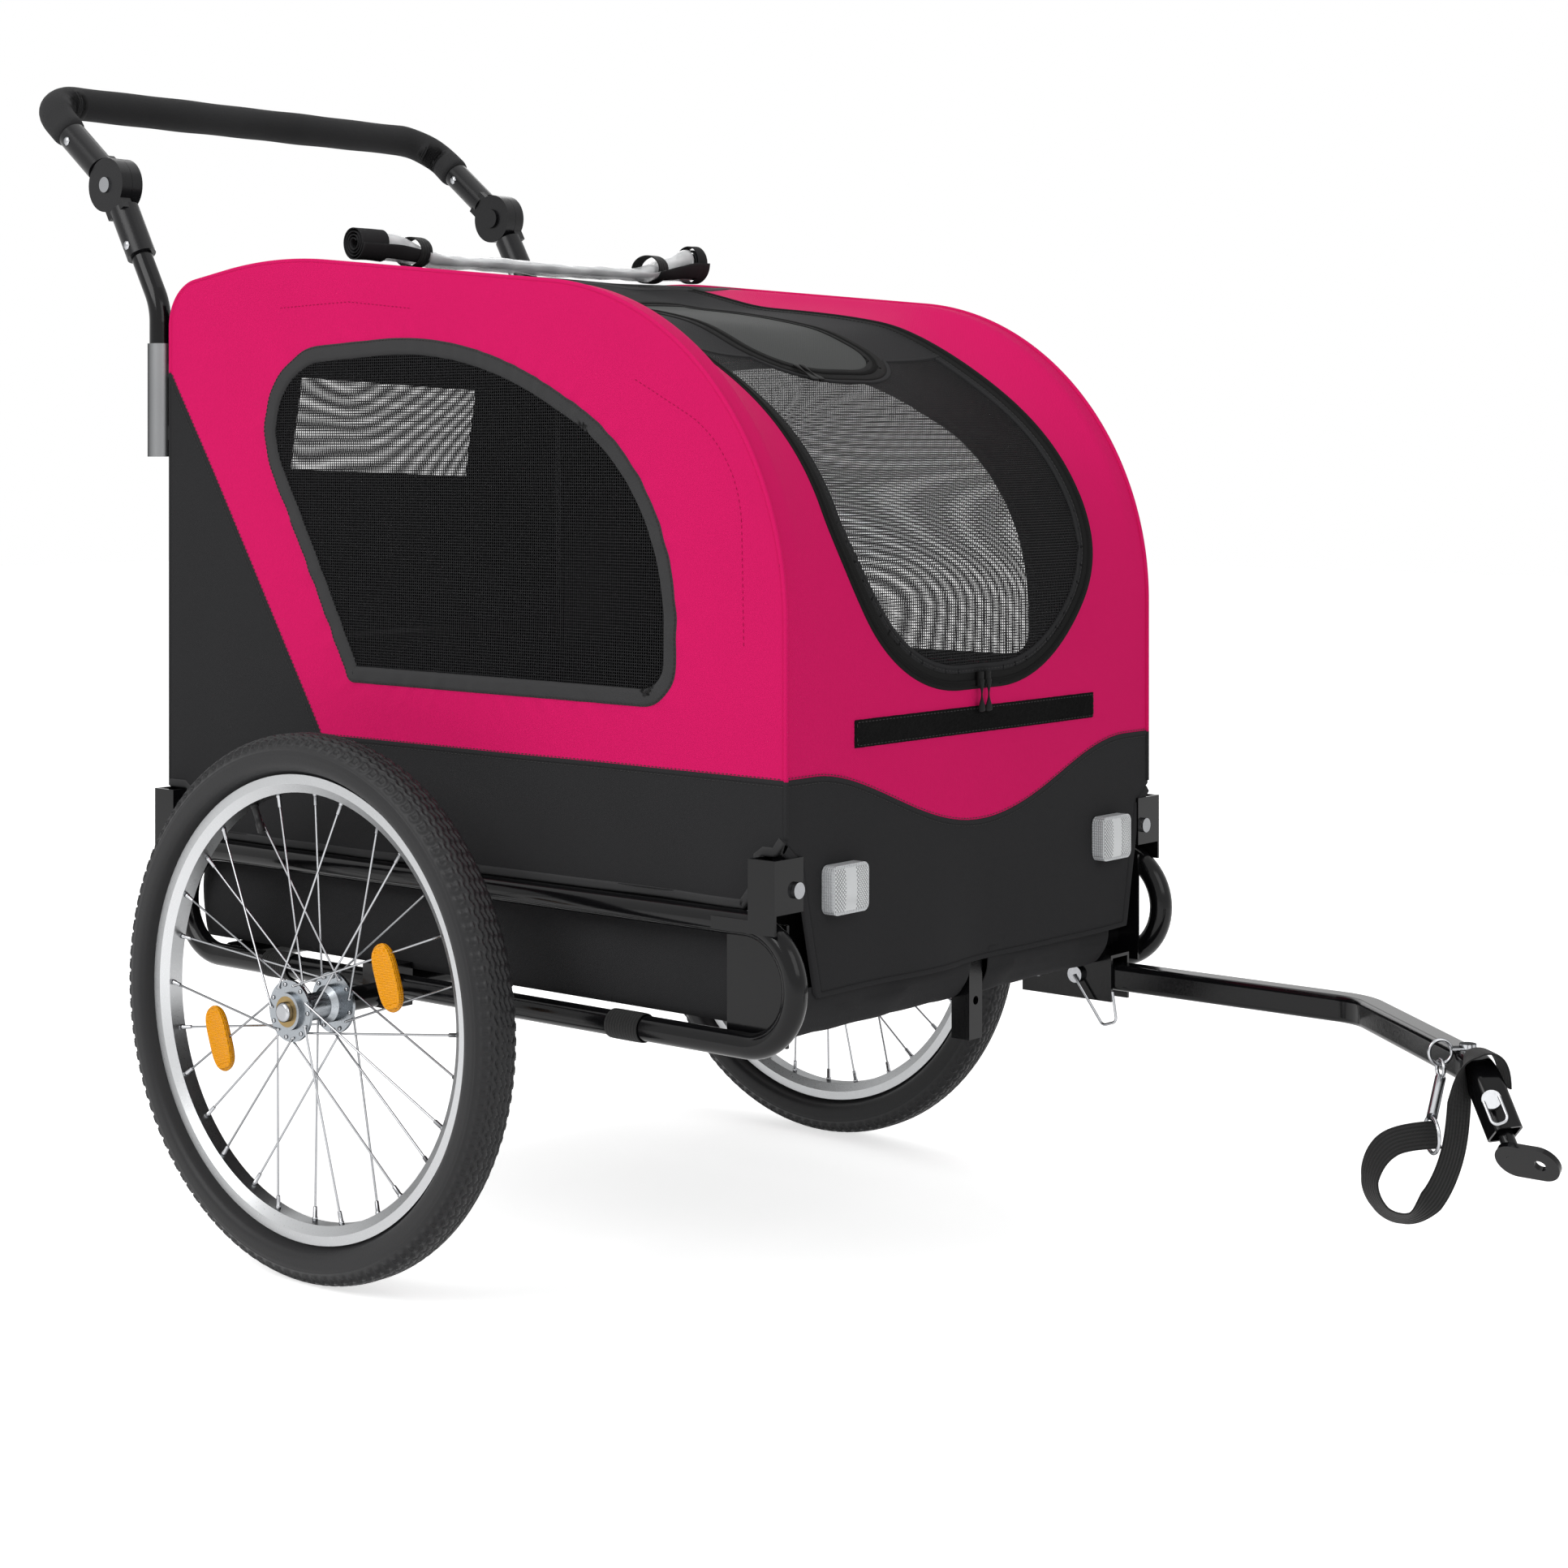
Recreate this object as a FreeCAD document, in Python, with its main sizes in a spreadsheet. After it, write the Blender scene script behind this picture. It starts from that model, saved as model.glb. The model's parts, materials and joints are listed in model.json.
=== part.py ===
import FreeCAD, Part
import math
import os
from types import SimpleNamespace

from FreeCAD import Placement, Rotation, Vector

# A two-wheeled dog trailer for a bicycle, with a push handle.
# Millimetres. +X points forward to the tow arm, +Y to the left, +Z up, and the ground is Z = 0.
# Each piece is drawn from the point on the ground below the wheels' common axis, and then moved along X
# so that the origin lies midway between the foam grip and the tip of the hitch plate.

SIZES = {
    # Wheels: 20 inch, 47-406
    "wheel_radius": 250,
    "tyre_width": 47,
    "tyre_wall": 4,
    "tyre_height": 37,
    "rim_width": 25,
    "rim_depth": 17,
    "rim_lip": 2,
    "rim_well_rise": 1.5,
    "rim_well_run": 2.5,
    "spoke_count": 28,
    "spoke_radius": 1,
    "spoke_lead": 51,
    "spoke_seat": 4,
    "hub_flange_radius": 28,
    "hub_flange_spread": 51,
    "hub_flange_thick": 3,
    "hub_barrel_radius": 12.5,
    "hub_end_radius": 17,
    "hub_length": 62,
    "hub_wall": 2,
    "hub_step": 4,
    "hub_taper": 5,
    "bearing_radius": 14,
    "bearing_width": 8,
    "axle_radius": 6,
    "axle_cap_radius": 9,
    "axle_cap_length": 6,
    "socket_radius": 11,
    "socket_length": 37,
    "axle_collar": 9.5,
    "lamp_length": 62,
    "lamp_width": 27,
    "lamp_thick": 9,
    "lamp_ring_radius": 122,
    "lamp_angle": 200,
    # Base frame
    "rail_diameter": 22,
    "rail_wall": 1.5,
    "rail_outset": 3,
    "rail_upper_z": 361,
    "rail_lower_z": 258,
    "loop_front_x": 505,
    "loop_rear_x": -305,
    "loop_seam": 0.4,
    "cross_front_x": 443,
    "cross_rear_x": -240,
    "gusset_thick": 3,
    "gusset_width": 66,
    "axle_block_length": 36,
    "axle_block_width": 30,
    "axle_block_height": 40,
    "bracket_width": 29,
    "bracket_sheet": 2.5,
    "bracket_top_z": 418,
    "bracket_bolt_z": 391,
    "bracket_foot": 70,
    "bolt_radius": 4,
    "bolt_head_radius": 7,
    "bolt_head_height": 3.5,
    # Cabin
    "cabin_half_width": 281,
    "cabin_front_x": 480.5,
    "cabin_rear_x": -326,
    "roof_front_z": 883,
    "roof_peak_x": -165,
    "roof_peak_z": 947,
    "roof_rear_z": 922,
    "front_curve_radius": 300,
    "peak_curve_radius": 600,
    "rear_curve_radius": 45,
    "roof_slack": 24,
    "curve_slack": 60,
    "cloth": 2,
    "mesh_cloth": 1,
    "hoop_diameter": 19,
    "hoop_wall": 1.5,
    "crossbar_diameter": 16,
    "crossbar_front_z": 440,
    "crossbar_rear_z": 560,
    "crossbar_roof_x": -85,
    "seam_z": 481,
    "seam_corner_x": -98,
    "seam_rear_z": 836,
    "window_bottom_z": 542,
    "window_rear_x": -57,
    "window_rear_radius": 6,
    "window_front_x": 351.5,
    "window_front_radius": 34,
    "window_front_z": 734.5,
    "window_curve_radius": 219,
    "window_peak_x": 99,
    "window_peak_z": 863.5,
    "window_top_radius": 440,
    "window_back_x": -229,
    "window_back_z": 847,
    "window_back_radius": 78,
    "wave_depth": 76,
    "wave_half_width": 185,
    "wave_radius": 150,
    "slit_top_z": 431,
    "slit_width": 46,
    "front_hem_z": 300,
    "door_bottom_z": 548,
    "door_half_width": 196,
    "door_corner_radius": 167,
    "door_shoulder_z": 730,
    "door_hinge_x": -40,
    "door_border": 22,
    "door_mesh_top_z": 876,
    "zip_gap": 1.5,
    "hatch_rear_x": 40,
    "hatch_front_x": 342,
    "hatch_half_width": 92,
    "hatch_corner_radius": 74,
    "hatch_border": 16,
    "puller_length": 34,
    "puller_width": 9,
    "puller_thick": 3,
    "puller_overlap": 6,
    "rear_window_half_width": 136,
    "rear_window_bottom_z": 726,
    "rear_window_top_z": 838,
    "rear_window_corner": 12,
    "strip_length": 372,
    "strip_height": 25,
    "strip_thick": 2,
    "strip_bottom_z": 502,
    "front_lamp_width": 50,
    "front_lamp_height": 42,
    "front_lamp_depth": 12,
    "front_lamp_inset": 74,
    "front_lamp_z": 386,
    "front_lamp_corner": 7,
    "tub_front_x": 425,
    "tub_rear_x": -298,
    "tub_clearance": 1,
    "board_thick": 5,
    "board_margin": 12,
    "roll_radius": 18,
    "roll_length": 468,
    "roll_x": -84,
    "roll_skew": 39,
    "tie_width": 22,
    "tie_thick": 1.4,
    "tie_y": 160,
    # Push handle
    "handle_inset": 3,
    "handle_tube_diameter": 22,
    "handle_tube_wall": 1.5,
    "sleeve_diameter": 25.6,
    "sleeve_bore": 22.6,
    "sleeve_setback": 19,
    "sleeve_bottom_z": 752,
    "sleeve_length": 115,
    "sleeve_boss": 14,
    "leg_insert": 107,
    "leg_bend_z": 905,
    "leg_bend_radius": 60,
    "leg_tilt": 30,
    "hinge_z": 1032,
    "hinge_disc_radius": 28,
    "hinge_disc_thick": 12.7,
    "hinge_neck": 28,
    "hinge_socket_radius": 15,
    "hinge_socket_start": 29.5,
    "lower_socket_end": 86,
    "upper_socket_end": 92,
    "hinge_screw_radius": 4,
    "button_radius": 11,
    "button_proud": 3.2,
    "button_travel": 3,
    "button_recess": 9,
    "bar_tilt": 52,
    "bar_reach": 160,
    "bar_bend_radius": 45,
    "grip_diameter": 36,
    "grip_start": 94,
    # Tow side
    "tow_inset": 49,
    "tow_z": 247,
    "arm_side": 25,
    "arm_corner": 5,
    "arm_wall": 2,
    "arm_pivot_x": 394,
    "arm_tail": 13,
    "arm_bend_x": 741,
    "arm_bend_radius": 60,
    "arm_turn": 40.6,
    "arm_second_run": 257,
    "arm_drop": 50,
    "arm_drop_heading": 31.7,
    "arm_drop_run": 58,
    "arm_drop_radius": 45,
    "channel_length": 104,
    "channel_sheet": 3,
    "channel_gap": 0.5,
    "channel_depth": 45,
    "pin_radius": 4,
    "pin_head_radius": 8,
    "pin_head_length": 5,
    "lock_pin_offset": 45,
    "hitch_pin_back": 22,
    "bail_radius": 1.3,
    "coupler_radius": 6.5,
    "coupler_tail": 12,
    "coupler_reach": 20,
    "plate_length": 55,
    "plate_width": 33,
    "plate_thick": 5,
    "plate_roll": 57,
    "eye_radius": 5.25,
    "receiver_side": 20,
    "receiver_wall": 2,
    "receiver_bottom_z": 223,
    "receiver_top_z": 297,
    "receiver_hole_radius": 4,
    "receiver_hole_z": 258,
    "strap_width": 25,
    "strap_thick": 1.8,
    "strap_ease": 6.5,
    "strap_drop": 120,
    "strap_loop": 82,
    "anchor_back": 24,
    "ring_radius": 10,
    "ring_wire": 1.6,
    "hook_radius": 4.5,
    # Clearances
    "seat_gap": 0.3,
    "fit_gap": 0.05,
    "touch_gap": 0.15,
}

doc = FreeCAD.newDocument("DogTrailer")
sheet = doc.addObject("Spreadsheet::Sheet", "Sizes")
for row, (alias, value) in enumerate(SIZES.items(), start=1):
    sheet.set(f"A{row}", alias)
    sheet.set(f"B{row}", str(value))
    sheet.setAlias(f"B{row}", alias)
doc.recompute()
S = SimpleNamespace(**{alias: float(sheet.get(alias)) for alias in SIZES})

X = Vector(1, 0, 0)
Y = Vector(0, 1, 0)
Z = Vector(0, 0, 1)
SIDES = {"right": -1, "left": 1}
nodes = {}


def unit(vector):
    """The vector of length one that points the same way."""
    return Vector(vector) / vector.Length


def bent_edges(points, radii, closed=False):
    """Straight runs through the points, joined by tangent arcs of the given radii at the inner points."""
    points = [Vector(*p) for p in points]
    count = len(points)
    corners = range(count) if closed else range(1, count - 1)
    arcs = {}
    for i, radius in zip(corners, radii):
        here = points[i]
        back = unit(points[i - 1] - here)
        ahead = unit(points[(i + 1) % count] - here)
        half = back.getAngle(ahead) / 2
        reach = radius / math.tan(half)
        middle = here + unit(back + ahead) * (radius / math.sin(half) - radius)
        arcs[i] = (here + back * reach, middle, here + ahead * reach)
    edges = []
    for i in range(count if closed else count - 1):
        j = (i + 1) % count
        start = arcs[i][2] if i in arcs else points[i]
        end = arcs[j][0] if j in arcs else points[j]
        if (end - start).Length > 1e-6:
            edges.append(Part.LineSegment(start, end).toShape())
        if j in arcs:
            edges.append(Part.Arc(*arcs[j]).toShape())
    return edges


def wire_feature(name, edges):
    """An object that holds a wire drawn through the edges."""
    feature = doc.addObject("Part::Feature", name)
    feature.Shape = Part.Wire(Part.__sortEdges__(edges))
    return feature


def face_feature(name, edges):
    """An object that holds the flat face inside the edges."""
    feature = doc.addObject("Part::Feature", name)
    feature.Shape = Part.Face(Part.Wire(Part.__sortEdges__(edges)))
    return feature


def extrude(name, edges, direction, length):
    """The face inside the edges, pulled along a direction by a length from the sheet."""
    feature = doc.addObject("Part::Extrusion", name)
    feature.Base = face_feature(name + "_outline", edges)
    feature.DirMode = "Custom"
    feature.Dir = direction
    feature.setExpression("LengthFwd", length)
    feature.Solid = False
    return feature


def cylinder(name, radius, height, start, axis):
    """A cylinder from a start point along an axis."""
    feature = doc.addObject("Part::Cylinder", name)
    feature.setExpression("Radius", radius)
    feature.setExpression("Height", height)
    feature.Placement = Placement(Vector(*start), Rotation(Z, Vector(*axis)))
    return feature


def box(name, length, width, height, corner, rotation=None):
    """A box from its lowest corner."""
    feature = doc.addObject("Part::Box", name)
    feature.setExpression("Length", length)
    feature.setExpression("Width", width)
    feature.setExpression("Height", height)
    feature.Placement = Placement(Vector(*corner), rotation or Rotation())
    return feature


def fuse(name, *shapes):
    """The pieces joined to one."""
    feature = doc.addObject("Part::MultiFuse", name)
    feature.Shapes = list(shapes)
    feature.Refine = True
    return feature


def cut(name, base, *tools):
    """The base less the tools."""
    feature = doc.addObject("Part::Cut", name)
    feature.Base = base
    feature.Tool = tools[0] if len(tools) == 1 else fuse(name + "_tools", *tools)
    return feature


def common(name, first, second):
    """What two shapes share."""
    feature = doc.addObject("Part::MultiCommon", name)
    feature.Shapes = [first, second]
    return feature


def group(name, *shapes):
    """Separate solids kept under one name."""
    feature = doc.addObject("Part::Compound", name)
    feature.Links = list(shapes)
    return feature


def sweep(name, spine, section):
    """A closed section carried along a spine."""
    feature = doc.addObject("Part::Sweep", name)
    feature.Sections = [section]
    feature.Spine = (spine, [f"Edge{i + 1}" for i in range(len(spine.Shape.Edges))])
    feature.Solid = True
    feature.Frenet = False
    return feature


def circle(name, radius, start, axis):
    """A circle about an axis."""
    feature = doc.addObject("Part::Circle", name)
    feature.setExpression("Radius", radius)
    feature.Placement = Placement(Vector(*start), Rotation(Z, Vector(*axis)))
    return feature


def rod(name, points, radii, radius):
    """A round bar bent through the points."""
    spine = wire_feature(name + "_path", bent_edges(points, radii))
    start = Vector(*points[0])
    along = Vector(*points[1]) - start
    return sweep(name, spine, circle(name + "_section", radius, start, along))


def tube(name, points, radii, diameter, wall):
    """A round tube bent through the points, open at both ends."""
    outer = rod(name + "_outer", points, radii, f"Sizes.{diameter} / 2")
    inner = rod(name + "_bore", points, radii, f"Sizes.{diameter} / 2 - Sizes.{wall}")
    return cut(name, outer, inner)


def node(label, feature):
    """Keep a finished piece under the name of its file."""
    feature.Label = label
    nodes[label] = feature
    return feature


def body(name):
    """A new body for sketched features."""
    return doc.addObject("PartDesign::Body", name)


def sketch(owner, name, role, geometry):
    """A sketch on one of the body's own origin planes."""
    drawn = owner.newObject("Sketcher::SketchObject", name)
    plane = next(f for f in owner.Origin.OriginFeatures if f.Role == role)
    drawn.AttachmentSupport = [(plane, "")]
    drawn.MapMode = "FlatFace"
    drawn.addGeometry(geometry, False)
    return drawn


def revolve(name, points, radii=None):
    """A body turned about Y: each point is (radius, distance along Y)."""
    flat = [(radius, along, 0) for radius, along in points]
    edges = bent_edges(flat, radii or [], closed=True) if radii else None
    owner = body(name)
    if edges is None:
        ends = flat[1:] + flat[:1]
        geometry = [Part.LineSegment(Vector(*a), Vector(*b)) for a, b in zip(flat, ends)]
    else:
        geometry = [sketch_curve(edge) for edge in edges]
    profile = sketch(owner, name + "_profile", "XY_Plane", geometry)
    turned = owner.newObject("PartDesign::Revolution", name + "_turn")
    turned.Profile = profile
    turned.ReferenceAxis = (profile, ["V_Axis"])
    turned.Angle = 360
    return owner


def sketch_curve(edge):
    """The sketch curve for a straight or round edge."""
    start = edge.Vertexes[0].Point
    end = edge.Vertexes[-1].Point
    if isinstance(edge.Curve, Part.Line):
        return Part.LineSegment(start, end)
    middle = edge.valueAt((edge.FirstParameter + edge.LastParameter) / 2)
    return Part.Arc(start, middle, end)


def pad(name, role, geometry, length, reverse=False):
    """A body padded from one sketch."""
    owner = body(name)
    drawn = sketch(owner, name + "_profile", role, geometry)
    padded = owner.newObject("PartDesign::Pad", name + "_pad")
    padded.Profile = drawn
    padded.setExpression("Length", length)
    padded.Reversed = reverse
    return owner


# Places worked out from the sizes
rail_radius = S.rail_diameter / 2
cross_front_z = S.rail_lower_z + S.rail_diameter
loop_radius = (S.rail_upper_z - S.rail_lower_z) / 2
loop_middle_z = (S.rail_upper_z + S.rail_lower_z) / 2
bend_front_x = S.loop_front_x - rail_radius - loop_radius
bend_rear_x = S.loop_rear_x + rail_radius + loop_radius
hoop_radius = S.hoop_diameter / 2
hoop_inset = S.cloth + S.seat_gap + hoop_radius
hoop_y = S.cabin_half_width - hoop_inset
hoop_front_x = S.cabin_front_x - hoop_inset
hoop_rear_x = S.cabin_rear_x + hoop_inset
skirt_z = S.rail_upper_z + rail_radius + S.seat_gap
skin_half_width = S.cabin_half_width - S.cloth
rail_y = S.cabin_half_width + S.rail_outset
axle_end_y = rail_y + S.axle_block_width / 2
wheel_y = axle_end_y + S.socket_length + S.axle_collar + S.hub_length / 2
rim_radius = S.wheel_radius - S.tyre_height
handle_half_width = S.cabin_half_width - S.handle_inset
tow_y = rail_y - S.tow_inset
front_lamp_y = S.cabin_half_width - S.front_lamp_inset
tub_half_width = rail_y - S.axle_block_width / 2 - S.tub_clearance
slack_half_width = hoop_y - hoop_radius - S.cloth
sleeve_x = S.cabin_rear_x - S.sleeve_setback
hinge_x = sleeve_x - (S.hinge_z - S.leg_bend_z) * math.tan(math.radians(S.leg_tilt))
leg_way = Vector(math.sin(math.radians(S.leg_tilt)), 0, -math.cos(math.radians(S.leg_tilt)))
bar_way = Vector(-math.sin(math.radians(S.bar_tilt)), 0, math.cos(math.radians(S.bar_tilt)))
lock_pin_x = S.arm_pivot_x + S.lock_pin_offset
turn = math.radians(S.arm_turn)
drop = math.radians(S.arm_drop)
heading = math.radians(S.arm_drop_heading)
arm_first = Vector(S.arm_bend_x, tow_y, S.tow_z)
arm_second = arm_first + Vector(math.cos(turn), -math.sin(turn), 0) * S.arm_second_run
hitch_way = Vector(math.cos(heading) * math.cos(drop), -math.sin(heading) * math.cos(drop), -math.sin(drop))
arm_mouth = arm_second + hitch_way * S.arm_drop_run
hitch_pin = arm_mouth - hitch_way * S.hitch_pin_back
pin_way = unit(Vector(0.238, -0.811, 0.534) - hitch_way * hitch_way.dot(Vector(0.238, -0.811, 0.534)))
plate_roll = math.radians(S.plate_roll)
plate_across = Vector(0, math.cos(plate_roll), -math.sin(plate_roll))
plate_centre = arm_mouth + hitch_way * (S.coupler_reach + S.plate_thick / 2)
plate_tip_x = plate_centre.x - S.plate_width / 2 + S.plate_length
grip_rear_x = hinge_x + bar_way.x * S.bar_reach - S.grip_diameter / 2
axle_x = -(plate_tip_x + grip_rear_x) / 2


def profile(inset, front_z, rear_z):
    """Corners and radii of the cabin's outline seen from the side, drawn in by an inset."""
    front = Vector(S.cabin_front_x, 0, S.roof_front_z)
    peak = Vector(S.roof_peak_x, 0, S.roof_peak_z)
    rear = Vector(S.cabin_rear_x, 0, S.roof_rear_z)
    rise = (peak.z - front.z) / (peak.x - front.x)
    fall = (rear.z - peak.z) / (rear.x - peak.x)
    front_drop = inset * math.hypot(1, rise)
    rear_drop = inset * math.hypot(1, fall)
    front_x = front.x - inset
    rear_x = rear.x + inset
    front_z_top = front.z + rise * (front_x - front.x) - front_drop
    rear_z_top = rear.z + fall * (rear_x - rear.x) - rear_drop
    peak_x = (front.z - rise * front.x - front_drop - rear.z + fall * rear.x + rear_drop) / (fall - rise)
    peak_z = front.z + rise * (peak_x - front.x) - front_drop
    corners = [(front_x, 0, front_z), (front_x, 0, front_z_top), (peak_x, 0, peak_z),
               (rear_x, 0, rear_z_top), (rear_x, 0, rear_z)]
    radii = [S.front_curve_radius - inset, S.peak_curve_radius - inset, S.rear_curve_radius - inset]
    return corners, radii


def roof_height(x, inset):
    """Height of the straight front stretch of the roof at a place along the cabin."""
    corners, _ = profile(inset, S.front_hem_z, skirt_z)
    front, peak = corners[1], corners[2]
    return front[2] + (peak[2] - front[2]) * (x - front[0]) / (peak[0] - front[0])


def shifted(points, y):
    """The same points in another plane along Y."""
    return [(p[0], y, p[2]) for p in points]


def skin_edges(outer, inner, y):
    """The outline of the cloth round front, roof and rear, between two insets, in a plane across Y."""
    edges = []
    ends = []
    for inset in (outer, inner):
        corners, radii = profile(inset, S.front_hem_z, skirt_z)
        corners = shifted(corners, y)
        edges += bent_edges(corners, radii)
        ends.append((Vector(*corners[0]), Vector(*corners[-1])))
    edges.append(Part.LineSegment(ends[0][0], ends[1][0]).toShape())
    edges.append(Part.LineSegment(ends[0][1], ends[1][1]).toShape())
    return edges


def skin(name, outer, inner):
    """The cloth round front, roof and rear, between two insets, across the cabin."""
    return extrude(name, skin_edges(outer, inner, -skin_half_width), Y,
                   "2 * (Sizes.cabin_half_width - Sizes.cloth)")


def slack_edges(outer, inner, y, slack):
    """The outline of the cloth over front and roof as far as the roof bar. With slack it hangs lower
    on the roof and takes a wider curve in front."""
    edges = []
    ends = []
    for inset in (outer, inner):
        corners, radii = profile(inset, S.front_hem_z, skirt_z)
        front = (corners[1][0], y, corners[1][2] - slack * S.roof_slack)
        bar = (S.crossbar_roof_x, y, roof_height(S.crossbar_roof_x, inset))
        low = (corners[0][0], y, S.seam_z - S.wave_depth)
        edges += bent_edges([low, front, bar], [radii[0] + slack * S.curve_slack])
        ends.append((Vector(*low), Vector(*bar)))
    edges.append(Part.LineSegment(ends[0][0], ends[1][0]).toShape())
    edges.append(Part.LineSegment(ends[0][1], ends[1][1]).toShape())
    return edges


def slack_skin(name, outer, inner):
    """The cloth between the hoops, which sags from both of them to the middle."""
    feature = doc.addObject("Part::Loft", name)
    feature.Sections = [
        wire_feature(f"{name}_right", slack_edges(outer, inner, -slack_half_width, 0)),
        wire_feature(f"{name}_middle", slack_edges(outer, inner, 0, 1)),
        wire_feature(f"{name}_left", slack_edges(outer, inner, slack_half_width, 0))]
    feature.Solid = True
    feature.Ruled = False
    return feature


def hoop_strips(name):
    """The cloth that lies on both hoops, from the hoop's inner side to the edge."""
    strips = []
    for side, start_y in (("right", -skin_half_width), ("left", slack_half_width)):
        strips.append(extrude(f"{name}_{side}", slack_edges(0, S.cloth, start_y, 0), Y,
                              f"{skin_half_width - slack_half_width}"))
    return strips


def base_loops():
    """One bent tube on each side, whose ends meet inside the axle bracket."""
    for side, sign in SIDES.items():
        y = sign * rail_y
        corners = [(S.loop_seam / 2, y, S.rail_lower_z), (bend_front_x + loop_radius, y, S.rail_lower_z),
                   (bend_front_x + loop_radius, y, S.rail_upper_z),
                   (bend_rear_x - loop_radius, y, S.rail_upper_z),
                   (bend_rear_x - loop_radius, y, S.rail_lower_z), (-S.loop_seam / 2, y, S.rail_lower_z)]
        slim = loop_radius - S.loop_seam / 100
        node(f"{side}_base_loop", tube(f"{side}_base_loop", corners, [slim] * 4, "rail_diameter",
                                       "rail_wall"))


def straight_tube(name, x, z, half_length, diameter, wall):
    """A straight tube along Y, centred on the cabin."""
    length = f"2 * {half_length}"
    outer = cylinder(name + "_outer", f"Sizes.{diameter} / 2", length, (x, -half_length, z), Y)
    inner = cylinder(name + "_bore", f"Sizes.{diameter} / 2 - Sizes.{wall}", length, (x, -half_length, z), Y)
    return cut(name, outer, inner)


def cross_tubes():
    """Tubes between the loops. The front one carries end plates that lie against the loops' bends."""
    inner_face = rail_y - rail_radius - S.touch_gap
    plate_face = inner_face - S.gusset_thick
    front = straight_tube("front_cross", S.cross_front_x, cross_front_z, plate_face, "rail_diameter",
                          "rail_wall")
    plates = []
    for side, sign in SIDES.items():
        corner_y = plate_face if sign > 0 else -inner_face
        plates.append(box(f"{side}_gusset", "Sizes.gusset_width", "Sizes.gusset_thick",
                          "Sizes.rail_upper_z - Sizes.rail_lower_z",
                          (S.cross_front_x - S.gusset_width / 2, corner_y, S.rail_lower_z)))
    front = fuse("front_cross_weldment", front, *plates)
    block_face = rail_y - S.axle_block_width / 2
    middle = straight_tube("middle_cross", 0, S.rail_lower_z, block_face, "rail_diameter", "rail_wall")
    rear = straight_tube("rear_cross", S.cross_rear_x, S.rail_lower_z, inner_face, "rail_diameter",
                         "rail_wall")
    node("cross_tubes", group("cross_tubes", front, middle, rear))


def axle_brackets():
    """A block round each lower rail, with the socket that takes the wheel's push-in axle."""
    blocks = []
    for side, sign in SIDES.items():
        block = box(f"{side}_axle_block", "Sizes.axle_block_length", "Sizes.axle_block_width",
                    "Sizes.axle_block_height",
                    (-S.axle_block_length / 2, sign * rail_y - S.axle_block_width / 2,
                     S.rail_lower_z - S.axle_block_height / 2))
        root_y = sign * (axle_end_y - S.cloth)
        socket = cylinder(f"{side}_socket", "Sizes.socket_radius", "Sizes.socket_length + Sizes.cloth",
                          (0, root_y, S.wheel_radius), (0, sign, 0))
        bore = cylinder(f"{side}_socket_bore", "Sizes.axle_radius + Sizes.fit_gap", "Sizes.socket_length",
                        (0, sign * axle_end_y, S.wheel_radius), (0, sign, 0))
        rail_hole = cylinder(f"{side}_rail_hole", "Sizes.rail_diameter / 2 + Sizes.touch_gap",
                             "Sizes.axle_block_length",
                             (-S.axle_block_length / 2, sign * rail_y, S.rail_lower_z), X)
        whole = fuse(f"{side}_axle_bracket_whole", block, socket)
        blocks.append(cut(f"{side}_axle_bracket", whole, bore, rail_hole))
    node("axle_brackets", group("axle_brackets", *blocks))


def axle_pins():
    """The push-in axle of each wheel: shaft, collar against the socket, and the release cap outside."""
    pins = []
    socket_end = axle_end_y + S.socket_length
    hub_inner = wheel_y - S.hub_length / 2
    hub_outer = wheel_y + S.hub_length / 2
    for side, sign in SIDES.items():
        start = sign * (axle_end_y + S.touch_gap)
        way = (0, sign, 0)
        shaft_length = hub_outer + S.seat_gap - axle_end_y
        shaft = cylinder(f"{side}_shaft", "Sizes.axle_radius", f"{shaft_length}",
                         (0, start, S.wheel_radius), way)
        collar_length = hub_inner - S.seat_gap - socket_end - S.touch_gap
        collar = cylinder(f"{side}_collar", "Sizes.axle_cap_radius", f"{collar_length}",
                          (0, sign * (socket_end + S.touch_gap), S.wheel_radius), way)
        cap = cylinder(f"{side}_cap", "Sizes.axle_cap_radius", "Sizes.axle_cap_length",
                       (0, sign * (hub_outer + S.seat_gap), S.wheel_radius), way)
        domed = doc.addObject("Part::Fillet", f"{side}_cap_domed")
        domed.Base = cap
        outer_edge = max(range(len(cap_edges(cap))), key=lambda i: sign * cap_edges(cap)[i].CenterOfMass.y)
        domed.Edges = [(outer_edge + 1, S.axle_cap_length / 2, S.axle_cap_length / 2)]
        pins.append(fuse(f"{side}_axle_pin", shaft, collar, domed))
    node("axle_pins", group("axle_pins", *pins))


def cap_edges(feature):
    """The edges of a feature once it is worked out, with its seams."""
    doc.recompute()
    return feature.Shape.Edges


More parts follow.
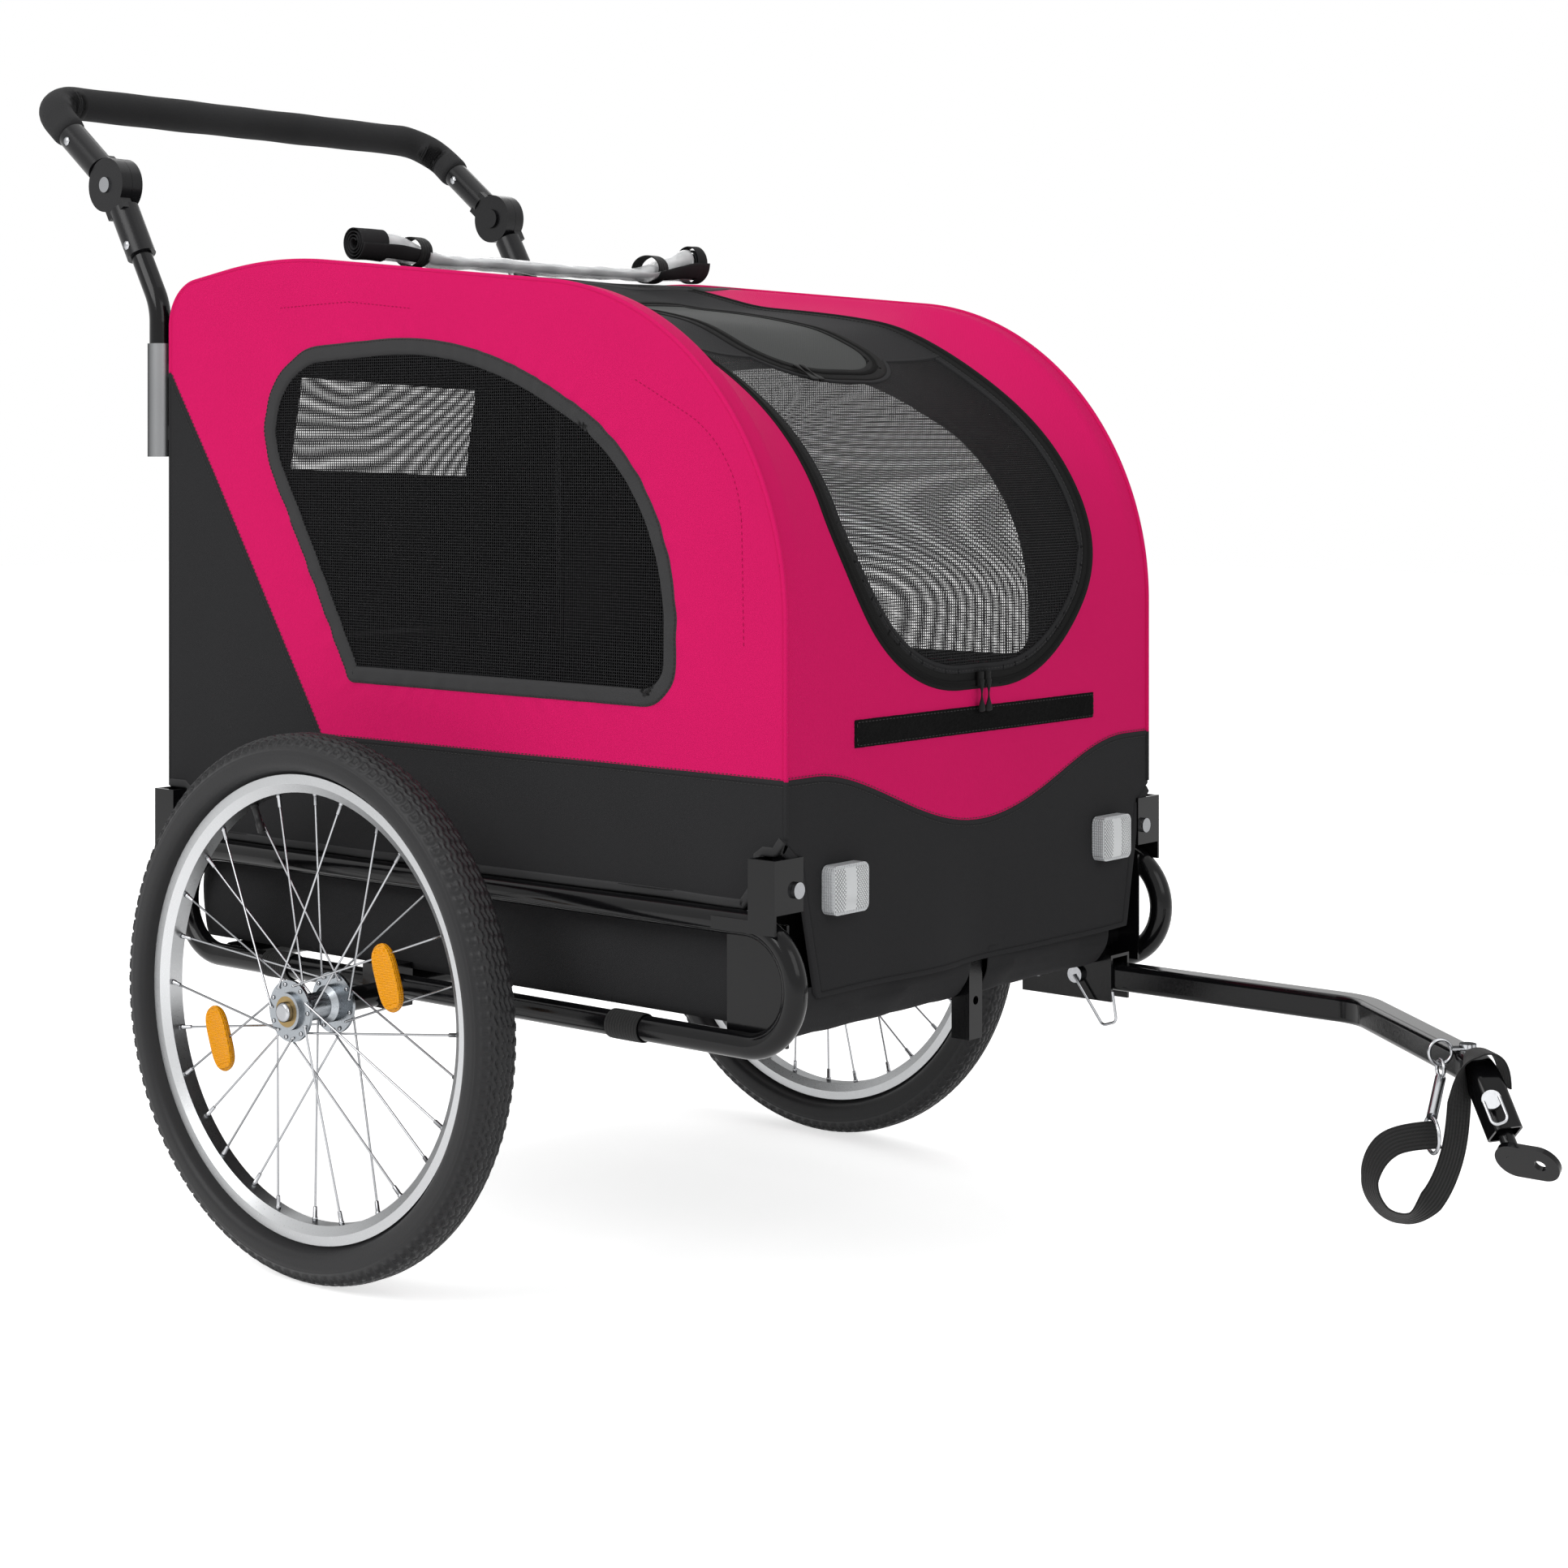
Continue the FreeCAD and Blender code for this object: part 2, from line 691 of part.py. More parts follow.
def wheel(side, sign):
    """Tyre, rim, crossed spokes, hub, bearings and reflectors of one wheel."""
    centre = Vector(0, sign * wheel_y, S.wheel_radius)
    lip = S.rim_width / 2
    seat = rim_radius - S.rim_depth
    well = seat + S.rim_depth / 2
    inner_lip = lip - S.rim_lip
    rise = S.rim_well_rise
    run = S.rim_well_run
    rim = revolve(f"{side}_rim", [
        (seat, -lip * 0.6), (seat, lip * 0.6), (well, lip), (rim_radius, lip), (rim_radius, inner_lip),
        (well + rise, inner_lip), (well, inner_lip - run), (well, -inner_lip + run), (well + rise, -inner_lip),
        (rim_radius, -inner_lip), (rim_radius, -lip), (well, -lip)])
    rim.Placement = Placement(centre, Rotation())
    node(f"{side}_rim", rim)

    half = S.tyre_width / 2
    bead = inner_lip - S.seat_gap
    foot = well + 2.5
    shoulder = rim_radius + S.seat_gap
    wall_outer = [(foot, bead), (shoulder + 1, bead), (S.wheel_radius - half * 1.3, half),
                  (S.wheel_radius - half * 0.65, half), (S.wheel_radius, half * 0.5)]
    inside = half - S.tyre_wall
    wall_inner = [(foot, bead - S.tyre_wall * 0.8), (shoulder + 1, bead - S.tyre_wall * 0.8),
                  (S.wheel_radius - half * 1.2, inside),
                  (S.wheel_radius - S.tyre_wall * 1.3 - inside * 0.5, inside),
                  (S.wheel_radius - S.tyre_wall * 1.3, inside * 0.5)]
    outline = wall_outer + [(r, -y) for r, y in reversed(wall_outer)]
    outline += [(r, -y) for r, y in wall_inner] + list(reversed(wall_inner))
    outer_bends = [0.4, 2, half * 0.35, half * 0.4, half * 0.4]
    inner_bends = [0.4, 1, half * 0.25, half * 0.3, half * 0.3]
    bends = outer_bends + outer_bends[::-1] + inner_bends + inner_bends[::-1]
    tyre = revolve(f"{side}_tyre", outline, bends)
    tyre.Placement = Placement(centre, Rotation())
    node(f"{side}_tyre", tyre)

    reach = S.hub_length / 2
    flange = S.hub_flange_spread / 2
    thick = S.hub_flange_thick / 2
    neck = S.bearing_width + S.hub_wall
    bore = S.axle_radius + S.hub_wall
    half_hub = [(S.bearing_radius + S.fit_gap, reach), (S.hub_end_radius, reach),
                (S.hub_end_radius, flange + thick),
                (S.hub_flange_radius, flange + thick), (S.hub_flange_radius, flange - thick),
                (S.hub_end_radius, flange - thick), (S.hub_end_radius, reach - neck - S.hub_step),
                (S.hub_barrel_radius, reach - neck - S.hub_step - S.hub_taper)]
    outside = half_hub + [(r, -y) for r, y in reversed(half_hub)]
    inside = [(S.bearing_radius + S.fit_gap, -reach + S.bearing_width + S.touch_gap),
              (bore, -reach + S.bearing_width + S.touch_gap),
              (bore, reach - S.bearing_width - S.touch_gap),
              (S.bearing_radius + S.fit_gap, reach - S.bearing_width - S.touch_gap)]
    hub = revolve(f"{side}_hub", outside + inside)
    hub.Placement = Placement(centre, Rotation())
    node(f"{side}_hub", hub)

    bearings = []
    for end in (-1, 1):
        start = centre + Y * (end * reach)
        ring = cylinder(f"{side}_bearing_{end + 1}_ring", "Sizes.bearing_radius", "Sizes.bearing_width",
                        start, (0, -end, 0))
        hole = cylinder(f"{side}_bearing_{end + 1}_hole", "Sizes.axle_radius + Sizes.fit_gap",
                        "Sizes.bearing_width",
                        start, (0, -end, 0))
        bearings.append(cut(f"{side}_bearing_{end + 1}", ring, hole))
    node(f"{side}_hub_bearings", group(f"{side}_hub_bearings", *bearings))

    spokes = []
    slots = []
    for index in range(int(S.spoke_count)):
        outer = 1 if index % 2 else -1
        lead = 1 if (index // 2) % 2 else -1
        rim_angle = math.radians(360 / S.spoke_count * index)
        hub_angle = rim_angle + lead * math.radians(S.spoke_lead)
        start_r = S.hub_flange_radius - S.spoke_seat
        end_r = seat + S.spoke_radius
        weave = S.hub_flange_thick / 2 + S.spoke_radius + S.fit_gap
        start = centre + Vector(math.cos(hub_angle) * start_r, outer * (flange + lead * weave),
                                math.sin(hub_angle) * start_r)
        end = centre + Vector(math.cos(rim_angle) * end_r, outer * lip * 0.25, math.sin(rim_angle) * end_r)
        length = (end - start).Length
        spokes.append(cylinder(f"{side}_spoke_{index}", "Sizes.spoke_radius", f"{length}", start,
                               end - start))
        slots.append(cylinder(f"{side}_slot_{index}", "Sizes.spoke_radius + Sizes.touch_gap", f"{length}",
                              start, end - start))
    node(f"{side}_spokes", group(f"{side}_spokes", *spokes))

    lamps = []
    share = (S.lamp_ring_radius - S.hub_flange_radius) / (seat - S.hub_flange_radius)
    depth = flange + (lip * 0.25 - flange) * share
    for number in (0, 1):
        angle = math.radians(S.lamp_angle + 180 * number)
        end_radius = S.lamp_width / 2 * 0.98
        half_length = S.lamp_length / 2
        corners = [(-half_length, 0, -S.lamp_width / 2), (half_length, 0, -S.lamp_width / 2),
                   (half_length, 0, S.lamp_width / 2), (-half_length, 0, S.lamp_width / 2)]
        lamp = extrude(f"{side}_lamp_{number}", bent_edges(corners, [end_radius] * 4, closed=True), Y,
                       "Sizes.lamp_thick")
        at = centre + Vector(math.cos(angle) * S.lamp_ring_radius, depth * sign - S.lamp_thick / 2,
                             math.sin(angle) * S.lamp_ring_radius)
        lamp.Placement = Placement(at, Rotation(Y, 90 - math.degrees(angle)))
        lamps.append(cut(f"{side}_lamp_slotted_{number}", lamp, *slots))
    node(f"{side}_wheel_reflectors", group(f"{side}_wheel_reflectors", *lamps))


def corner_bracket(name, leg_x, sign, foot_way):
    """A bent channel round the foot of a hoop leg: outer web, two flanges and a foot along the rail."""
    web_y = sign * (rail_y + rail_radius + S.touch_gap)
    half = S.bracket_width / 2
    depth = rail_y + rail_radius + S.touch_gap - hoop_y + hoop_radius
    inner_y = web_y - sign * depth
    low_y = min(web_y, web_y + sign * S.bracket_sheet)
    flange_z = skirt_z
    web_z = S.rail_upper_z
    web = box(name + "_web", "Sizes.bracket_width", "Sizes.bracket_sheet", f"{S.bracket_top_z - web_z}",
              (leg_x - half, low_y, web_z))
    foot_x = leg_x - half if foot_way > 0 else leg_x + half - S.bracket_foot
    foot = box(name + "_foot", "Sizes.bracket_foot", "Sizes.bracket_sheet", "Sizes.rail_diameter / 2",
               (foot_x, low_y, web_z - rail_radius / 2))
    flanges = []
    flange_low = min(inner_y, web_y)
    for number, x in enumerate((leg_x - half, leg_x + half - S.bracket_sheet)):
        flanges.append(box(f"{name}_flange_{number}", "Sizes.bracket_sheet", f"{depth}",
                           f"{S.bracket_top_z - flange_z}", (x, flange_low, flange_z)))
    whole = fuse(name + "_whole", web, foot, *flanges)
    hole = cylinder(name + "_hole", "Sizes.bolt_radius + Sizes.touch_gap", "Sizes.bracket_width",
                    (leg_x - half, sign * hoop_y, S.bracket_bolt_z), X)
    return cut(name, whole, hole)


def bolt(name, start, way, length):
    """A round-headed bolt: the head stands in front of the start, the shank runs along the way."""
    way = Vector(*way)
    shank = cylinder(name + "_shank", "Sizes.bolt_radius", f"{length}", start, way)
    head = cylinder(name + "_head", "Sizes.bolt_head_radius", "Sizes.bolt_head_height",
                    Vector(*start) - way * S.bolt_head_height, way)
    nut = cylinder(name + "_nut", "Sizes.bolt_head_radius", "Sizes.bolt_head_height",
                   Vector(*start) + way * length, way)
    return fuse(name, shank, head, nut)


def bracket_notches(name):
    """Room in the cloth round the four corner brackets."""
    notches = []
    low_y = hoop_y - hoop_radius - S.seat_gap
    for side, sign in SIDES.items():
        for end, leg_x in (("front", hoop_front_x), ("rear", hoop_rear_x)):
            corner_y = low_y if sign > 0 else -rail_y - S.rail_diameter
            notches.append(box(f"{name}_{side}_{end}", "Sizes.bracket_width + 2 * Sizes.seat_gap",
                               f"{rail_y + S.rail_diameter - low_y}",
                               "Sizes.bracket_top_z + Sizes.seat_gap",
                               (leg_x - S.bracket_width / 2 - S.seat_gap, corner_y, 0)))
    return notches


def corner_brackets():
    """The four corner brackets with the bolts that hold the hoop legs."""
    brackets = []
    bolts = []
    for side, sign in SIDES.items():
        for end, leg_x, way in (("front", hoop_front_x, -1), ("rear", hoop_rear_x, 1)):
            name = f"{side}_{end}_bracket"
            brackets.append(corner_bracket(name, leg_x, sign, way))
            start = (leg_x - way * (S.bracket_width / 2 + S.touch_gap), sign * hoop_y, S.bracket_bolt_z)
            bolts.append(bolt(name + "_bolt", start, (way, 0, 0), S.bracket_width + 2 * S.touch_gap))
    channel_face = S.arm_side / 2 + S.channel_gap + S.channel_sheet + S.touch_gap
    pivot_start = (S.arm_pivot_x, tow_y - channel_face, S.tow_z)
    pivot_length = S.arm_side + 2 * (S.channel_gap + S.channel_sheet + S.touch_gap)
    bolts.append(bolt("tow_pivot_bolt", pivot_start, (0, 1, 0), pivot_length))
    node("corner_brackets", group("corner_brackets", *brackets))
    node("frame_bolts", group("frame_bolts", *bolts))


def hoops():
    """The bent tube on each side that holds the cloth, with both legs standing in the corner brackets."""
    for side, sign in SIDES.items():
        corners, radii = profile(hoop_inset, skirt_z, skirt_z)
        hoop = tube(f"{side}_hoop_bare", shifted(corners, sign * hoop_y), radii, "hoop_diameter", "hoop_wall")
        holes = []
        for end, leg_x in (("front", hoop_front_x), ("rear", hoop_rear_x)):
            holes.append(cylinder(f"{side}_hoop_{end}_hole", "Sizes.bolt_radius + Sizes.touch_gap",
                                  "2 * Sizes.hoop_diameter",
                                  (leg_x - S.hoop_diameter, sign * hoop_y, S.bracket_bolt_z), X))
        node(f"{side}_hoop", cut(f"{side}_hoop", hoop, *holes))
    half = hoop_y - hoop_radius - S.touch_gap
    bars = []
    for name, x, z in (("front_bar", hoop_front_x, S.crossbar_front_z),
                       ("rear_bar", hoop_rear_x, S.crossbar_rear_z),
                       ("roof_bar", S.crossbar_roof_x, roof_height(S.crossbar_roof_x, hoop_inset))):
        bars.append(straight_tube(name, x, z, half, "crossbar_diameter", "hoop_wall"))
    node("cabin_crossbars", group("cabin_crossbars", *bars))


def side_cloth():
    """Each side: pink panel with its window, mesh in the window, black skirt below and behind the seam."""
    meshes = []
    window = [(S.window_rear_x, 0, S.window_bottom_z), (S.window_front_x, 0, S.window_bottom_z),
              (S.window_front_x, 0, S.window_front_z), (S.window_peak_x, 0, S.window_peak_z),
              (S.window_back_x, 0, S.window_back_z)]
    window_radii = [S.window_rear_radius, S.window_front_radius, S.window_curve_radius, S.window_top_radius,
                    S.window_back_radius]
    beyond = S.wheel_radius
    seam = [(S.cabin_rear_x - beyond, 0, S.seam_rear_z), (S.cabin_rear_x, 0, S.seam_rear_z),
            (S.seam_corner_x, 0, S.seam_z), (S.cabin_front_x + beyond, 0, S.seam_z),
            (S.cabin_front_x + beyond, 0, 0), (S.cabin_rear_x - beyond, 0, 0)]
    for side, sign in SIDES.items():
        low_y = min(sign * S.cabin_half_width, sign * skin_half_width)
        corners, radii = profile(0, skirt_z, skirt_z)
        edges = bent_edges(shifted(corners, low_y), radii)
        edges.append(Part.LineSegment(Vector(corners[0][0], low_y, skirt_z),
                                      Vector(corners[-1][0], low_y, skirt_z)).toShape())
        below = extrude(f"{side}_below_seam", bent_edges(shifted(seam, low_y - S.cloth), [], closed=True), Y,
                        "3 * Sizes.cloth")
        hole = extrude(f"{side}_window_hole", bent_edges(shifted(window, low_y - S.cloth), window_radii,
                                                         closed=True),
                       Y, "3 * Sizes.cloth")
        whole = extrude(f"{side}_side_whole", edges, Y, "Sizes.cloth")
        slit = [(S.cabin_front_x, 0, S.slit_top_z), (S.cabin_front_x, 0, 0),
                (S.cabin_front_x - S.slit_width, 0, skirt_z - S.cloth)]
        slit_tool = extrude(f"{side}_slit", bent_edges(shifted(slit, low_y - S.cloth), [], closed=True), Y,
                            "3 * Sizes.cloth")
        node(f"{side}_side_panel", cut(f"{side}_side_panel", whole, below, hole))
        lower = common(f"{side}_side_lower", whole, below)
        node(f"{side}_side_skirt", cut(f"{side}_side_skirt", lower, slit_tool,
                                          *bracket_notches(f"{side}_notch")))
        mesh_y = low_y + (S.cloth - S.mesh_cloth) / 2
        meshes.append(mesh_sheet(f"{side}_window_mesh", shifted(window, mesh_y), window_radii, Y))
    z_low, z_high, half = S.rear_window_bottom_z, S.rear_window_top_z, S.rear_window_half_width
    rear_x = S.cabin_rear_x + (S.cloth - S.mesh_cloth) / 2
    rear = [(rear_x, -half, z_low), (rear_x, half, z_low), (rear_x, half, z_high), (rear_x, -half, z_high)]
    meshes.append(mesh_sheet("rear_window_mesh", rear, [S.rear_window_corner] * 4, X))
    node("window_meshes", group("window_meshes", *meshes))


def mesh_sheet(name, corners, radii, way):
    """A sheet of mesh that fills a window, edge to edge with the cloth."""
    return extrude(name, bent_edges(corners, radii, closed=True), way, "Sizes.mesh_cloth")


def wave_region(name):
    """All that lies below the wavy seam of the front, through the front cloth."""
    x = S.cabin_front_x - S.bracket_width
    wide = 2 * S.cabin_half_width
    low = 0
    corners = [(x, -wide, low), (x, -wide, S.seam_z), (x, -S.wave_half_width, S.seam_z),
               (x, 0, S.seam_z - S.wave_depth), (x, S.wave_half_width, S.seam_z), (x, wide, S.seam_z),
               (x, wide, low)]
    edges = bent_edges(corners[1:6], [S.wave_radius] * 3)
    for a, b in ((corners[5], corners[6]), (corners[6], corners[0]), (corners[0], corners[1])):
        edges.append(Part.LineSegment(Vector(*a), Vector(*b)).toShape())
    return extrude(name, edges, X, "2 * Sizes.bracket_width")


def door_region(name, grow):
    """The outline of the front door, grown or shrunk, as a block through front and roof."""
    half = S.door_half_width + grow
    bottom = S.door_bottom_z - grow
    corner = S.door_corner_radius + grow
    x = S.cabin_front_x - S.front_curve_radius
    front = [(x, -half, S.door_shoulder_z), (x, -half, bottom), (x, half, bottom),
             (x, half, S.door_shoulder_z)]
    edges = bent_edges(front, [corner, corner])
    edges.append(Part.LineSegment(Vector(*front[0]), Vector(*front[-1])).toShape())
    lower = extrude(name + "_front", edges, X, "2 * Sizes.front_curve_radius")
    rear_x = S.door_hinge_x - min(grow, 0) if grow < 0 else S.door_hinge_x
    front_x = S.cabin_front_x + S.cloth
    z = S.door_shoulder_z
    roof = [(rear_x, -half, z), (front_x, -half, z), (front_x, half, z), (rear_x, half, z)]
    upper = extrude(name + "_roof", bent_edges(roof, [], closed=True), Z,
                    "Sizes.roof_peak_z - Sizes.door_shoulder_z")
    return fuse(name, lower, upper)


def hatch_region(name, grow):
    """The outline of the roof hatch, as a block through the roof."""
    half = S.hatch_half_width + grow
    corner = S.hatch_corner_radius + grow
    rear_corner = S.hatch_corner_radius / 5 + grow
    z = S.door_shoulder_z
    rear_x = S.hatch_rear_x - min(grow, S.touch_gap)
    front_x = S.hatch_front_x + grow
    corners = [(rear_x, -half, z), (front_x, -half, z), (front_x, half, z), (rear_x, half, z)]
    edges = bent_edges(corners, [rear_corner, corner, corner, rear_corner], closed=True)
    return extrude(name, edges, Z, "Sizes.roof_peak_z - Sizes.door_shoulder_z")


def mesh_region(name):
    """The door's mesh: inside its border, up to a height, and clear of the hatch and the hatch's border."""
    below = box(name + "_below", "2 * Sizes.cabin_half_width", "2 * Sizes.cabin_half_width",
                "Sizes.door_mesh_top_z", (0, -S.cabin_half_width, 0))
    area = common(name + "_inside", door_region(name + "_block", -S.door_border), below)
    return cut(name, area, hatch_region(name + "_hatch", S.hatch_border))


def front_cloth():
    """Front panel, front skirt, rear and roof panel, door, door mesh and hatch, cut from one skin."""
    span = 2 * S.cabin_half_width
    behind = box("behind_door", f"{S.door_hinge_x - S.cabin_rear_x + span}", "2 * Sizes.cabin_half_width",
                 "2 * Sizes.roof_peak_z", (S.cabin_rear_x - span, -S.cabin_half_width, 0))
    skirt_skin = common("front_skirt_whole", skin("skirt_skin", 0, S.cloth), wave_region("below_wave"))
    slits = []
    for side, sign in SIDES.items():
        edge_y = sign * skin_half_width
        x = S.cabin_front_x - S.bracket_width
        slit = [(x, edge_y, S.slit_top_z), (x, edge_y, 0), (x, edge_y - sign * S.slit_width, 0),
                (x, edge_y - sign * S.slit_width, S.front_hem_z - S.cloth)]
        slits.append(extrude(f"{side}_front_slit", bent_edges(slit, [], closed=True), X,
                             "2 * Sizes.bracket_width"))
    node("front_skirt", cut("front_skirt", skirt_skin, *slits, *bracket_notches("front_notch")))
    panel_whole = fuse("panel_whole", slack_skin("panel_skin", 0, S.cloth), *hoop_strips("panel_strip"))
    node("front_panel", cut("front_panel", panel_whole, wave_region("wave_cut"),
                            door_region("door_hole", S.zip_gap),
                            behind))
    rear_skin = common("rear_whole", skin("rear_skin", 0, S.cloth), behind)
    half = S.rear_window_half_width
    window_hole = extrude("rear_window_hole", bent_edges(
        [(S.cabin_rear_x - S.cloth, -half, S.rear_window_bottom_z),
         (S.cabin_rear_x - S.cloth, half, S.rear_window_bottom_z),
         (S.cabin_rear_x - S.cloth, half, S.rear_window_top_z),
         (S.cabin_rear_x - S.cloth, -half, S.rear_window_top_z)],
        [S.rear_window_corner] * 4, closed=True), X, "3 * Sizes.cloth")
    node("rear_panel", cut("rear_panel", rear_skin, window_hole, *bracket_notches("rear_notch")))

    ahead = box("hinge_line", f"{S.seat_gap}", "2 * Sizes.cabin_half_width", "Sizes.roof_peak_z",
                (S.door_hinge_x, -S.cabin_half_width, S.door_shoulder_z))
    door_whole = common("door_whole", slack_skin("door_skin", 0, S.cloth), door_region("door_block", 0))
    node("door_frame", cut("door_frame", door_whole, ahead, mesh_region("mesh_hole"),
                           hatch_region("hatch_hole", S.zip_gap)))
    inset = (S.cloth - S.mesh_cloth) / 2
    mesh_skin = slack_skin("mesh_skin", inset, inset + S.mesh_cloth)
    node("door_mesh", common("door_mesh", mesh_skin, mesh_region("mesh_area")))
    node("roof_hatch", common("roof_hatch", slack_skin("hatch_skin", 0, S.cloth),
                              hatch_region("hatch_block", 0)))

    pullers = []
    for number, way in enumerate((-1, 1)):
        y = way * (S.puller_width * 0.6) - S.puller_width / 2
        pullers.append(box(f"door_puller_{number}", "Sizes.puller_thick", "Sizes.puller_width",
                           "Sizes.puller_length",
                           (S.cabin_front_x + S.strip_thick + S.seat_gap, y,
                            S.door_bottom_z - S.puller_length + S.puller_overlap)))
    sliders = []
    for number, way in enumerate((-1, 1)):
        y = way * (S.puller_width * 0.6) - S.puller_width / 2
        sliders.append(box(f"door_slider_{number}", "Sizes.strip_thick + Sizes.seat_gap + Sizes.puller_thick",
                           "Sizes.puller_width", "Sizes.puller_width",
                           (S.cabin_front_x, y, S.door_bottom_z + S.touch_gap)))
    joined = [fuse(f"zip_puller_{n}", p, s) for n, (p, s) in enumerate(zip(pullers, sliders))]
    node("door_zip_pullers", group("door_zip_pullers", *joined))


def small_cloth():
    """Closing strip, front reflectors, tub, floor board and the rolled rain cover."""
    node("closing_strip", box("closing_strip", "Sizes.strip_thick", "Sizes.strip_length",
                              "Sizes.strip_height",
                              (S.cabin_front_x, -S.strip_length / 2, S.strip_bottom_z)))
    lamps = []
    for side, sign in SIDES.items():
        half_w = S.front_lamp_width / 2
        half_h = S.front_lamp_height / 2
        corners = [(0, -half_w, -half_h), (0, half_w, -half_h), (0, half_w, half_h), (0, -half_w, half_h)]
        lamp = extrude(f"{side}_front_lamp", bent_edges(corners, [S.front_lamp_corner] * 4, closed=True), X,
                       "Sizes.front_lamp_depth")
        lamp.Placement = Placement(Vector(S.cabin_front_x, sign * front_lamp_y, S.front_lamp_z), Rotation())
        lamps.append(lamp)
    node("front_reflectors", group("front_reflectors", *lamps))

    floor_z = S.rail_lower_z + rail_radius + S.touch_gap
    length = "Sizes.tub_front_x - Sizes.tub_rear_x"
    wall_height = S.rail_upper_z - floor_z
    outer = box("tub_outer", length, f"{2 * tub_half_width}", f"{wall_height}",
                (S.tub_rear_x, -tub_half_width, floor_z))
    inner = box("tub_inner", length + " - 2 * Sizes.cloth", f"{2 * tub_half_width} - 2 * Sizes.cloth",
                f"{wall_height}", (S.tub_rear_x + S.cloth, -tub_half_width + S.cloth, floor_z + S.cloth))
    node("floor_tub", cut("floor_tub", outer, inner))
    node("floor_board", box("floor_board", length + " - 2 * Sizes.board_margin",
                            f"{2 * tub_half_width} - 2 * Sizes.board_margin", "Sizes.board_thick",
                            (S.tub_rear_x + S.board_margin, -tub_half_width + S.board_margin,
                             floor_z + S.cloth + S.touch_gap)))

    rise = S.roll_radius + S.tie_thick + 2 * S.seat_gap
    ends = []
    for sign in SIDES.values():
        x = S.roll_x + sign * S.roll_skew / 2
        ends.append(Vector(x, sign * S.roll_length / 2, roof_height(x, 0) + rise))
    way = unit(ends[1] - ends[0])
    middle = (ends[0] + ends[1]) / 2
    node("rain_cover_roll", cylinder("rain_roll", "Sizes.roll_radius", f"{(ends[1] - ends[0]).Length}",
                                     ends[0], way))
    ties = []
    for side, sign in SIDES.items():
        start = middle + way * (sign * S.tie_y - S.tie_width / 2)
        outer = cylinder(f"{side}_tie_outer", "Sizes.roll_radius + Sizes.seat_gap / 2 + Sizes.tie_thick",
                         "Sizes.tie_width", start, way)
        inner = cylinder(f"{side}_tie_inner", "Sizes.roll_radius + Sizes.seat_gap / 2", "Sizes.tie_width",
                         start, way)
        ties.append(cut(f"{side}_tie", outer, inner))
    node("rain_cover_ties", group("rain_cover_ties", *ties))


def handle_sleeves():
    """The sleeve on each rear hoop leg that takes a leg of the push handle."""
    sleeves = []
    for side, sign in SIDES.items():
        y = sign * handle_half_width
        outer = cylinder(f"{side}_sleeve_outer", "Sizes.sleeve_diameter / 2", "Sizes.sleeve_length",
                         (sleeve_x, y, S.sleeve_bottom_z), Z)
        bosses = []
        hoop_side = sign * (hoop_y - S.sleeve_boss / 2)
        for number, share in enumerate((0.15, 0.7)):
            bosses.append(box(f"{side}_boss_{number}", "Sizes.sleeve_setback", f"{abs(y - hoop_side)}",
                              "Sizes.sleeve_boss",
                              (sleeve_x, min(y, hoop_side), S.sleeve_bottom_z + share * S.sleeve_length)))
        bore = cylinder(f"{side}_sleeve_bore", "Sizes.sleeve_bore / 2", "Sizes.sleeve_length",
                        (sleeve_x, y, S.sleeve_bottom_z), Z)
        sleeves.append(cut(f"{side}_sleeve", fuse(f"{side}_sleeve_whole", outer, *bosses), bore))
    node("handle_sleeves", group("handle_sleeves", *sleeves))


def hinge_half(name, sign, way, out, socket_end):
    """One half of a ratchet hinge: disc, neck and the socket for the tube."""
    pivot = Vector(hinge_x, sign * handle_half_width, S.hinge_z)
    gap = S.touch_gap
    near = pivot + Y * (sign * out * gap)
    disc = cylinder(name + "_disc", "Sizes.hinge_disc_radius", "Sizes.hinge_disc_thick", near,
                    (0, sign * out, 0))
    turn_to_way = Rotation(X, way)
    low = near if sign * out > 0 else near - Y * S.hinge_disc_thick
    neck_length = S.hinge_socket_start + S.rail_wall * 4
    neck = box(name + "_neck", f"{neck_length}", "Sizes.hinge_disc_thick", "Sizes.hinge_neck",
               low - turn_to_way.multVec(Z) * (S.hinge_neck / 2), turn_to_way)
    socket = cylinder(name + "_socket", "Sizes.hinge_socket_radius", f"{socket_end - S.hinge_socket_start}",
                      pivot + way * S.hinge_socket_start, way)
    tube_hole = cylinder(name + "_tube_hole", "Sizes.handle_tube_diameter / 2 + Sizes.fit_gap",
                         f"{socket_end - tube_seat()}", pivot + way * tube_seat(), way)
    pin_hole = cylinder(name + "_pin_hole", "Sizes.hinge_screw_radius + Sizes.fit_gap",
                        "4 * Sizes.hinge_disc_thick",
                        pivot - Y * (2 * S.hinge_disc_thick), Y)
    return fuse(name + "_whole", disc, neck, socket), [tube_hole, pin_hole]


def tube_seat():
    """Distance from a hinge's axis to the end of the tube in its socket."""
    return S.hinge_socket_start + S.rail_wall * 4


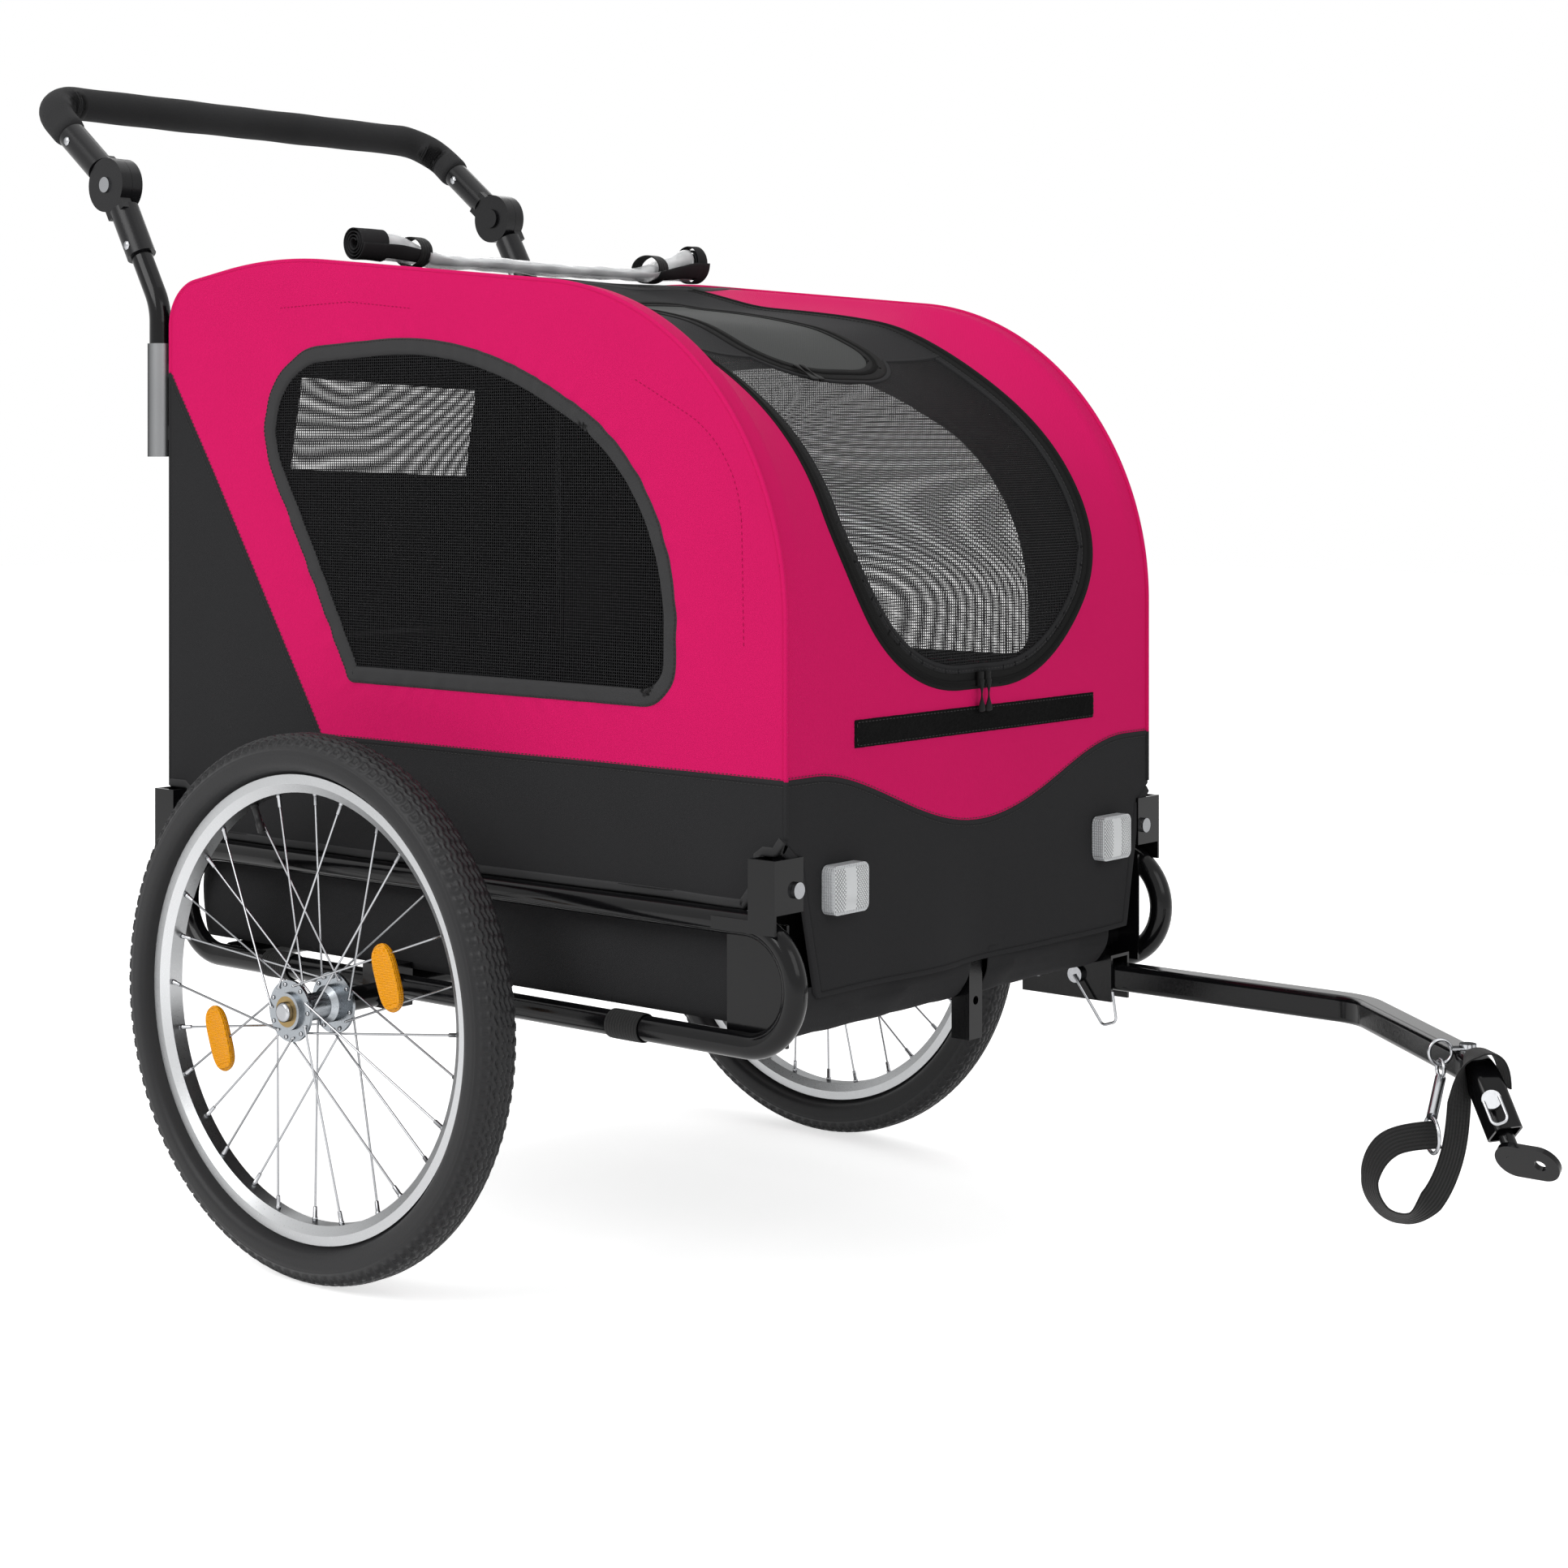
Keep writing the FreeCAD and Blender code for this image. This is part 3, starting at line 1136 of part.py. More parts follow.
def push_handle():
    """Legs, ratchet hinges, buttons, bent bar and foam grip of the push handle."""
    legs, housings, knuckles, screws = [], [], [], []
    inner_face = S.touch_gap + S.hinge_disc_thick
    for side, sign in SIDES.items():
        y = sign * handle_half_width
        pivot = Vector(hinge_x, y, S.hinge_z)
        sleeve_top = S.sleeve_bottom_z + S.sleeve_length
        path = [(sleeve_x, y, sleeve_top - S.leg_insert), (sleeve_x, y, S.leg_bend_z),
                tuple(pivot + leg_way * (tube_seat() + S.touch_gap))]
        legs.append(tube(f"{side}_leg", path, [S.leg_bend_radius], "handle_tube_diameter",
                         "handle_tube_wall"))
        whole, holes = hinge_half(f"{side}_housing", sign, leg_way, 1, S.lower_socket_end)
        housings.append(cut(f"{side}_housing", whole, *holes))
        whole, holes = hinge_half(f"{side}_knuckle", sign, bar_way, -1, S.upper_socket_end)
        face = pivot - Y * (sign * inner_face)
        recess = cylinder(f"{side}_recess", "Sizes.button_radius + Sizes.seat_gap", "Sizes.button_recess",
                          face, (0, sign, 0))
        knuckles.append(cut(f"{side}_knuckle", whole, recess, *holes))
        shank_length = 2 * inner_face - S.button_recess - S.touch_gap
        outer_face = pivot + Y * (sign * inner_face)
        shank = cylinder(f"{side}_screw_shank", "Sizes.hinge_screw_radius", f"{shank_length}", outer_face,
                         (0, -sign, 0))
        head = cylinder(f"{side}_screw_head", "2 * Sizes.hinge_screw_radius", "Sizes.hinge_screw_radius / 2",
                        outer_face, (0, sign, 0))
        screws.append(fuse(f"{side}_screw", shank, head))
        button_start = face - Y * (sign * S.button_proud)
        button_length = S.button_proud + S.button_recess - S.button_travel - 2 * S.touch_gap
        node(f"{side}_hinge_button", cylinder(f"{side}_hinge_button", "Sizes.button_radius",
                                              f"{button_length}",
                                              button_start, (0, sign, 0)))
    node("handle_legs", group("handle_legs", *legs))
    node("hinge_housings", group("hinge_housings", *housings))
    node("hinge_knuckles", group("hinge_knuckles", *knuckles))
    node("hinge_screws", group("hinge_screws", *screws))

    right = Vector(hinge_x, -handle_half_width, S.hinge_z)
    left = Vector(hinge_x, handle_half_width, S.hinge_z)
    top_right = tuple(right + bar_way * S.bar_reach)
    top_left = tuple(left + bar_way * S.bar_reach)
    bends = [S.bar_bend_radius] * 2
    start = tube_seat() + S.touch_gap
    bar_path = [tuple(right + bar_way * start), top_right, top_left, tuple(left + bar_way * start)]
    node("handlebar_tube", tube("handlebar_tube", bar_path, bends, "handle_tube_diameter",
                                "handle_tube_wall"))
    grip_path = [tuple(right + bar_way * S.grip_start), top_right, top_left,
                 tuple(left + bar_way * S.grip_start)]
    foam = rod("foam_outer", grip_path, bends, "Sizes.grip_diameter / 2")
    hole = rod("foam_bore", grip_path, bends, "Sizes.handle_tube_diameter / 2 + Sizes.touch_gap")
    node("foam_grip", cut("foam_grip", foam, hole))


def square(name, centre, side, corner):
    """A square with rounded corners across the X axis."""
    half = side / 2
    corners = [(centre.x, centre.y - half, centre.z - half), (centre.x, centre.y + half, centre.z - half),
               (centre.x, centre.y + half, centre.z + half), (centre.x, centre.y - half, centre.z + half)]
    return wire_feature(name, bent_edges(corners, [corner] * 4, closed=True))


def tow_side():
    """Channel, arm, lock pin, coupler, hitch pin, receiver, strap and its fittings."""
    half = S.arm_side / 2
    inside = half + S.channel_gap
    outside = inside + S.channel_sheet
    top = cross_front_z - rail_radius - S.touch_gap
    rear_x = S.arm_pivot_x - S.arm_tail - S.bolt_head_radius
    outer = box("channel_outer", "Sizes.channel_length", f"{2 * outside}", "Sizes.channel_depth",
                (rear_x, tow_y - outside, top - S.channel_depth))
    inner = box("channel_inner", "Sizes.channel_length", f"{2 * inside}",
                "Sizes.channel_depth - Sizes.channel_sheet",
                (rear_x, tow_y - inside, top - S.channel_depth))
    holes = []
    for name, x, radius in (("pivot", S.arm_pivot_x, "Sizes.bolt_radius + Sizes.touch_gap"),
                            ("lock", lock_pin_x, "Sizes.pin_radius + Sizes.touch_gap")):
        holes.append(cylinder(f"channel_{name}_hole", radius, f"{4 * outside}",
                              (x, tow_y - 2 * outside, S.tow_z), Y))
    node("tow_channel", cut("tow_channel", outer, inner, *holes))

    start = Vector(S.arm_pivot_x - S.arm_tail, tow_y, S.tow_z)
    path = bent_edges([tuple(start), tuple(arm_first), tuple(arm_second), tuple(arm_mouth)],
                      [S.arm_bend_radius, S.arm_drop_radius])
    solid = sweep("arm_outer", wire_feature("arm_path", path),
                  square("arm_section", start, S.arm_side, S.arm_corner))
    hollow = sweep("arm_bore", wire_feature("arm_bore_path", path),
                   square("arm_bore_section", start, S.arm_side - 2 * S.arm_wall, S.arm_corner - S.arm_wall))
    pivot_hole = cylinder("arm_pivot_hole", "Sizes.bolt_radius + Sizes.fit_gap", "2 * Sizes.arm_side",
                          (S.arm_pivot_x, tow_y - S.arm_side, S.tow_z), Y)
    lock_hole = cylinder("arm_lock_hole", "Sizes.pin_radius + Sizes.touch_gap", "2 * Sizes.arm_side",
                         (lock_pin_x, tow_y - S.arm_side, S.tow_z), Y)
    rise = half + S.pin_radius
    notch_back = S.lock_pin_offset - math.sqrt(S.lock_pin_offset ** 2 - rise ** 2)
    notch_width = 2 * (S.pin_radius + S.seat_gap) + notch_back
    notch = box("arm_lock_notch", f"{notch_width}", "2 * Sizes.arm_side", "Sizes.arm_side",
                (lock_pin_x - S.pin_radius - S.seat_gap - notch_back, tow_y - S.arm_side, S.tow_z))
    pin_bore = cylinder("arm_hitch_hole", "Sizes.pin_radius + Sizes.touch_gap", "4 * Sizes.arm_side",
                        hitch_pin - pin_way * (2 * S.arm_side), pin_way)
    node("tow_arm", cut("tow_arm", solid, hollow, pivot_hole, lock_hole, notch, pin_bore))

    pin_start = Vector(lock_pin_x, tow_y - outside - S.touch_gap, S.tow_z)
    shank = cylinder("lock_shank", "Sizes.pin_radius", f"{2 * outside + S.pin_head_length}", pin_start, Y)
    head = cylinder("lock_head", "Sizes.pin_head_radius", "Sizes.pin_head_length", pin_start, -Y)
    node("tow_lock_pin", fuse("tow_lock_pin", shank, head))
    drop_z = S.tow_z - S.channel_depth
    y = pin_start.y - S.pin_head_length - S.bail_radius - S.touch_gap
    bail_run = S.lock_pin_offset
    low = (lock_pin_x + bail_run * 0.75, y, drop_z)
    bail_path = [(lock_pin_x, y, S.tow_z), low, (low[0] + bail_run * 0.35, y, low[2] + bail_run * 0.12),
                 (lock_pin_x + bail_run, y, S.tow_z - bail_run * 0.25)]
    node("tow_pin_bail", rod("tow_pin_bail", bail_path, [bail_run * 0.12, bail_run * 0.12],
                             "Sizes.bail_radius"))

    bar_start = hitch_pin - hitch_way * S.coupler_tail
    bar_length = S.coupler_tail + S.hitch_pin_back + S.coupler_reach
    bar = cylinder("coupler_bar", "Sizes.coupler_radius", f"{bar_length}", bar_start, hitch_way)
    cross = cylinder("coupler_cross_hole", "Sizes.pin_radius + Sizes.fit_gap", "4 * Sizes.coupler_radius",
                     hitch_pin - pin_way * (2 * S.coupler_radius), pin_way)
    end_r = S.plate_width / 2
    run = S.plate_length - S.plate_width
    stadium = [Part.LineSegment(Vector(0, -end_r, 0), Vector(run, -end_r, 0)),
               Part.Arc(Vector(run, -end_r, 0), Vector(run + end_r, 0, 0), Vector(run, end_r, 0)),
               Part.LineSegment(Vector(run, end_r, 0), Vector(0, end_r, 0)),
               Part.Arc(Vector(0, end_r, 0), Vector(-end_r, 0, 0), Vector(0, -end_r, 0))]
    eye = Part.Circle(Vector(run, 0, 0), Z, S.eye_radius)
    plate = pad("hitch_plate", "XY_Plane", stadium + [eye], "Sizes.plate_thick")
    normal = X.cross(plate_across)
    plate.Placement = Placement(plate_centre - normal * (S.plate_thick / 2),
                                Rotation(X, plate_across, normal, "ZXY"))
    node("hitch_coupler", cut("hitch_coupler", fuse("coupler_whole", bar, plate), cross))

    reach = S.arm_side * 0.76
    shank = cylinder("hitch_shank", "Sizes.pin_radius", f"{2 * reach}", hitch_pin - pin_way * reach, pin_way)
    head = cylinder("hitch_head", "Sizes.pin_head_radius", "Sizes.pin_head_length",
                    hitch_pin + pin_way * reach, pin_way)
    node("hitch_pin", fuse("hitch_pin", shank, head))
    lift = hitch_pin + pin_way * (reach + S.pin_head_length + S.bail_radius + S.touch_gap)
    side_way = hitch_way.cross(pin_way)
    clip = S.hitch_pin_back
    clip_path = [tuple(lift + side_way * (clip * 0.3)),
                 tuple(lift + side_way * (clip * 0.3) + hitch_way * clip),
                 tuple(lift - side_way * (clip * 0.3) + hitch_way * clip),
                 tuple(lift - side_way * (clip * 0.3))]
    node("hitch_pin_bail", rod("hitch_pin_bail", clip_path, [clip * 0.25] * 2, "Sizes.bail_radius"))

    receiver_x = S.cross_front_x + rail_radius + S.touch_gap
    post = box("receiver_outer", "Sizes.receiver_side", "Sizes.receiver_side",
               "Sizes.receiver_top_z - Sizes.receiver_bottom_z",
               (receiver_x, -S.receiver_side / 2, S.receiver_bottom_z))
    socket = box("receiver_bore", "Sizes.receiver_side - 2 * Sizes.receiver_wall",
                 "Sizes.receiver_side - 2 * Sizes.receiver_wall",
                 "Sizes.receiver_top_z - Sizes.receiver_bottom_z",
                 (receiver_x + S.receiver_wall, -S.receiver_side / 2 + S.receiver_wall, S.receiver_bottom_z))
    cross_hole = cylinder("receiver_hole", "Sizes.receiver_hole_radius", "2 * Sizes.receiver_side",
                          (receiver_x - S.receiver_side / 2, 0, S.receiver_hole_z), X)
    node("wheel_receiver", cut("wheel_receiver", post, socket, cross_hole))


def torus(name, radius, wire, centre, axis):
    """A round ring of wire about an axis."""
    feature = doc.addObject("Part::Torus", name)
    feature.setExpression("Radius1", radius)
    feature.setExpression("Radius2", wire)
    feature.Placement = Placement(centre, Rotation(Z, axis))
    return feature


def strap():
    """Anchor and ring on the arm, webbing that hangs in a loop across the arm, and the snap hook on it."""
    ahead = Vector(math.cos(turn), -math.sin(turn), 0)
    across = Vector(math.sin(turn), math.cos(turn), 0)
    half = S.arm_side / 2
    seat = arm_second - ahead * S.anchor_back
    top = half + S.touch_gap
    tab = box("anchor_tab", "Sizes.ring_radius", "Sizes.arm_side / 2 + 2 * Sizes.ring_wire",
              "Sizes.strap_thick",
              seat - across * (half + 2 * S.ring_wire) - ahead * (S.ring_radius / 2) + Z * top,
              Rotation(Z, -S.arm_turn))
    knob = cylinder("anchor_bolt", "Sizes.bolt_head_radius", "Sizes.bolt_head_height",
                    seat + Z * (top + S.strap_thick / 2), Z)
    ring_out = half + S.ring_radius + S.ring_wire + S.touch_gap
    ring_middle = seat - across * ring_out + Z * (half - S.ring_wire)
    ring = torus("strap_ring", "Sizes.ring_radius", "Sizes.ring_wire", ring_middle, ahead)
    node("strap_anchor", group("strap_anchor", fuse("anchor_plate", tab, knob), ring))

    wrap = half + S.strap_ease
    crest = half + S.strap_ease * 0.7
    depth = S.strap_drop
    wide = S.strap_loop
    middle = arm_second + ahead * S.strap_ease
    route = [(wrap, -half), (wrap, crest), (-wrap, crest)]
    route += [(-wrap - wide * a, -depth * d) for a, d in (
        (0.03, 0.35), (0.11, 0.625), (0.29, 0.867), (0.555, 1), (0.85, 0.925), (1, 0.725), (0.88, 0.51),
        (0.62, 0.417), (0.25, 0.417))]
    points = [tuple(middle + across * a + Z * d) for a, d in route]
    radii = []
    for before, here, after in zip(points, points[1:], points[2:]):
        back = Vector(*before) - Vector(*here)
        onward = Vector(*after) - Vector(*here)
        half_turn = (math.pi - back.getAngle(onward)) / 2
        radii.append(0.45 * min(back.Length, onward.Length) / math.tan(half_turn))
    edges = bent_edges(points, radii)
    start = Vector(*points[0])
    way = unit(Vector(*points[1]) - start)
    flat = ahead * (S.strap_width / 2)
    thick = way.cross(ahead) * (S.strap_thick / 2)
    corners = [tuple(start + flat + thick), tuple(start + flat - thick), tuple(start - flat - thick),
               tuple(start - flat + thick)]
    section = wire_feature("strap_section", bent_edges(corners, [], closed=True))
    node("safety_strap", sweep("safety_strap", wire_feature("strap_path", edges), section))
    print("strap radii", [round(r) for r in radii])
    print("strap length", round(sum(edge.Length for edge in edges)))

    eye_middle = Vector(*points[-1]) - across * (S.ring_radius / 2)
    eye_radius = S.strap_width / 2 + S.ring_wire + 2 * S.seat_gap
    eye = torus("hook_eye", "Sizes.strap_width / 2 + Sizes.ring_wire + 2 * Sizes.seat_gap", "Sizes.ring_wire",
                eye_middle, across)
    claw_radius = 0.75 * S.ring_radius
    claw_middle = ring_middle - Z * (S.ring_radius + claw_radius - 2 * S.ring_wire - S.seat_gap)
    claw = torus("hook_claw", "0.75 * Sizes.ring_radius", "Sizes.ring_wire", claw_middle, across)
    foot = eye_middle + Z * eye_radius
    stem_way = claw_middle - Z * claw_radius - foot
    stem = cylinder("hook_stem", "Sizes.hook_radius", f"{stem_way.Length}", foot, stem_way)
    node("snap_hook", fuse("snap_hook", eye, claw, stem))


def build():
    """Make every piece and move all of them to the shared origin."""
    base_loops()
    cross_tubes()
    axle_brackets()
    axle_pins()
    for side, sign in SIDES.items():
        wheel(side, sign)
    corner_brackets()
    hoops()
    side_cloth()
    front_cloth()
    small_cloth()
    handle_sleeves()
    push_handle()
    tow_side()
    strap()
    shift = Placement(Vector(axle_x, 0, 0), Rotation())
    for feature in nodes.values():
        feature.Placement = shift * feature.Placement
    doc.recompute()


def check():
    """Stop before writing if any feature failed or any piece is empty or invalid."""
    bad = [f.Name for f in doc.Objects if "Invalid" in f.State or "Error" in f.State]
    bad += [label for label, f in nodes.items() if f.Shape.isNull() or not f.Shape.isValid()]
    bad += [label for label, f in nodes.items() if label not in bad and f.Shape.Volume <= 0]
    if bad:
        raise RuntimeError("pieces that failed: " + ", ".join(bad))


build()
check()
os.makedirs("parts", exist_ok=True)
for label, feature in nodes.items():
    feature.Shape.exportStep(f"parts/{label}.step")
print(len(nodes), "pieces, axle at x =", round(axle_x, 3))
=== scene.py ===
# %% [markdown]
# # A dog trailer, dressed
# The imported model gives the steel: rails, hoops, wheels, handle and tow arm stand where they belong.
# This lesson adds what steel solids can't show: cloth, mesh, zips, rubber tread, webbing and finishes.
# Lengths below are millimetres measured from the ground under the wheel axis, as a maker would measure them,
# and one function turns them into the metres of the shared frame.

# %% Load the fixed frame
import json
import math

import bmesh
import bpy
import numpy as np
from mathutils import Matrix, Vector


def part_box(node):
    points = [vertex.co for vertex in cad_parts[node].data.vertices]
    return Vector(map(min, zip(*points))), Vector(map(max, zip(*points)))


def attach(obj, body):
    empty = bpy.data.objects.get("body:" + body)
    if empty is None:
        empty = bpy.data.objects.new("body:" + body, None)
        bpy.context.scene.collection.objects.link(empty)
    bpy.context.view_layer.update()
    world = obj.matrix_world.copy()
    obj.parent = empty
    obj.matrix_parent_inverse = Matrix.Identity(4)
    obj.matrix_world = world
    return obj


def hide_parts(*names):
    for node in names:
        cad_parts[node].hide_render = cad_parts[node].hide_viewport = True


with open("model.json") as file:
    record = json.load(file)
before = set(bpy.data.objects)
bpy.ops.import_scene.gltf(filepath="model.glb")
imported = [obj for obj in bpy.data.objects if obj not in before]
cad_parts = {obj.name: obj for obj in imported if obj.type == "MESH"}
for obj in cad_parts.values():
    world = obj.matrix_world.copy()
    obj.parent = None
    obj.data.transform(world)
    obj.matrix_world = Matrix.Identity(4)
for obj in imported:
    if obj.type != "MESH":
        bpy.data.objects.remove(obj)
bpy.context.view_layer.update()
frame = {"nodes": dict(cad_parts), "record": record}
nodes = frame["nodes"]
MM = 0.001
TURN = 2 * math.pi
WHEEL_RADIUS = 250.0
SIDES = (("right", -1), ("left", 1))
axle_low, axle_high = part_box("axle_pins")
axle_x = (axle_low[0] + axle_high[0]) / 2
print("nodes", len(nodes), "axle at x", round(axle_x, 4))


def place(x, y, z):
    """Metres in the shared frame for points given in millimetres from the ground below the wheel axis."""
    return np.stack(np.broadcast_arrays(axle_x + MM * x, MM * y, MM * z), axis=-1)


def placed(points):
    """The same for points whose last axis holds x, y and z."""
    return place(*np.moveaxis(points, -1, 0))


def show(thing):
    """Put an object into the scene."""
    bpy.context.scene.collection.objects.link(thing)
    return thing


# %% [markdown]
# ## Camera
# The photograph was taken with a level camera a little below the roof, with its picture area shifted down.
# A level camera keeps upright lines upright, so the same shift is set here instead of tilting the camera.

# %% Camera
PHOTO_PIXELS, FOCAL_PIXELS, HORIZON_PIXELS = 1932, 3506, 555.4
SENSOR, CAMERA_PLACE, CAMERA_TURN = 36, (1986, -2109, 758), math.radians(39.49)
camera_data = bpy.data.cameras.new("photo_camera")
camera_data.sensor_width = SENSOR
camera_data.lens = SENSOR * FOCAL_PIXELS / PHOTO_PIXELS
camera_data.shift_y = (HORIZON_PIXELS - PHOTO_PIXELS / 2) / PHOTO_PIXELS
camera = show(bpy.data.objects.new("photo_camera", camera_data))
camera.location = place(*CAMERA_PLACE)
camera.rotation_euler = (math.pi / 2, 0, CAMERA_TURN)
bpy.context.scene.camera = camera
print("lens", round(camera_data.lens, 2), "shift", round(camera_data.shift_y, 4))

# %% [markdown]
# ## Helpers for outlines
# Every new piece is a sheet of points: a grid with two parameters, filled by whole-array formulas.
# Outlines are straight runs whose corners are replaced by arcs, the way a pattern cutter draws them.

# %% Outline helpers


def unit(v):
    """Each vector divided by its own length."""
    return v / np.maximum(np.linalg.norm(v, axis=-1, keepdims=True), 1e-12)


def pair(first, second):
    """Flat points from their two coordinates."""
    return np.stack(np.broadcast_arrays(first, second), axis=-1)


def running(line):
    """Length along a line up to each of its points."""
    return np.concatenate([[0], np.cumsum(np.linalg.norm(np.diff(line, axis=0), axis=1))])


def walk(line, marks):
    """Points at given lengths along a line."""
    return np.stack([np.interp(marks, running(line), column) for column in line.T], axis=1)


def closing(line):
    """A line with its first point repeated at its end."""
    return np.concatenate([line, line[:1]])


def dense(line, step):
    """The same line with extra points, so that no gap is longer than the step."""
    length = running(line)
    return walk(line, np.unique(np.concatenate([length, np.arange(0, length[-1], step)])))


def rounded_line(corners, radii, step=4.0):
    """An open line: straight runs, each inner corner replaced by the arc that touches both runs.
    Points on the arc are the centre plus the two radius vectors blended by sines of the turned angle."""
    corners = np.array(corners, float)
    parts = [corners[:1]]
    for before, corner, after, radius in zip(corners[:-2], corners[1:-1], corners[2:], radii):
        back, ahead = unit(before - corner), unit(after - corner)
        half = 0.5 * math.acos(np.clip(back @ ahead, -1, 1))
        if radius <= 0 or half > math.pi / 2 - 1e-4:
            parts.append(corner[None])
            continue
        centre = corner + unit(back + ahead) * radius / math.sin(half)
        first = corner + back * radius / math.tan(half) - centre
        last = corner + ahead * radius / math.tan(half) - centre
        turn = math.pi - 2 * half
        t = np.linspace(0, 1, max(4, int(radius * turn / step) + 2))[:, None]
        parts.append(centre + (np.sin((1 - t) * turn) * first + np.sin(t * turn) * last) / math.sin(turn))
    parts.append(corners[-1:])
    return dense(np.concatenate(parts), step)


def rounded_loop(corners, radii, step=4.0):
    """A closed line that starts in the middle of its last run."""
    corners = np.array(corners, float)
    start = (corners[0] + corners[-1]) / 2
    return rounded_line(np.concatenate([[start], corners, [start]]), radii, step)[:-1]


def rays(loop, centre, angles):
    """Distance from a centre to a loop along each angle."""
    reach = loop - np.array(centre)
    angle = np.arctan2(reach[:, 1], reach[:, 0])
    order = np.argsort(angle)
    return np.interp(angles, angle[order], np.hypot(*reach.T)[order], period=TURN)


def ring(outer, inner, centre, rows, count=400, corners=()):
    """Flat points between two loops: along each ray from the centre, the radius goes evenly from the inner
    loop to the outer one. With no inner loop, the rows start at the centre."""
    corners = np.array(corners, float).reshape(-1, 2) - np.array(centre)
    marks = [np.linspace(-math.pi, math.pi, count, endpoint=False), np.arctan2(corners[:, 1], corners[:, 0])]
    angles = np.unique(np.concatenate(marks))
    angles = np.append(angles, angles[0] + TURN)[:, None]
    far = rays(outer, centre, angles)
    near = rays(inner, centre, angles) if inner is not None else 0 * far
    radius = near + (far - near) * np.linspace(0, 1, rows)
    return pair(centre[0] + radius * np.cos(angles), centre[1] + radius * np.sin(angles))


def sideways(line, closed):
    """Unit normals of a flat line, to the right of its direction."""
    along = np.roll(line, -1, axis=0) - np.roll(line, 1, axis=0) if closed else np.gradient(line, axis=0)
    along = unit(along)
    return pair(along[:, 1], -along[:, 0])


def shifted(line, offset, closed=False):
    """A flat line moved along its own normals."""
    return line + offset * sideways(line, closed)


def band(line, offsets, closed):
    """Flat points of a tape along a line: the line moved along its own normals by each offset."""
    points = line[:, None] + sideways(line, closed)[:, None] * np.array(offsets, float)[:, None]
    return closing(points) if closed else points


def around(count):
    """Angles of a full circle, evenly spaced."""
    return np.linspace(0, TURN, count, endpoint=False)


def blunt(value, power):
    """A number raised to a power with its sign kept; powers under one blunt a circle into a bar."""
    return np.sign(value) * np.abs(value) ** power


def ease(value):
    """Smooth step from 0 to 1."""
    value = np.clip(value, 0, 1)
    return value * value * (3 - 2 * value)


print("points of a rounded square", len(rounded_loop([(0, 0), (40, 0), (40, 40), (0, 40)], [9] * 4)))

# %% [markdown]
# ## From points to a piece
# A grid becomes a mesh with faces between neighbouring points. Seams and poles are welded, faces are turned
# outwards, and each piece keeps a UV map in metres, so that a weave has the same size on every cloth. Every
# piece then takes its materials and its body in one place, so that none is forgotten.

# %% Mesh helpers
CABIN_CENTRE = place(80, 0, 650)
WELD, SLIVER = 2e-6, 1e-7
made = {}


def grid_faces(rows, columns):
    """Four-sided faces between the neighbouring points of a grid."""
    corner = (np.arange(rows - 1)[:, None] * columns + np.arange(columns - 1)).ravel()
    return np.stack([corner, corner + 1, corner + columns + 1, corner + columns], axis=1)


def add_mesh(name, points, faces, uv=None, outward_from=None):
    """An object at the origin from points, faces and a UV map, with doubles welded and faces turned outwards."""
    mesh = bpy.data.meshes.new(name)
    mesh.from_pydata(points.reshape(-1, 3).tolist(), [], faces.tolist())
    if uv is not None:
        layer = mesh.uv_layers.new(name="cloth")
        index = np.empty(len(mesh.loops), int)
        mesh.loops.foreach_get("vertex_index", index)
        layer.data.foreach_set("uv", uv.reshape(-1, 2)[index].ravel())
    work = bmesh.new()
    work.from_mesh(mesh)
    bmesh.ops.remove_doubles(work, verts=work.verts, dist=WELD)
    bmesh.ops.dissolve_degenerate(work, edges=work.edges, dist=SLIVER)
    if outward_from is None:
        bmesh.ops.recalc_face_normals(work, faces=work.faces)
    work.normal_update()
    if outward_from is not None:
        centre = Vector(outward_from)
        lean = sum(f.calc_area() * f.normal.dot(f.calc_center_median() - centre) for f in work.faces)
        if lean < 0:
            bmesh.ops.reverse_faces(work, faces=work.faces)
    work.to_mesh(mesh)
    work.free()
    mesh.polygons.foreach_set("use_smooth", np.ones(len(mesh.polygons), bool))
    return show(bpy.data.objects.new(name, mesh))


def finish_piece(piece, materials, body, replaces=()):
    """Give a piece its materials and its place in the frame."""
    for material in materials:
        piece.data.materials.append(material)
    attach(piece, body)
    if replaces:
        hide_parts(*replaces)
    made[piece.name] = len(piece.data.polygons)
    return piece


def tell(*words):
    """Print the pieces whose names hold one of the words, with their numbers of faces."""
    print({k: v for k, v in made.items() if any(word in k for word in words)})


def plain_uv(grid):
    """UVs in metres that run along a grid's rows and columns."""
    rows = np.linalg.norm(np.diff(grid, axis=0), axis=-1).mean(axis=1)
    columns = np.linalg.norm(np.diff(grid, axis=1), axis=-1).mean(axis=0)
    return pair(np.concatenate([[0], np.cumsum(rows)])[:, None], np.concatenate([[0], np.cumsum(columns)]))


def grid_piece(name, grid, materials, body, replaces=(), uv=None, outward_from=None):
    """A piece from one grid of points. Its UV map follows the grid unless another one is given."""
    uv = plain_uv(grid) if uv is None else uv
    piece = add_mesh(name, grid, grid_faces(*grid.shape[:2]), uv, outward_from)
    return finish_piece(piece, materials, body, replaces)


def facing(grid, uv, centre):
    """The same grid, with its columns turned round if its faces look towards the centre."""
    normal = np.cross(np.gradient(grid, axis=1), np.gradient(grid, axis=0))
    if np.sum(normal * (grid - np.asarray(centre))) >= 0:
        return grid, uv
    return grid[:, ::-1], uv[:, ::-1]


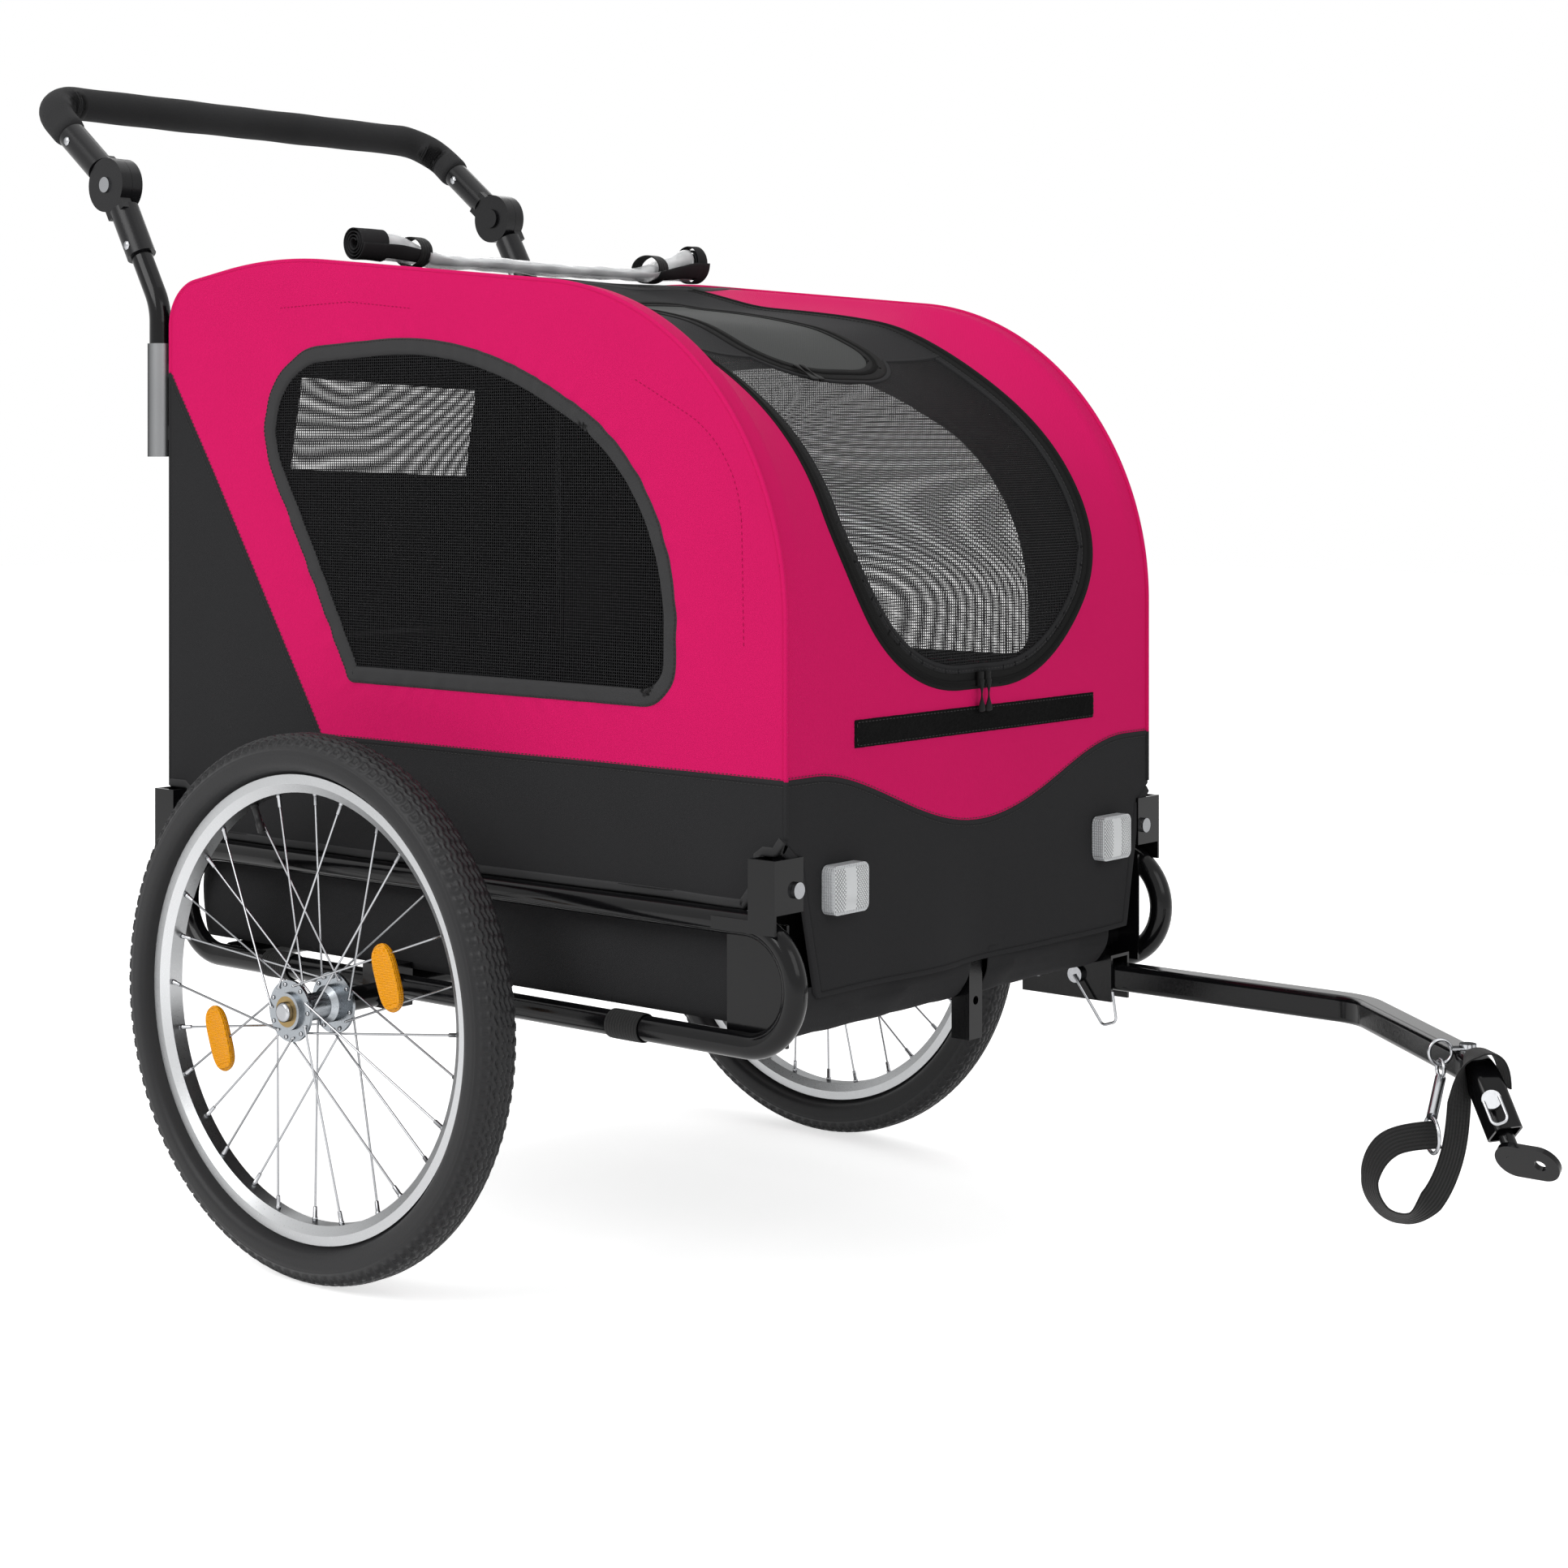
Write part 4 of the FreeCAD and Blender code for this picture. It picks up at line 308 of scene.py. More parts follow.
def stack(parts):
    """Several (points, uv) grids as one list of points, faces and UVs."""
    points, faces, uvs, start = [], [], [], 0
    for grid, uv in parts:
        faces.append(grid_faces(*grid.shape[:2]) + start)
        points.append(grid.reshape(-1, 3))
        uvs.append(uv.reshape(-1, 2))
        start += len(points[-1])
    return np.concatenate(points), np.concatenate(faces), np.concatenate(uvs)


print("cabin centre", np.round(CABIN_CENTRE, 3))

# %% [markdown]
# ## Sheets and bars
# A sheet gets its thickness from a modifier. A bar is a
# section carried along a path, for piping, webbing, ties and the foam grip.

# %% Sheets and bars


def thicken(piece, thickness, lining=True):
    """Give a sheet its thickness inwards; the inner side takes the second material."""
    wall = piece.modifiers.new("thickness", "SOLIDIFY")
    wall.thickness = thickness * MM
    wall.offset = -1
    wall.material_offset = 1 if lining else 0
    wall.use_even_offset = False
    return piece


def flat_area(piece):
    """Area of a piece's faces in square metres."""
    return sum(polygon.area for polygon in piece.data.polygons)


def declare_sheet(piece):
    """Read a cloth's UV map into an array; nothing else is done with it."""
    uv = np.empty(2 * len(piece.data.loops))
    piece.data.uv_layers["cloth"].data.foreach_get("uv", uv)


def sweep(path, profile, across, closed_path=False, turn=0.0):
    """A profile carried along a path. At each point the profile's first axis is the direction across, made
    square to the path, its second axis is square to both, and turn rotates the profile about the path."""
    path = np.array(path, float)
    along = np.roll(path, -1, 0) - np.roll(path, 1, 0) if closed_path else np.gradient(path, axis=0)
    along = unit(along)
    across = np.broadcast_to(np.array(across, float), path.shape)
    first = unit(across - along * np.sum(across * along, axis=1, keepdims=True))
    second = np.cross(along, first)
    turn = np.broadcast_to(turn, len(path))[:, None]
    side = first * np.cos(turn) + second * np.sin(turn)
    lift = second * np.cos(turn) - first * np.sin(turn)
    profile = closing(profile)
    grid = path[:, None] + side[:, None] * profile[:, :1] + lift[:, None] * profile[:, 1:2]
    if closed_path:
        return closing(grid)
    head, tail = path[:1, None] + 0 * grid[:1], path[-1:, None] + 0 * grid[:1]
    return np.concatenate([head, grid, tail])


def circle(radius, count):
    """Points of a circle."""
    return radius * pair(np.cos(around(count)), np.sin(around(count)))


def flat_profile(width, thick, rounding):
    """A flat bar's section with rounded ends: a superellipse of the given width and thickness."""
    angle = around(20)
    return pair(blunt(np.cos(angle), rounding) * width / 2, blunt(np.sin(angle), rounding) * thick / 2)


print("corners of a flat bar", len(flat_profile(0.025, 0.002, 0.4)))

# %% [markdown]
# ## Shared finishes
# Three effects serve several materials, so each is a node group: the weave of coated cloth, the holes of a
# knitted mesh, and a slow unevenness that every real surface has. Shaders stay in the materials themselves.
# A small class lets sums be written as sums: each operation adds one math node.

# %% Node groups


class Value:
    """A number or colour in a node tree. Plain numbers in a sum go straight onto the node's sockets."""

    def __init__(self, tree, socket):
        self.tree, self.socket = tree, socket

    def math(self, operation, *others):
        node = self.tree.nodes.new("ShaderNodeMath")
        node.operation = operation
        for slot, value in zip(node.inputs, (self, *others)):
            if isinstance(value, Value):
                value.feed(slot)
            else:
                slot.default_value = value
        return Value(self.tree, node.outputs[0])

    def feed(self, slot):
        self.tree.links.new(self.socket, slot)

    def sine(self):
        return self.math("SINE")

    def __add__(self, other):
        return self.math("ADD", other)

    def __sub__(self, other):
        return self.math("SUBTRACT", other)

    def __mul__(self, other):
        return self.math("MULTIPLY", other)

    def __abs__(self):
        return self.math("ABSOLUTE")


def split(tree, vector):
    """The three parts of a vector socket."""
    node = tree.nodes.new("ShaderNodeSeparateXYZ")
    tree.links.new(vector, node.inputs[0])
    return [Value(tree, part) for part in node.outputs]


def new_group(name, numbers, outputs):
    """An empty shader group that reads a vector and some numbers with defaults, and gives numbers."""
    group = bpy.data.node_groups.new(name, "ShaderNodeTree")
    group.interface.new_socket(name="Vector", in_out="INPUT", socket_type="NodeSocketVector")
    for label, value in numbers.items():
        socket = group.interface.new_socket(name=label, in_out="INPUT", socket_type="NodeSocketFloat")
        socket.default_value = value
    for label in outputs:
        group.interface.new_socket(name=label, in_out="OUTPUT", socket_type="NodeSocketFloat")
    return group, group.nodes.new("NodeGroupInput").outputs, group.nodes.new("NodeGroupOutput").inputs


def build_weave():
    """Plain weave: over each thread crossing, warp and weft bulge in turn, as sines of both directions."""
    group, source, sink = new_group("cloth_weave", {"Threads": 900.0}, ["Height", "Shade"])
    u, v, _ = split(group, source["Vector"])
    step = Value(group, source["Threads"]) * math.pi
    warp, weft = (u * step).sine(), (v * step).sine()
    crossing = warp * weft
    ribs = abs(warp).math("MAXIMUM", abs(weft))
    (crossing * 0.35 + ribs * 0.6).feed(sink["Height"])
    # Shade is high on the crossings; cloth uses it for a painted highlight on the thread crowns
    (crossing * 0.5 + 0.5).feed(sink["Shade"])
    return group


def build_holes():
    """Square mesh: a point is thread where it lies near a line of either direction, and hole elsewhere."""
    group, source, sink = new_group("mesh_holes", {"Pitch": 0.0024, "Open": 0.35}, ["Thread", "Height"])
    pitch, opening = (Value(group, source[label]) for label in ("Pitch", "Open"))
    u, v, _ = split(group, source["Vector"])
    along, across = ((part.math("DIVIDE", pitch) * TURN).math("COSINE") for part in (u, v))
    height = along.math("MAXIMUM", across)
    ((height - opening) * 6.0).math("MAXIMUM", 0.0).math("MINIMUM", 1.0).feed(sink["Thread"])
    height.feed(sink["Height"])
    return group


def build_unevenness():
    """Slow patches and fine speckles, each a noise from 0 to 1."""
    group, source, sink = new_group("unevenness", {"Patch": 9.0, "Speckle": 700.0}, ["Patches", "Speckles"])
    for scale, label in (("Patch", "Patches"), ("Speckle", "Speckles")):
        noise = group.nodes.new("ShaderNodeTexNoise")
        noise.inputs["Detail"].default_value = 3
        group.links.new(source["Vector"], noise.inputs["Vector"])
        group.links.new(source[scale], noise.inputs["Scale"])
        group.links.new(noise.outputs["Fac"], sink[label])
    return group


WEAVE, HOLES, UNEVEN = build_weave(), build_holes(), build_unevenness()
print("groups", [g.name for g in bpy.data.node_groups])

# %% [markdown]
# ## Material recipes
# Each finish starts from the same small recipe: a base colour that drifts slowly, a roughness that follows
# the drift, and a bump for its own texture. Cloth reads its UV map, hard parts read object coordinates.

# %% Material recipes
PRISM, LENS_WIDE, STRIPE_HALF = 3.6, 22.5, 7.5


class Finish:
    """A material under construction, with its shader and shortcuts to add nodes."""

    def __init__(self, name, color, roughness, metallic=0.0, coords="Object", patch=9.0, speckle=700.0, drift=0.12):
        self.material = bpy.data.materials.new(name)
        self.material.use_nodes = True
        self.tree = self.material.node_tree
        self.shader = self.tree.nodes["Principled BSDF"]
        self.coords = self.tree.nodes.new("ShaderNodeTexCoord").outputs[coords]
        self.patches, self.speckles = self.group(UNEVEN, Patch=patch, Speckle=speckle)
        self.color = color
        self.base = self.mix(self.patches, [c * (1 - drift) for c in color], [min(1, c * (1 + drift)) for c in color])
        self.link(self.base, "Base Color")
        self.link(self.speckles * 0.16 + (roughness - 0.08), "Roughness")
        self.set(Metallic=metallic)

    def link(self, value, name):
        value.feed(self.shader.inputs[name])

    def set(self, **values):
        for name, value in values.items():
            self.shader.inputs[name.replace("_", " ")].default_value = value
        return self

    def parts(self):
        return split(self.tree, self.coords)

    def group(self, group, **values):
        node = self.tree.nodes.new("ShaderNodeGroup")
        node.node_tree = group
        self.tree.links.new(self.coords, node.inputs["Vector"])
        for name, value in values.items():
            node.inputs[name].default_value = value
        return [Value(self.tree, output) for output in node.outputs]

    def mix(self, factor, first, second):
        node = self.tree.nodes.new("ShaderNodeMix")
        node.data_type = "RGBA"
        factor.feed(node.inputs["Factor"])
        for label, value in (("A", first), ("B", second)):
            socket = next(s for s in node.inputs if s.name == label and s.type == "RGBA")
            if isinstance(value, Value):
                value.feed(socket)
            else:
                socket.default_value = (*value, 1)
        return Value(self.tree, next(s for s in node.outputs if s.type == "RGBA"))

    def edge(self, share):
        """Painted reflection: darker base and specular tint where the surface turns away, for a dark room seen in
        metal.
        """
        weight = self.tree.nodes.new("ShaderNodeLayerWeight")
        weight.inputs["Blend"].default_value = 0.5
        # painted reflection: the facing weight mixes the base towards a darker copy of the colour
        painted_reflection_weight = Value(self.tree, weight.outputs["Facing"])
        self.link(self.mix(painted_reflection_weight, self.base, [c * share for c in self.color]), "Base Color")
        return self.set(Specular_Tint=(share, share, share, 1))

    def bump(self, height, distance, strength=1.0):
        node = self.tree.nodes.new("ShaderNodeBump")
        node.inputs["Distance"].default_value = distance * MM
        node.inputs["Strength"].default_value = strength
        height.feed(node.inputs["Height"])
        self.link(Value(self.tree, node.outputs["Normal"]), "Normal")


def cloth(name, color, threads, sheen, roughness):
    """Coated woven cloth: weave bump, a painted highlight that makes threads a little lighter on their crowns, mixed
    with random grain, and soft sheen.
    """
    finish = Finish(name, color, roughness, coords="UV", patch=5.0, speckle=900.0, drift=0.1)
    height, shade = finish.group(WEAVE, Threads=threads)
    # painted highlight on the thread crowns, mixed with random speckle grain
    crown = [min(1, c * 1.3 + 0.002) for c in color]
    finish.link(finish.mix(shade * 0.4 + finish.speckles * 0.6, finish.base, crown), "Base Color")
    finish.bump(height, 0.25, 0.6)
    return finish.set(Sheen_Weight=sheen, Sheen_Roughness=0.5, Specular_IOR_Level=0.06).material


def mesh_cloth(name, pitch, opening):
    """Open mesh: black threads with holes between them, which Alpha leaves out."""
    finish = Finish(name, (0.012, 0.012, 0.013), 0.6, coords="UV", drift=0.2)
    thread, height = finish.group(HOLES, Pitch=pitch, Open=opening)
    finish.link(thread, "Alpha")
    finish.bump(height, 0.5)
    return finish.set(Specular_IOR_Level=0.12).material


def hard(name, color, roughness, metallic=0.0, bump=0.0, speckle=700.0, drift=0.1, **values):
    """A hard finish with fine speckle in its roughness and, where asked, in its relief; metals also get a painted
    darker reflection where they turn away.
    """
    finish = Finish(name, color, roughness, metallic, speckle=speckle, drift=drift)
    if bump:
        finish.bump(finish.speckles, bump)
    # metals: painted reflection, the base goes darker where the surface turns away
    if metallic > 0.5:
        finish.edge(0.22)
    return finish.set(**values).material


def brushed(name, color, roughness, scale):
    """Turned metal: fine rings about the wheel axis from the distance to it, and a painted darker reflection where it
    turns away.
    """
    finish = Finish(name, color, roughness, 1.0, drift=0.06)
    x, _, z = finish.parts()
    dx, dz = x - float(axle_x), z - WHEEL_RADIUS * MM
    finish.bump(((dx * dx + dz * dz).math("SQRT") * scale).sine(), 0.05, 0.4)
    # painted reflection: darker base where the rim turns away
    return finish.edge(0.4).material


def lens(name, color, pitch, **values):
    """Moulded reflector lens: a grid of small prisms as relief, glossy on top, with the prisms painted lighter as
    glints.
    """
    finish = Finish(name, color, 0.18, drift=0.2)
    x, y, z = (abs((part * (math.pi / (pitch * MM))).sine()) for part in finish.parts())
    prism = x * z + y
    # painted glints: the base is lightened over the prisms
    finish.link(finish.mix(prism, finish.base, [min(1, c * 2.0) for c in color]), "Base Color")
    finish.bump(prism, 0.6)
    return finish.set(**values).material


def prism_lens(name, dark, bright):
    """Clear reflector lens from its UV map, in painted light: diamonds of painted glint parted by lines of painted
    shade, and a plainer mottled middle stripe.
    """
    finish = Finish(name, bright, 0.16, coords="UV", drift=0.1)
    u, v, _ = finish.parts()
    rising, falling = (abs((way * (math.pi / (PRISM * MM))).sine()) for way in (u + v, u - v))
    field = abs(u - LENS_WIDE * MM).math("GREATER_THAN", STRIPE_HALF * MM)
    stripe = finish.patches * -0.6 + 1.0
    cell = (rising * falling).math("POWER", 0.6)
    both = field * (cell - stripe) + stripe
    # painted glints and shade: the mix runs from the dark colour to the bright one
    finish.link(finish.mix(both, dark, finish.base), "Base Color")
    finish.bump(both, 0.5)
    return finish.set(Specular_IOR_Level=0.6).material


def webbing(name, color):
    """Narrow woven strap: ribs across the strap and small steps along it, from its UV map; the raised parts are also
    painted lighter as a painted highlight.
    """
    finish = Finish(name, color, 0.62, coords="UV", drift=0.15)
    u, v, _ = finish.parts()
    relief = (v * (TURN / 0.0032)).sine() * 0.5 + abs((u * (TURN / 0.0017)).sine())
    # painted highlight: the raised ribs are lightened in colour
    finish.link(finish.mix(relief * 0.5, finish.base, [c * 2.2 + 0.01 for c in color]), "Base Color")
    finish.bump(relief, 0.5)
    return finish.set(Sheen_Weight=0.05, Specular_IOR_Level=0.2).material


def clear_film(name):
    """Clear film, milky after many windings, and most so in streaks where it is creased."""
    finish = Finish(name, (0.95, 0.96, 0.97), 0.10, coords="UV", patch=22.0, speckle=34.0, drift=0.03)
    finish.link(finish.patches * finish.speckles * 0.7 + 0.26, "Alpha")
    finish.bump(finish.patches, 0.5)
    return finish.material


print("recipes for cloth, mesh, hard parts, turned metal, lenses, webbing and film")

# %% [markdown]
# ## The trailer's materials
# The pink is read from the photograph's lit cloth, and the blacks differ by finish: coated cloth, lining, tape,
# powder coat, rubber and foam. The solids' own slots then get the matching finish.

# %% The trailer's materials
PINK = cloth("pink_side_cloth", (0.585, 0.0075, 0.108), 950, 0.0, 0.72)
BLACK = cloth("black_cloth", (0.023, 0.023, 0.024), 950, 0.0, 0.82)
LINING = cloth("black_lining", (0.010, 0.010, 0.011), 950, 0.0, 0.9)
BINDING = cloth("binding_tape", (0.042, 0.042, 0.043), 1400, 0.02, 0.7)
ZIP_TAPE = cloth("zip_tape", (0.009, 0.009, 0.009), 1300, 0.0, 0.75)
HATCH_CLOTH = cloth("hatch_cloth", (0.050, 0.052, 0.051), 700, 0.0, 0.7)
MESH = mesh_cloth("window_mesh", 0.0027, 0.62)
PINK_THREAD = hard("pink_thread", (0.36, 0.006, 0.07), 0.7, Specular_IOR_Level=0.1)
BLACK_THREAD = hard("black_thread", (0.045, 0.045, 0.045), 0.7, Specular_IOR_Level=0.1)
FUZZ = hard("hook_tape_fuzz", (0.009, 0.009, 0.009), 0.95, bump=1.2, speckle=900.0, drift=0.5,
            Specular_IOR_Level=0.05)
PAINT = hard("black_powder_coat", (0.004, 0.004, 0.0045), 0.14, bump=0.02, speckle=500.0, Specular_IOR_Level=0.24)
# the metal finishes below carry painted darker reflections towards their outlines
ZINC = hard("bright_zinc", (0.52, 0.53, 0.55), 0.24, 1.0, bump=0.02, speckle=300.0)
HUB = hard("hub_metal", (0.44, 0.47, 0.50), 0.28, 1.0, bump=0.03, speckle=400.0)
BRASS = hard("bearing_brass", (0.42, 0.30, 0.14), 0.35, 1.0)
RIM = brushed("rim_alloy", (0.60, 0.61, 0.62), 0.30, 9000.0)
RUBBER = hard("tyre_rubber", (0.015, 0.015, 0.016), 0.5, bump=0.12, speckle=500.0, drift=0.25,
              Specular_IOR_Level=0.3)
FOAM = hard("grip_foam", (0.030, 0.030, 0.031), 0.8, bump=0.5, speckle=700.0, drift=0.3, Specular_IOR_Level=0.15)
PULL = hard("puller_metal", (0.006, 0.006, 0.006), 0.5, bump=0.03, Specular_IOR_Level=0.08)
HINGE = hard("hinge_plastic", (0.008, 0.008, 0.009), 0.30, bump=0.04, speckle=800.0, Specular_IOR_Level=0.25)
SLEEVE = hard("sleeve_grey", (0.26, 0.265, 0.27), 0.40, 0.9, bump=0.03)
# the lens finishes below carry painted glints, and the clear prisms painted shade too
AMBER = lens("amber_lens", (0.62, 0.20, 0.0), 2.2, Specular_IOR_Level=0.2)
CLEAR = lens("clear_lens", (0.34, 0.35, 0.36), 2.4, Specular_IOR_Level=0.4)
PRISMS = prism_lens("clear_prisms", (0.16, 0.17, 0.18), (0.86, 0.88, 0.89))
STRAP = webbing("black_webbing", (0.009, 0.009, 0.009))
BOARD = hard("floor_board", (0.03, 0.03, 0.03), 0.7, bump=0.2)
FILM = clear_film("clear_film")

FINISH_OF = {
    "zinc": ZINC, "hub_metal": HUB, "bearing_brass": BRASS, "rim_alloy": RIM, "amber_lens": AMBER,
    "clear_lens": CLEAR, "grey_plastic": SLEEVE, "hinge_plastic": HINGE, "board": BOARD, "black_frame": PAINT,
    "zip_metal": PAINT,
}
for part in frame["record"]["subparts"]:
    if part["material_slot"] in FINISH_OF:
        for socket in nodes[part["node"]].material_slots:
            socket.material = FINISH_OF[part["material_slot"]]
print("materials", len(bpy.data.materials))

# %% [markdown]
# ## The safety strap
# A loop of webbing hangs from the arm's second bend, with a snap hook on its free end. Its route is the one
# the solids follow. A smooth curve is laid through the route first, and the flat band follows that curve,
# turning on the way so that the hanging leg shows its face to the front, as a loosely hung strap does.

# %% Safety strap
ARM_TURN, ARM_REACH = math.radians(40.6), 257
ARM_AHEAD = np.array([math.cos(ARM_TURN), -math.sin(ARM_TURN), 0])
ARM_ACROSS = np.array([math.sin(ARM_TURN), math.cos(ARM_TURN), 0])
ARM_SECOND = np.array([741, 235, 247]) + ARM_REACH * ARM_AHEAD
STRAP_EASE, STRAP_DROP, STRAP_LOOP, ARM_HALF = 6.5, 120.0, 82.0, 12.5
STRAP_WIDTH, STRAP_THICK = 0.025, 0.0019
strap_wrap = ARM_HALF + STRAP_EASE
strap_crest = ARM_HALF + STRAP_EASE * 0.7
strap_shares = np.array([(0.03, 0.35), (0.11, 0.625), (0.29, 0.867), (0.555, 1), (0.85, 0.925), (1, 0.725),
                         (0.88, 0.51), (0.62, 0.417), (0.25, 0.417)])
strap_flat = np.concatenate([
    [(strap_wrap, -ARM_HALF), (strap_wrap, strap_crest), (-strap_wrap, strap_crest)],
    np.array([-strap_wrap, 0]) - strap_shares * np.array([STRAP_LOOP, STRAP_DROP])])
strap_route = ARM_SECOND + ARM_AHEAD * STRAP_EASE + strap_flat[:, :1] * ARM_ACROSS + strap_flat[:, 1:] * [0, 0, 1]


def smooth_route(name, route):
    """Points of the NURBS spline whose control points are the route."""
    curve = bpy.data.curves.new(name, "CURVE")
    curve.dimensions = "3D"
    spline = curve.splines.new("NURBS")
    spline.points.add(len(route) - 1)
    spline.points.foreach_set("co", np.concatenate([route, np.ones((len(route), 1))], axis=1).ravel())
    spline.order_u = 3
    spline.use_endpoint_u = True
    spline.resolution_u = 10
    holder = show(bpy.data.objects.new(name, curve))
    mesh = bpy.data.meshes.new_from_object(holder)
    line = np.empty(3 * len(mesh.vertices))
    mesh.vertices.foreach_get("co", line)
    bpy.data.objects.remove(holder)
    return line.reshape(-1, 3)


strap_line = smooth_route("strap_route", placed(strap_route))
strap_turn = np.radians(np.interp(np.linspace(0, 1, len(strap_line)), [0, 0.13, 0.22, 0.46, 0.56, 0.66, 0.76, 0.88, 1],
                                  [0, 0, 72, 80, 34, 14, 10, 36, 50]))
strap_grid = sweep(strap_line, flat_profile(STRAP_WIDTH, STRAP_THICK, 0.35), ARM_AHEAD, turn=strap_turn)
strap = grid_piece("safety_strap_webbing", strap_grid, [STRAP], "arm", ["safety_strap"])

# %% [markdown]
# ## The cabin's cloth as two maps
# All cloth lies on three planes of pattern: the two sides, and one long strip over front, roof and rear. Two
# maps carry pattern points into space. The strip's map follows the hoops and sags between them; the side's
# map is nearly flat, hollow in the middle, with soft waves towards the free hem.

# %% Cabin maps
HALF_WIDTH, SKIN_HALF = 281.0, 280.0
FRONT_X, REAR_X = 480.5, -326.0
STRIP_START_Z, SKIRT_Z, SEAM_Z = 296.0, 372.3, 481.0
profile_line = rounded_line([(FRONT_X, STRIP_START_Z), (FRONT_X, 883), (-165, 947), (REAR_X, 922), (REAR_X, SKIRT_Z)],
                            [300, 600, 45], 3.0)
profile_s = running(profile_line)
profile_normal = sideways(profile_line, False)


def strip_at_height(z):
    """Place along the strip, on the upright front, of a height."""
    return z - STRIP_START_Z


def strip_at_roof(x):
    """Place along the strip, on curve and roof, of a distance along the cabin."""
    on_roof = (profile_line[:, 0] < FRONT_X - 0.01) & (profile_line[:, 0] > REAR_X + 0.01)
    return float(np.interp(-x, -profile_line[on_roof, 0], profile_s[on_roof]))


def strip_at_rear(z):
    """Place along the strip, on the upright rear, of a height."""
    return profile_s[-1] - (z - SKIRT_Z)


ROOF_BAR = strip_at_roof(-85)
CURVE_SAG, CURVE_MIDDLE, CURVE_SPREAD, ROOF_SAG = 40, 635, 185, 18
REAR_SAG, REAR_MIDDLE, REAR_SPREAD, SAG_HALF = 23, strip_at_rear(862), 95, 258
HOLLOW, HOLLOW_LONG, HOLLOW_HIGH, EDGE_FALL = 5, 250, 150, 70


def strip_sag(s, y):
    """How far the strip hangs inwards: a bell round the front curve, a flat trough on the roof up to the roof
    bar, and a bell at the top of the rear. Across, it falls off towards the hoops with the fifth power.
    Slow ripples of three sines and loose waves at the hem come on top."""
    curve = CURVE_SAG * np.exp(-(((s - CURVE_MIDDLE) / CURVE_SPREAD) ** 2)) * ease((s - 320) / 90)
    roof = ROOF_SAG * ease((s - 720) / 220) * ease((ROOF_BAR - s) / 160)
    rear = REAR_SAG * np.exp(-(((s - REAR_MIDDLE) / REAR_SPREAD) ** 2)) * ease((s - ROOF_BAR) / 60)
    between = np.clip(1 - np.abs(y / SAG_HALF) ** 5, 0, 1)
    ripple = np.sin(s / 61 + y / 47) + 0.7 * np.sin(s / 38 - y / 83 + 1.3) + 0.5 * np.sin(y / 29 + s / 120)
    ripple = ripple + 3.0 * ease((s - 880) / 120) * ease((ROOF_BAR - s) / 60) * np.sin(y / 21 + s / 110)
    hem = 1 - ease(s / 130)
    loose = hem * (3.2 * np.sin(y / 41 + 0.8) + 1.6 * np.sin(y / 23 + 2.1)) - 4.5 * hem
    return between * (curve + roof + rear + 0.5 * ripple + 1.6) + loose * np.clip(1.2 - np.abs(y / HALF_WIDTH), 0, 1)


def strip_point(plane, lift=0.0):
    """Millimetres in space of pattern points (place along the strip, distance across), lifted along the normal."""
    s, y = plane[..., 0], plane[..., 1]
    x, z, nx, nz = (np.interp(s, profile_s, column) for column in (*profile_line.T, *profile_normal.T))
    out = lift - strip_sag(s, y)
    return np.stack(np.broadcast_arrays(x + nx * out, y, z + nz * out))


def on_strip(plane, lift=0.0):
    """The strip's map into the shared frame."""
    return place(*strip_point(plane, lift))


def roof_height(x):
    """Height of the cabin's outline at a distance along it."""
    return np.interp(-x, -profile_line[1:-1, 0], profile_line[1:-1, 1])


WINDOW_CENTRE = (110, 690)
window_loop = rounded_loop([(-57, 543), (351.5, 541), (351.5, 734.5), (99, 863.5), (-229, 847)],
                           [6, 34, 219, 440, 78])


def on_side(sign):
    """The map of one side's pattern points (distance along, height) into space."""

    def side_map(plane, lift=0.0):
        """The plane of the hoop, hollowed by a bell curve and by waves that grow towards the hem, dragged
        behind the window, and puckered round it along rays from its middle."""
        x, z = plane[..., 0], plane[..., 1]
        dx, dz = x - WINDOW_CENTRE[0], z - WINDOW_CENTRE[1]
        edge = ease(np.minimum(np.minimum(FRONT_X - x, x - REAR_X), roof_height(x) - z) / EDGE_FALL)
        bell = HOLLOW * np.exp(-((dx / HOLLOW_LONG) ** 2) - (dz / HOLLOW_HIGH) ** 2)
        low = ease((520 - z) / 130)
        waves = low * (1.6 * np.sin(x / 43 + 1.0) + 1.0 * np.sin(x / 24 + z / 30)) + 0.5 * np.sin((x + 0.6 * z) / 39)
        drag = 1.3 * ease((x + 330) / 200) * ease((60 - x) / 260) * np.sin((0.84 * x + 0.54 * z) / 17)
        angle = np.arctan2(dz, dx)
        off = np.hypot(dx, dz) - rays(window_loop, WINDOW_CENTRE, angle)
        pucker = np.exp(-(((off - 6) / 16) ** 2)) * (0.5 * np.sin(37 * angle) + 0.35 * np.sin(61 * angle + 1))
        return place(x, sign * (HALF_WIDTH + lift - edge * (bell + waves + 1.8 + drag + pucker)), z)

    return side_map


print("strip length", round(profile_s[-1]), "window points", len(window_loop))

# %% [markdown]
# ## Cloth, tape and stitches
# Three kinds of piece are laid on these maps: sheets cut from pattern grids, narrow tapes along a line, and
# rows of stitches. Most of them belong to the cabin and are black, so these are the default values.

# %% Cloth, tape and stitches
MESH_THICK, DOOR_THICK, TUCK, STITCH, STITCH_SIDES = 0.5, 1.2, -1.2, 3.4, 6


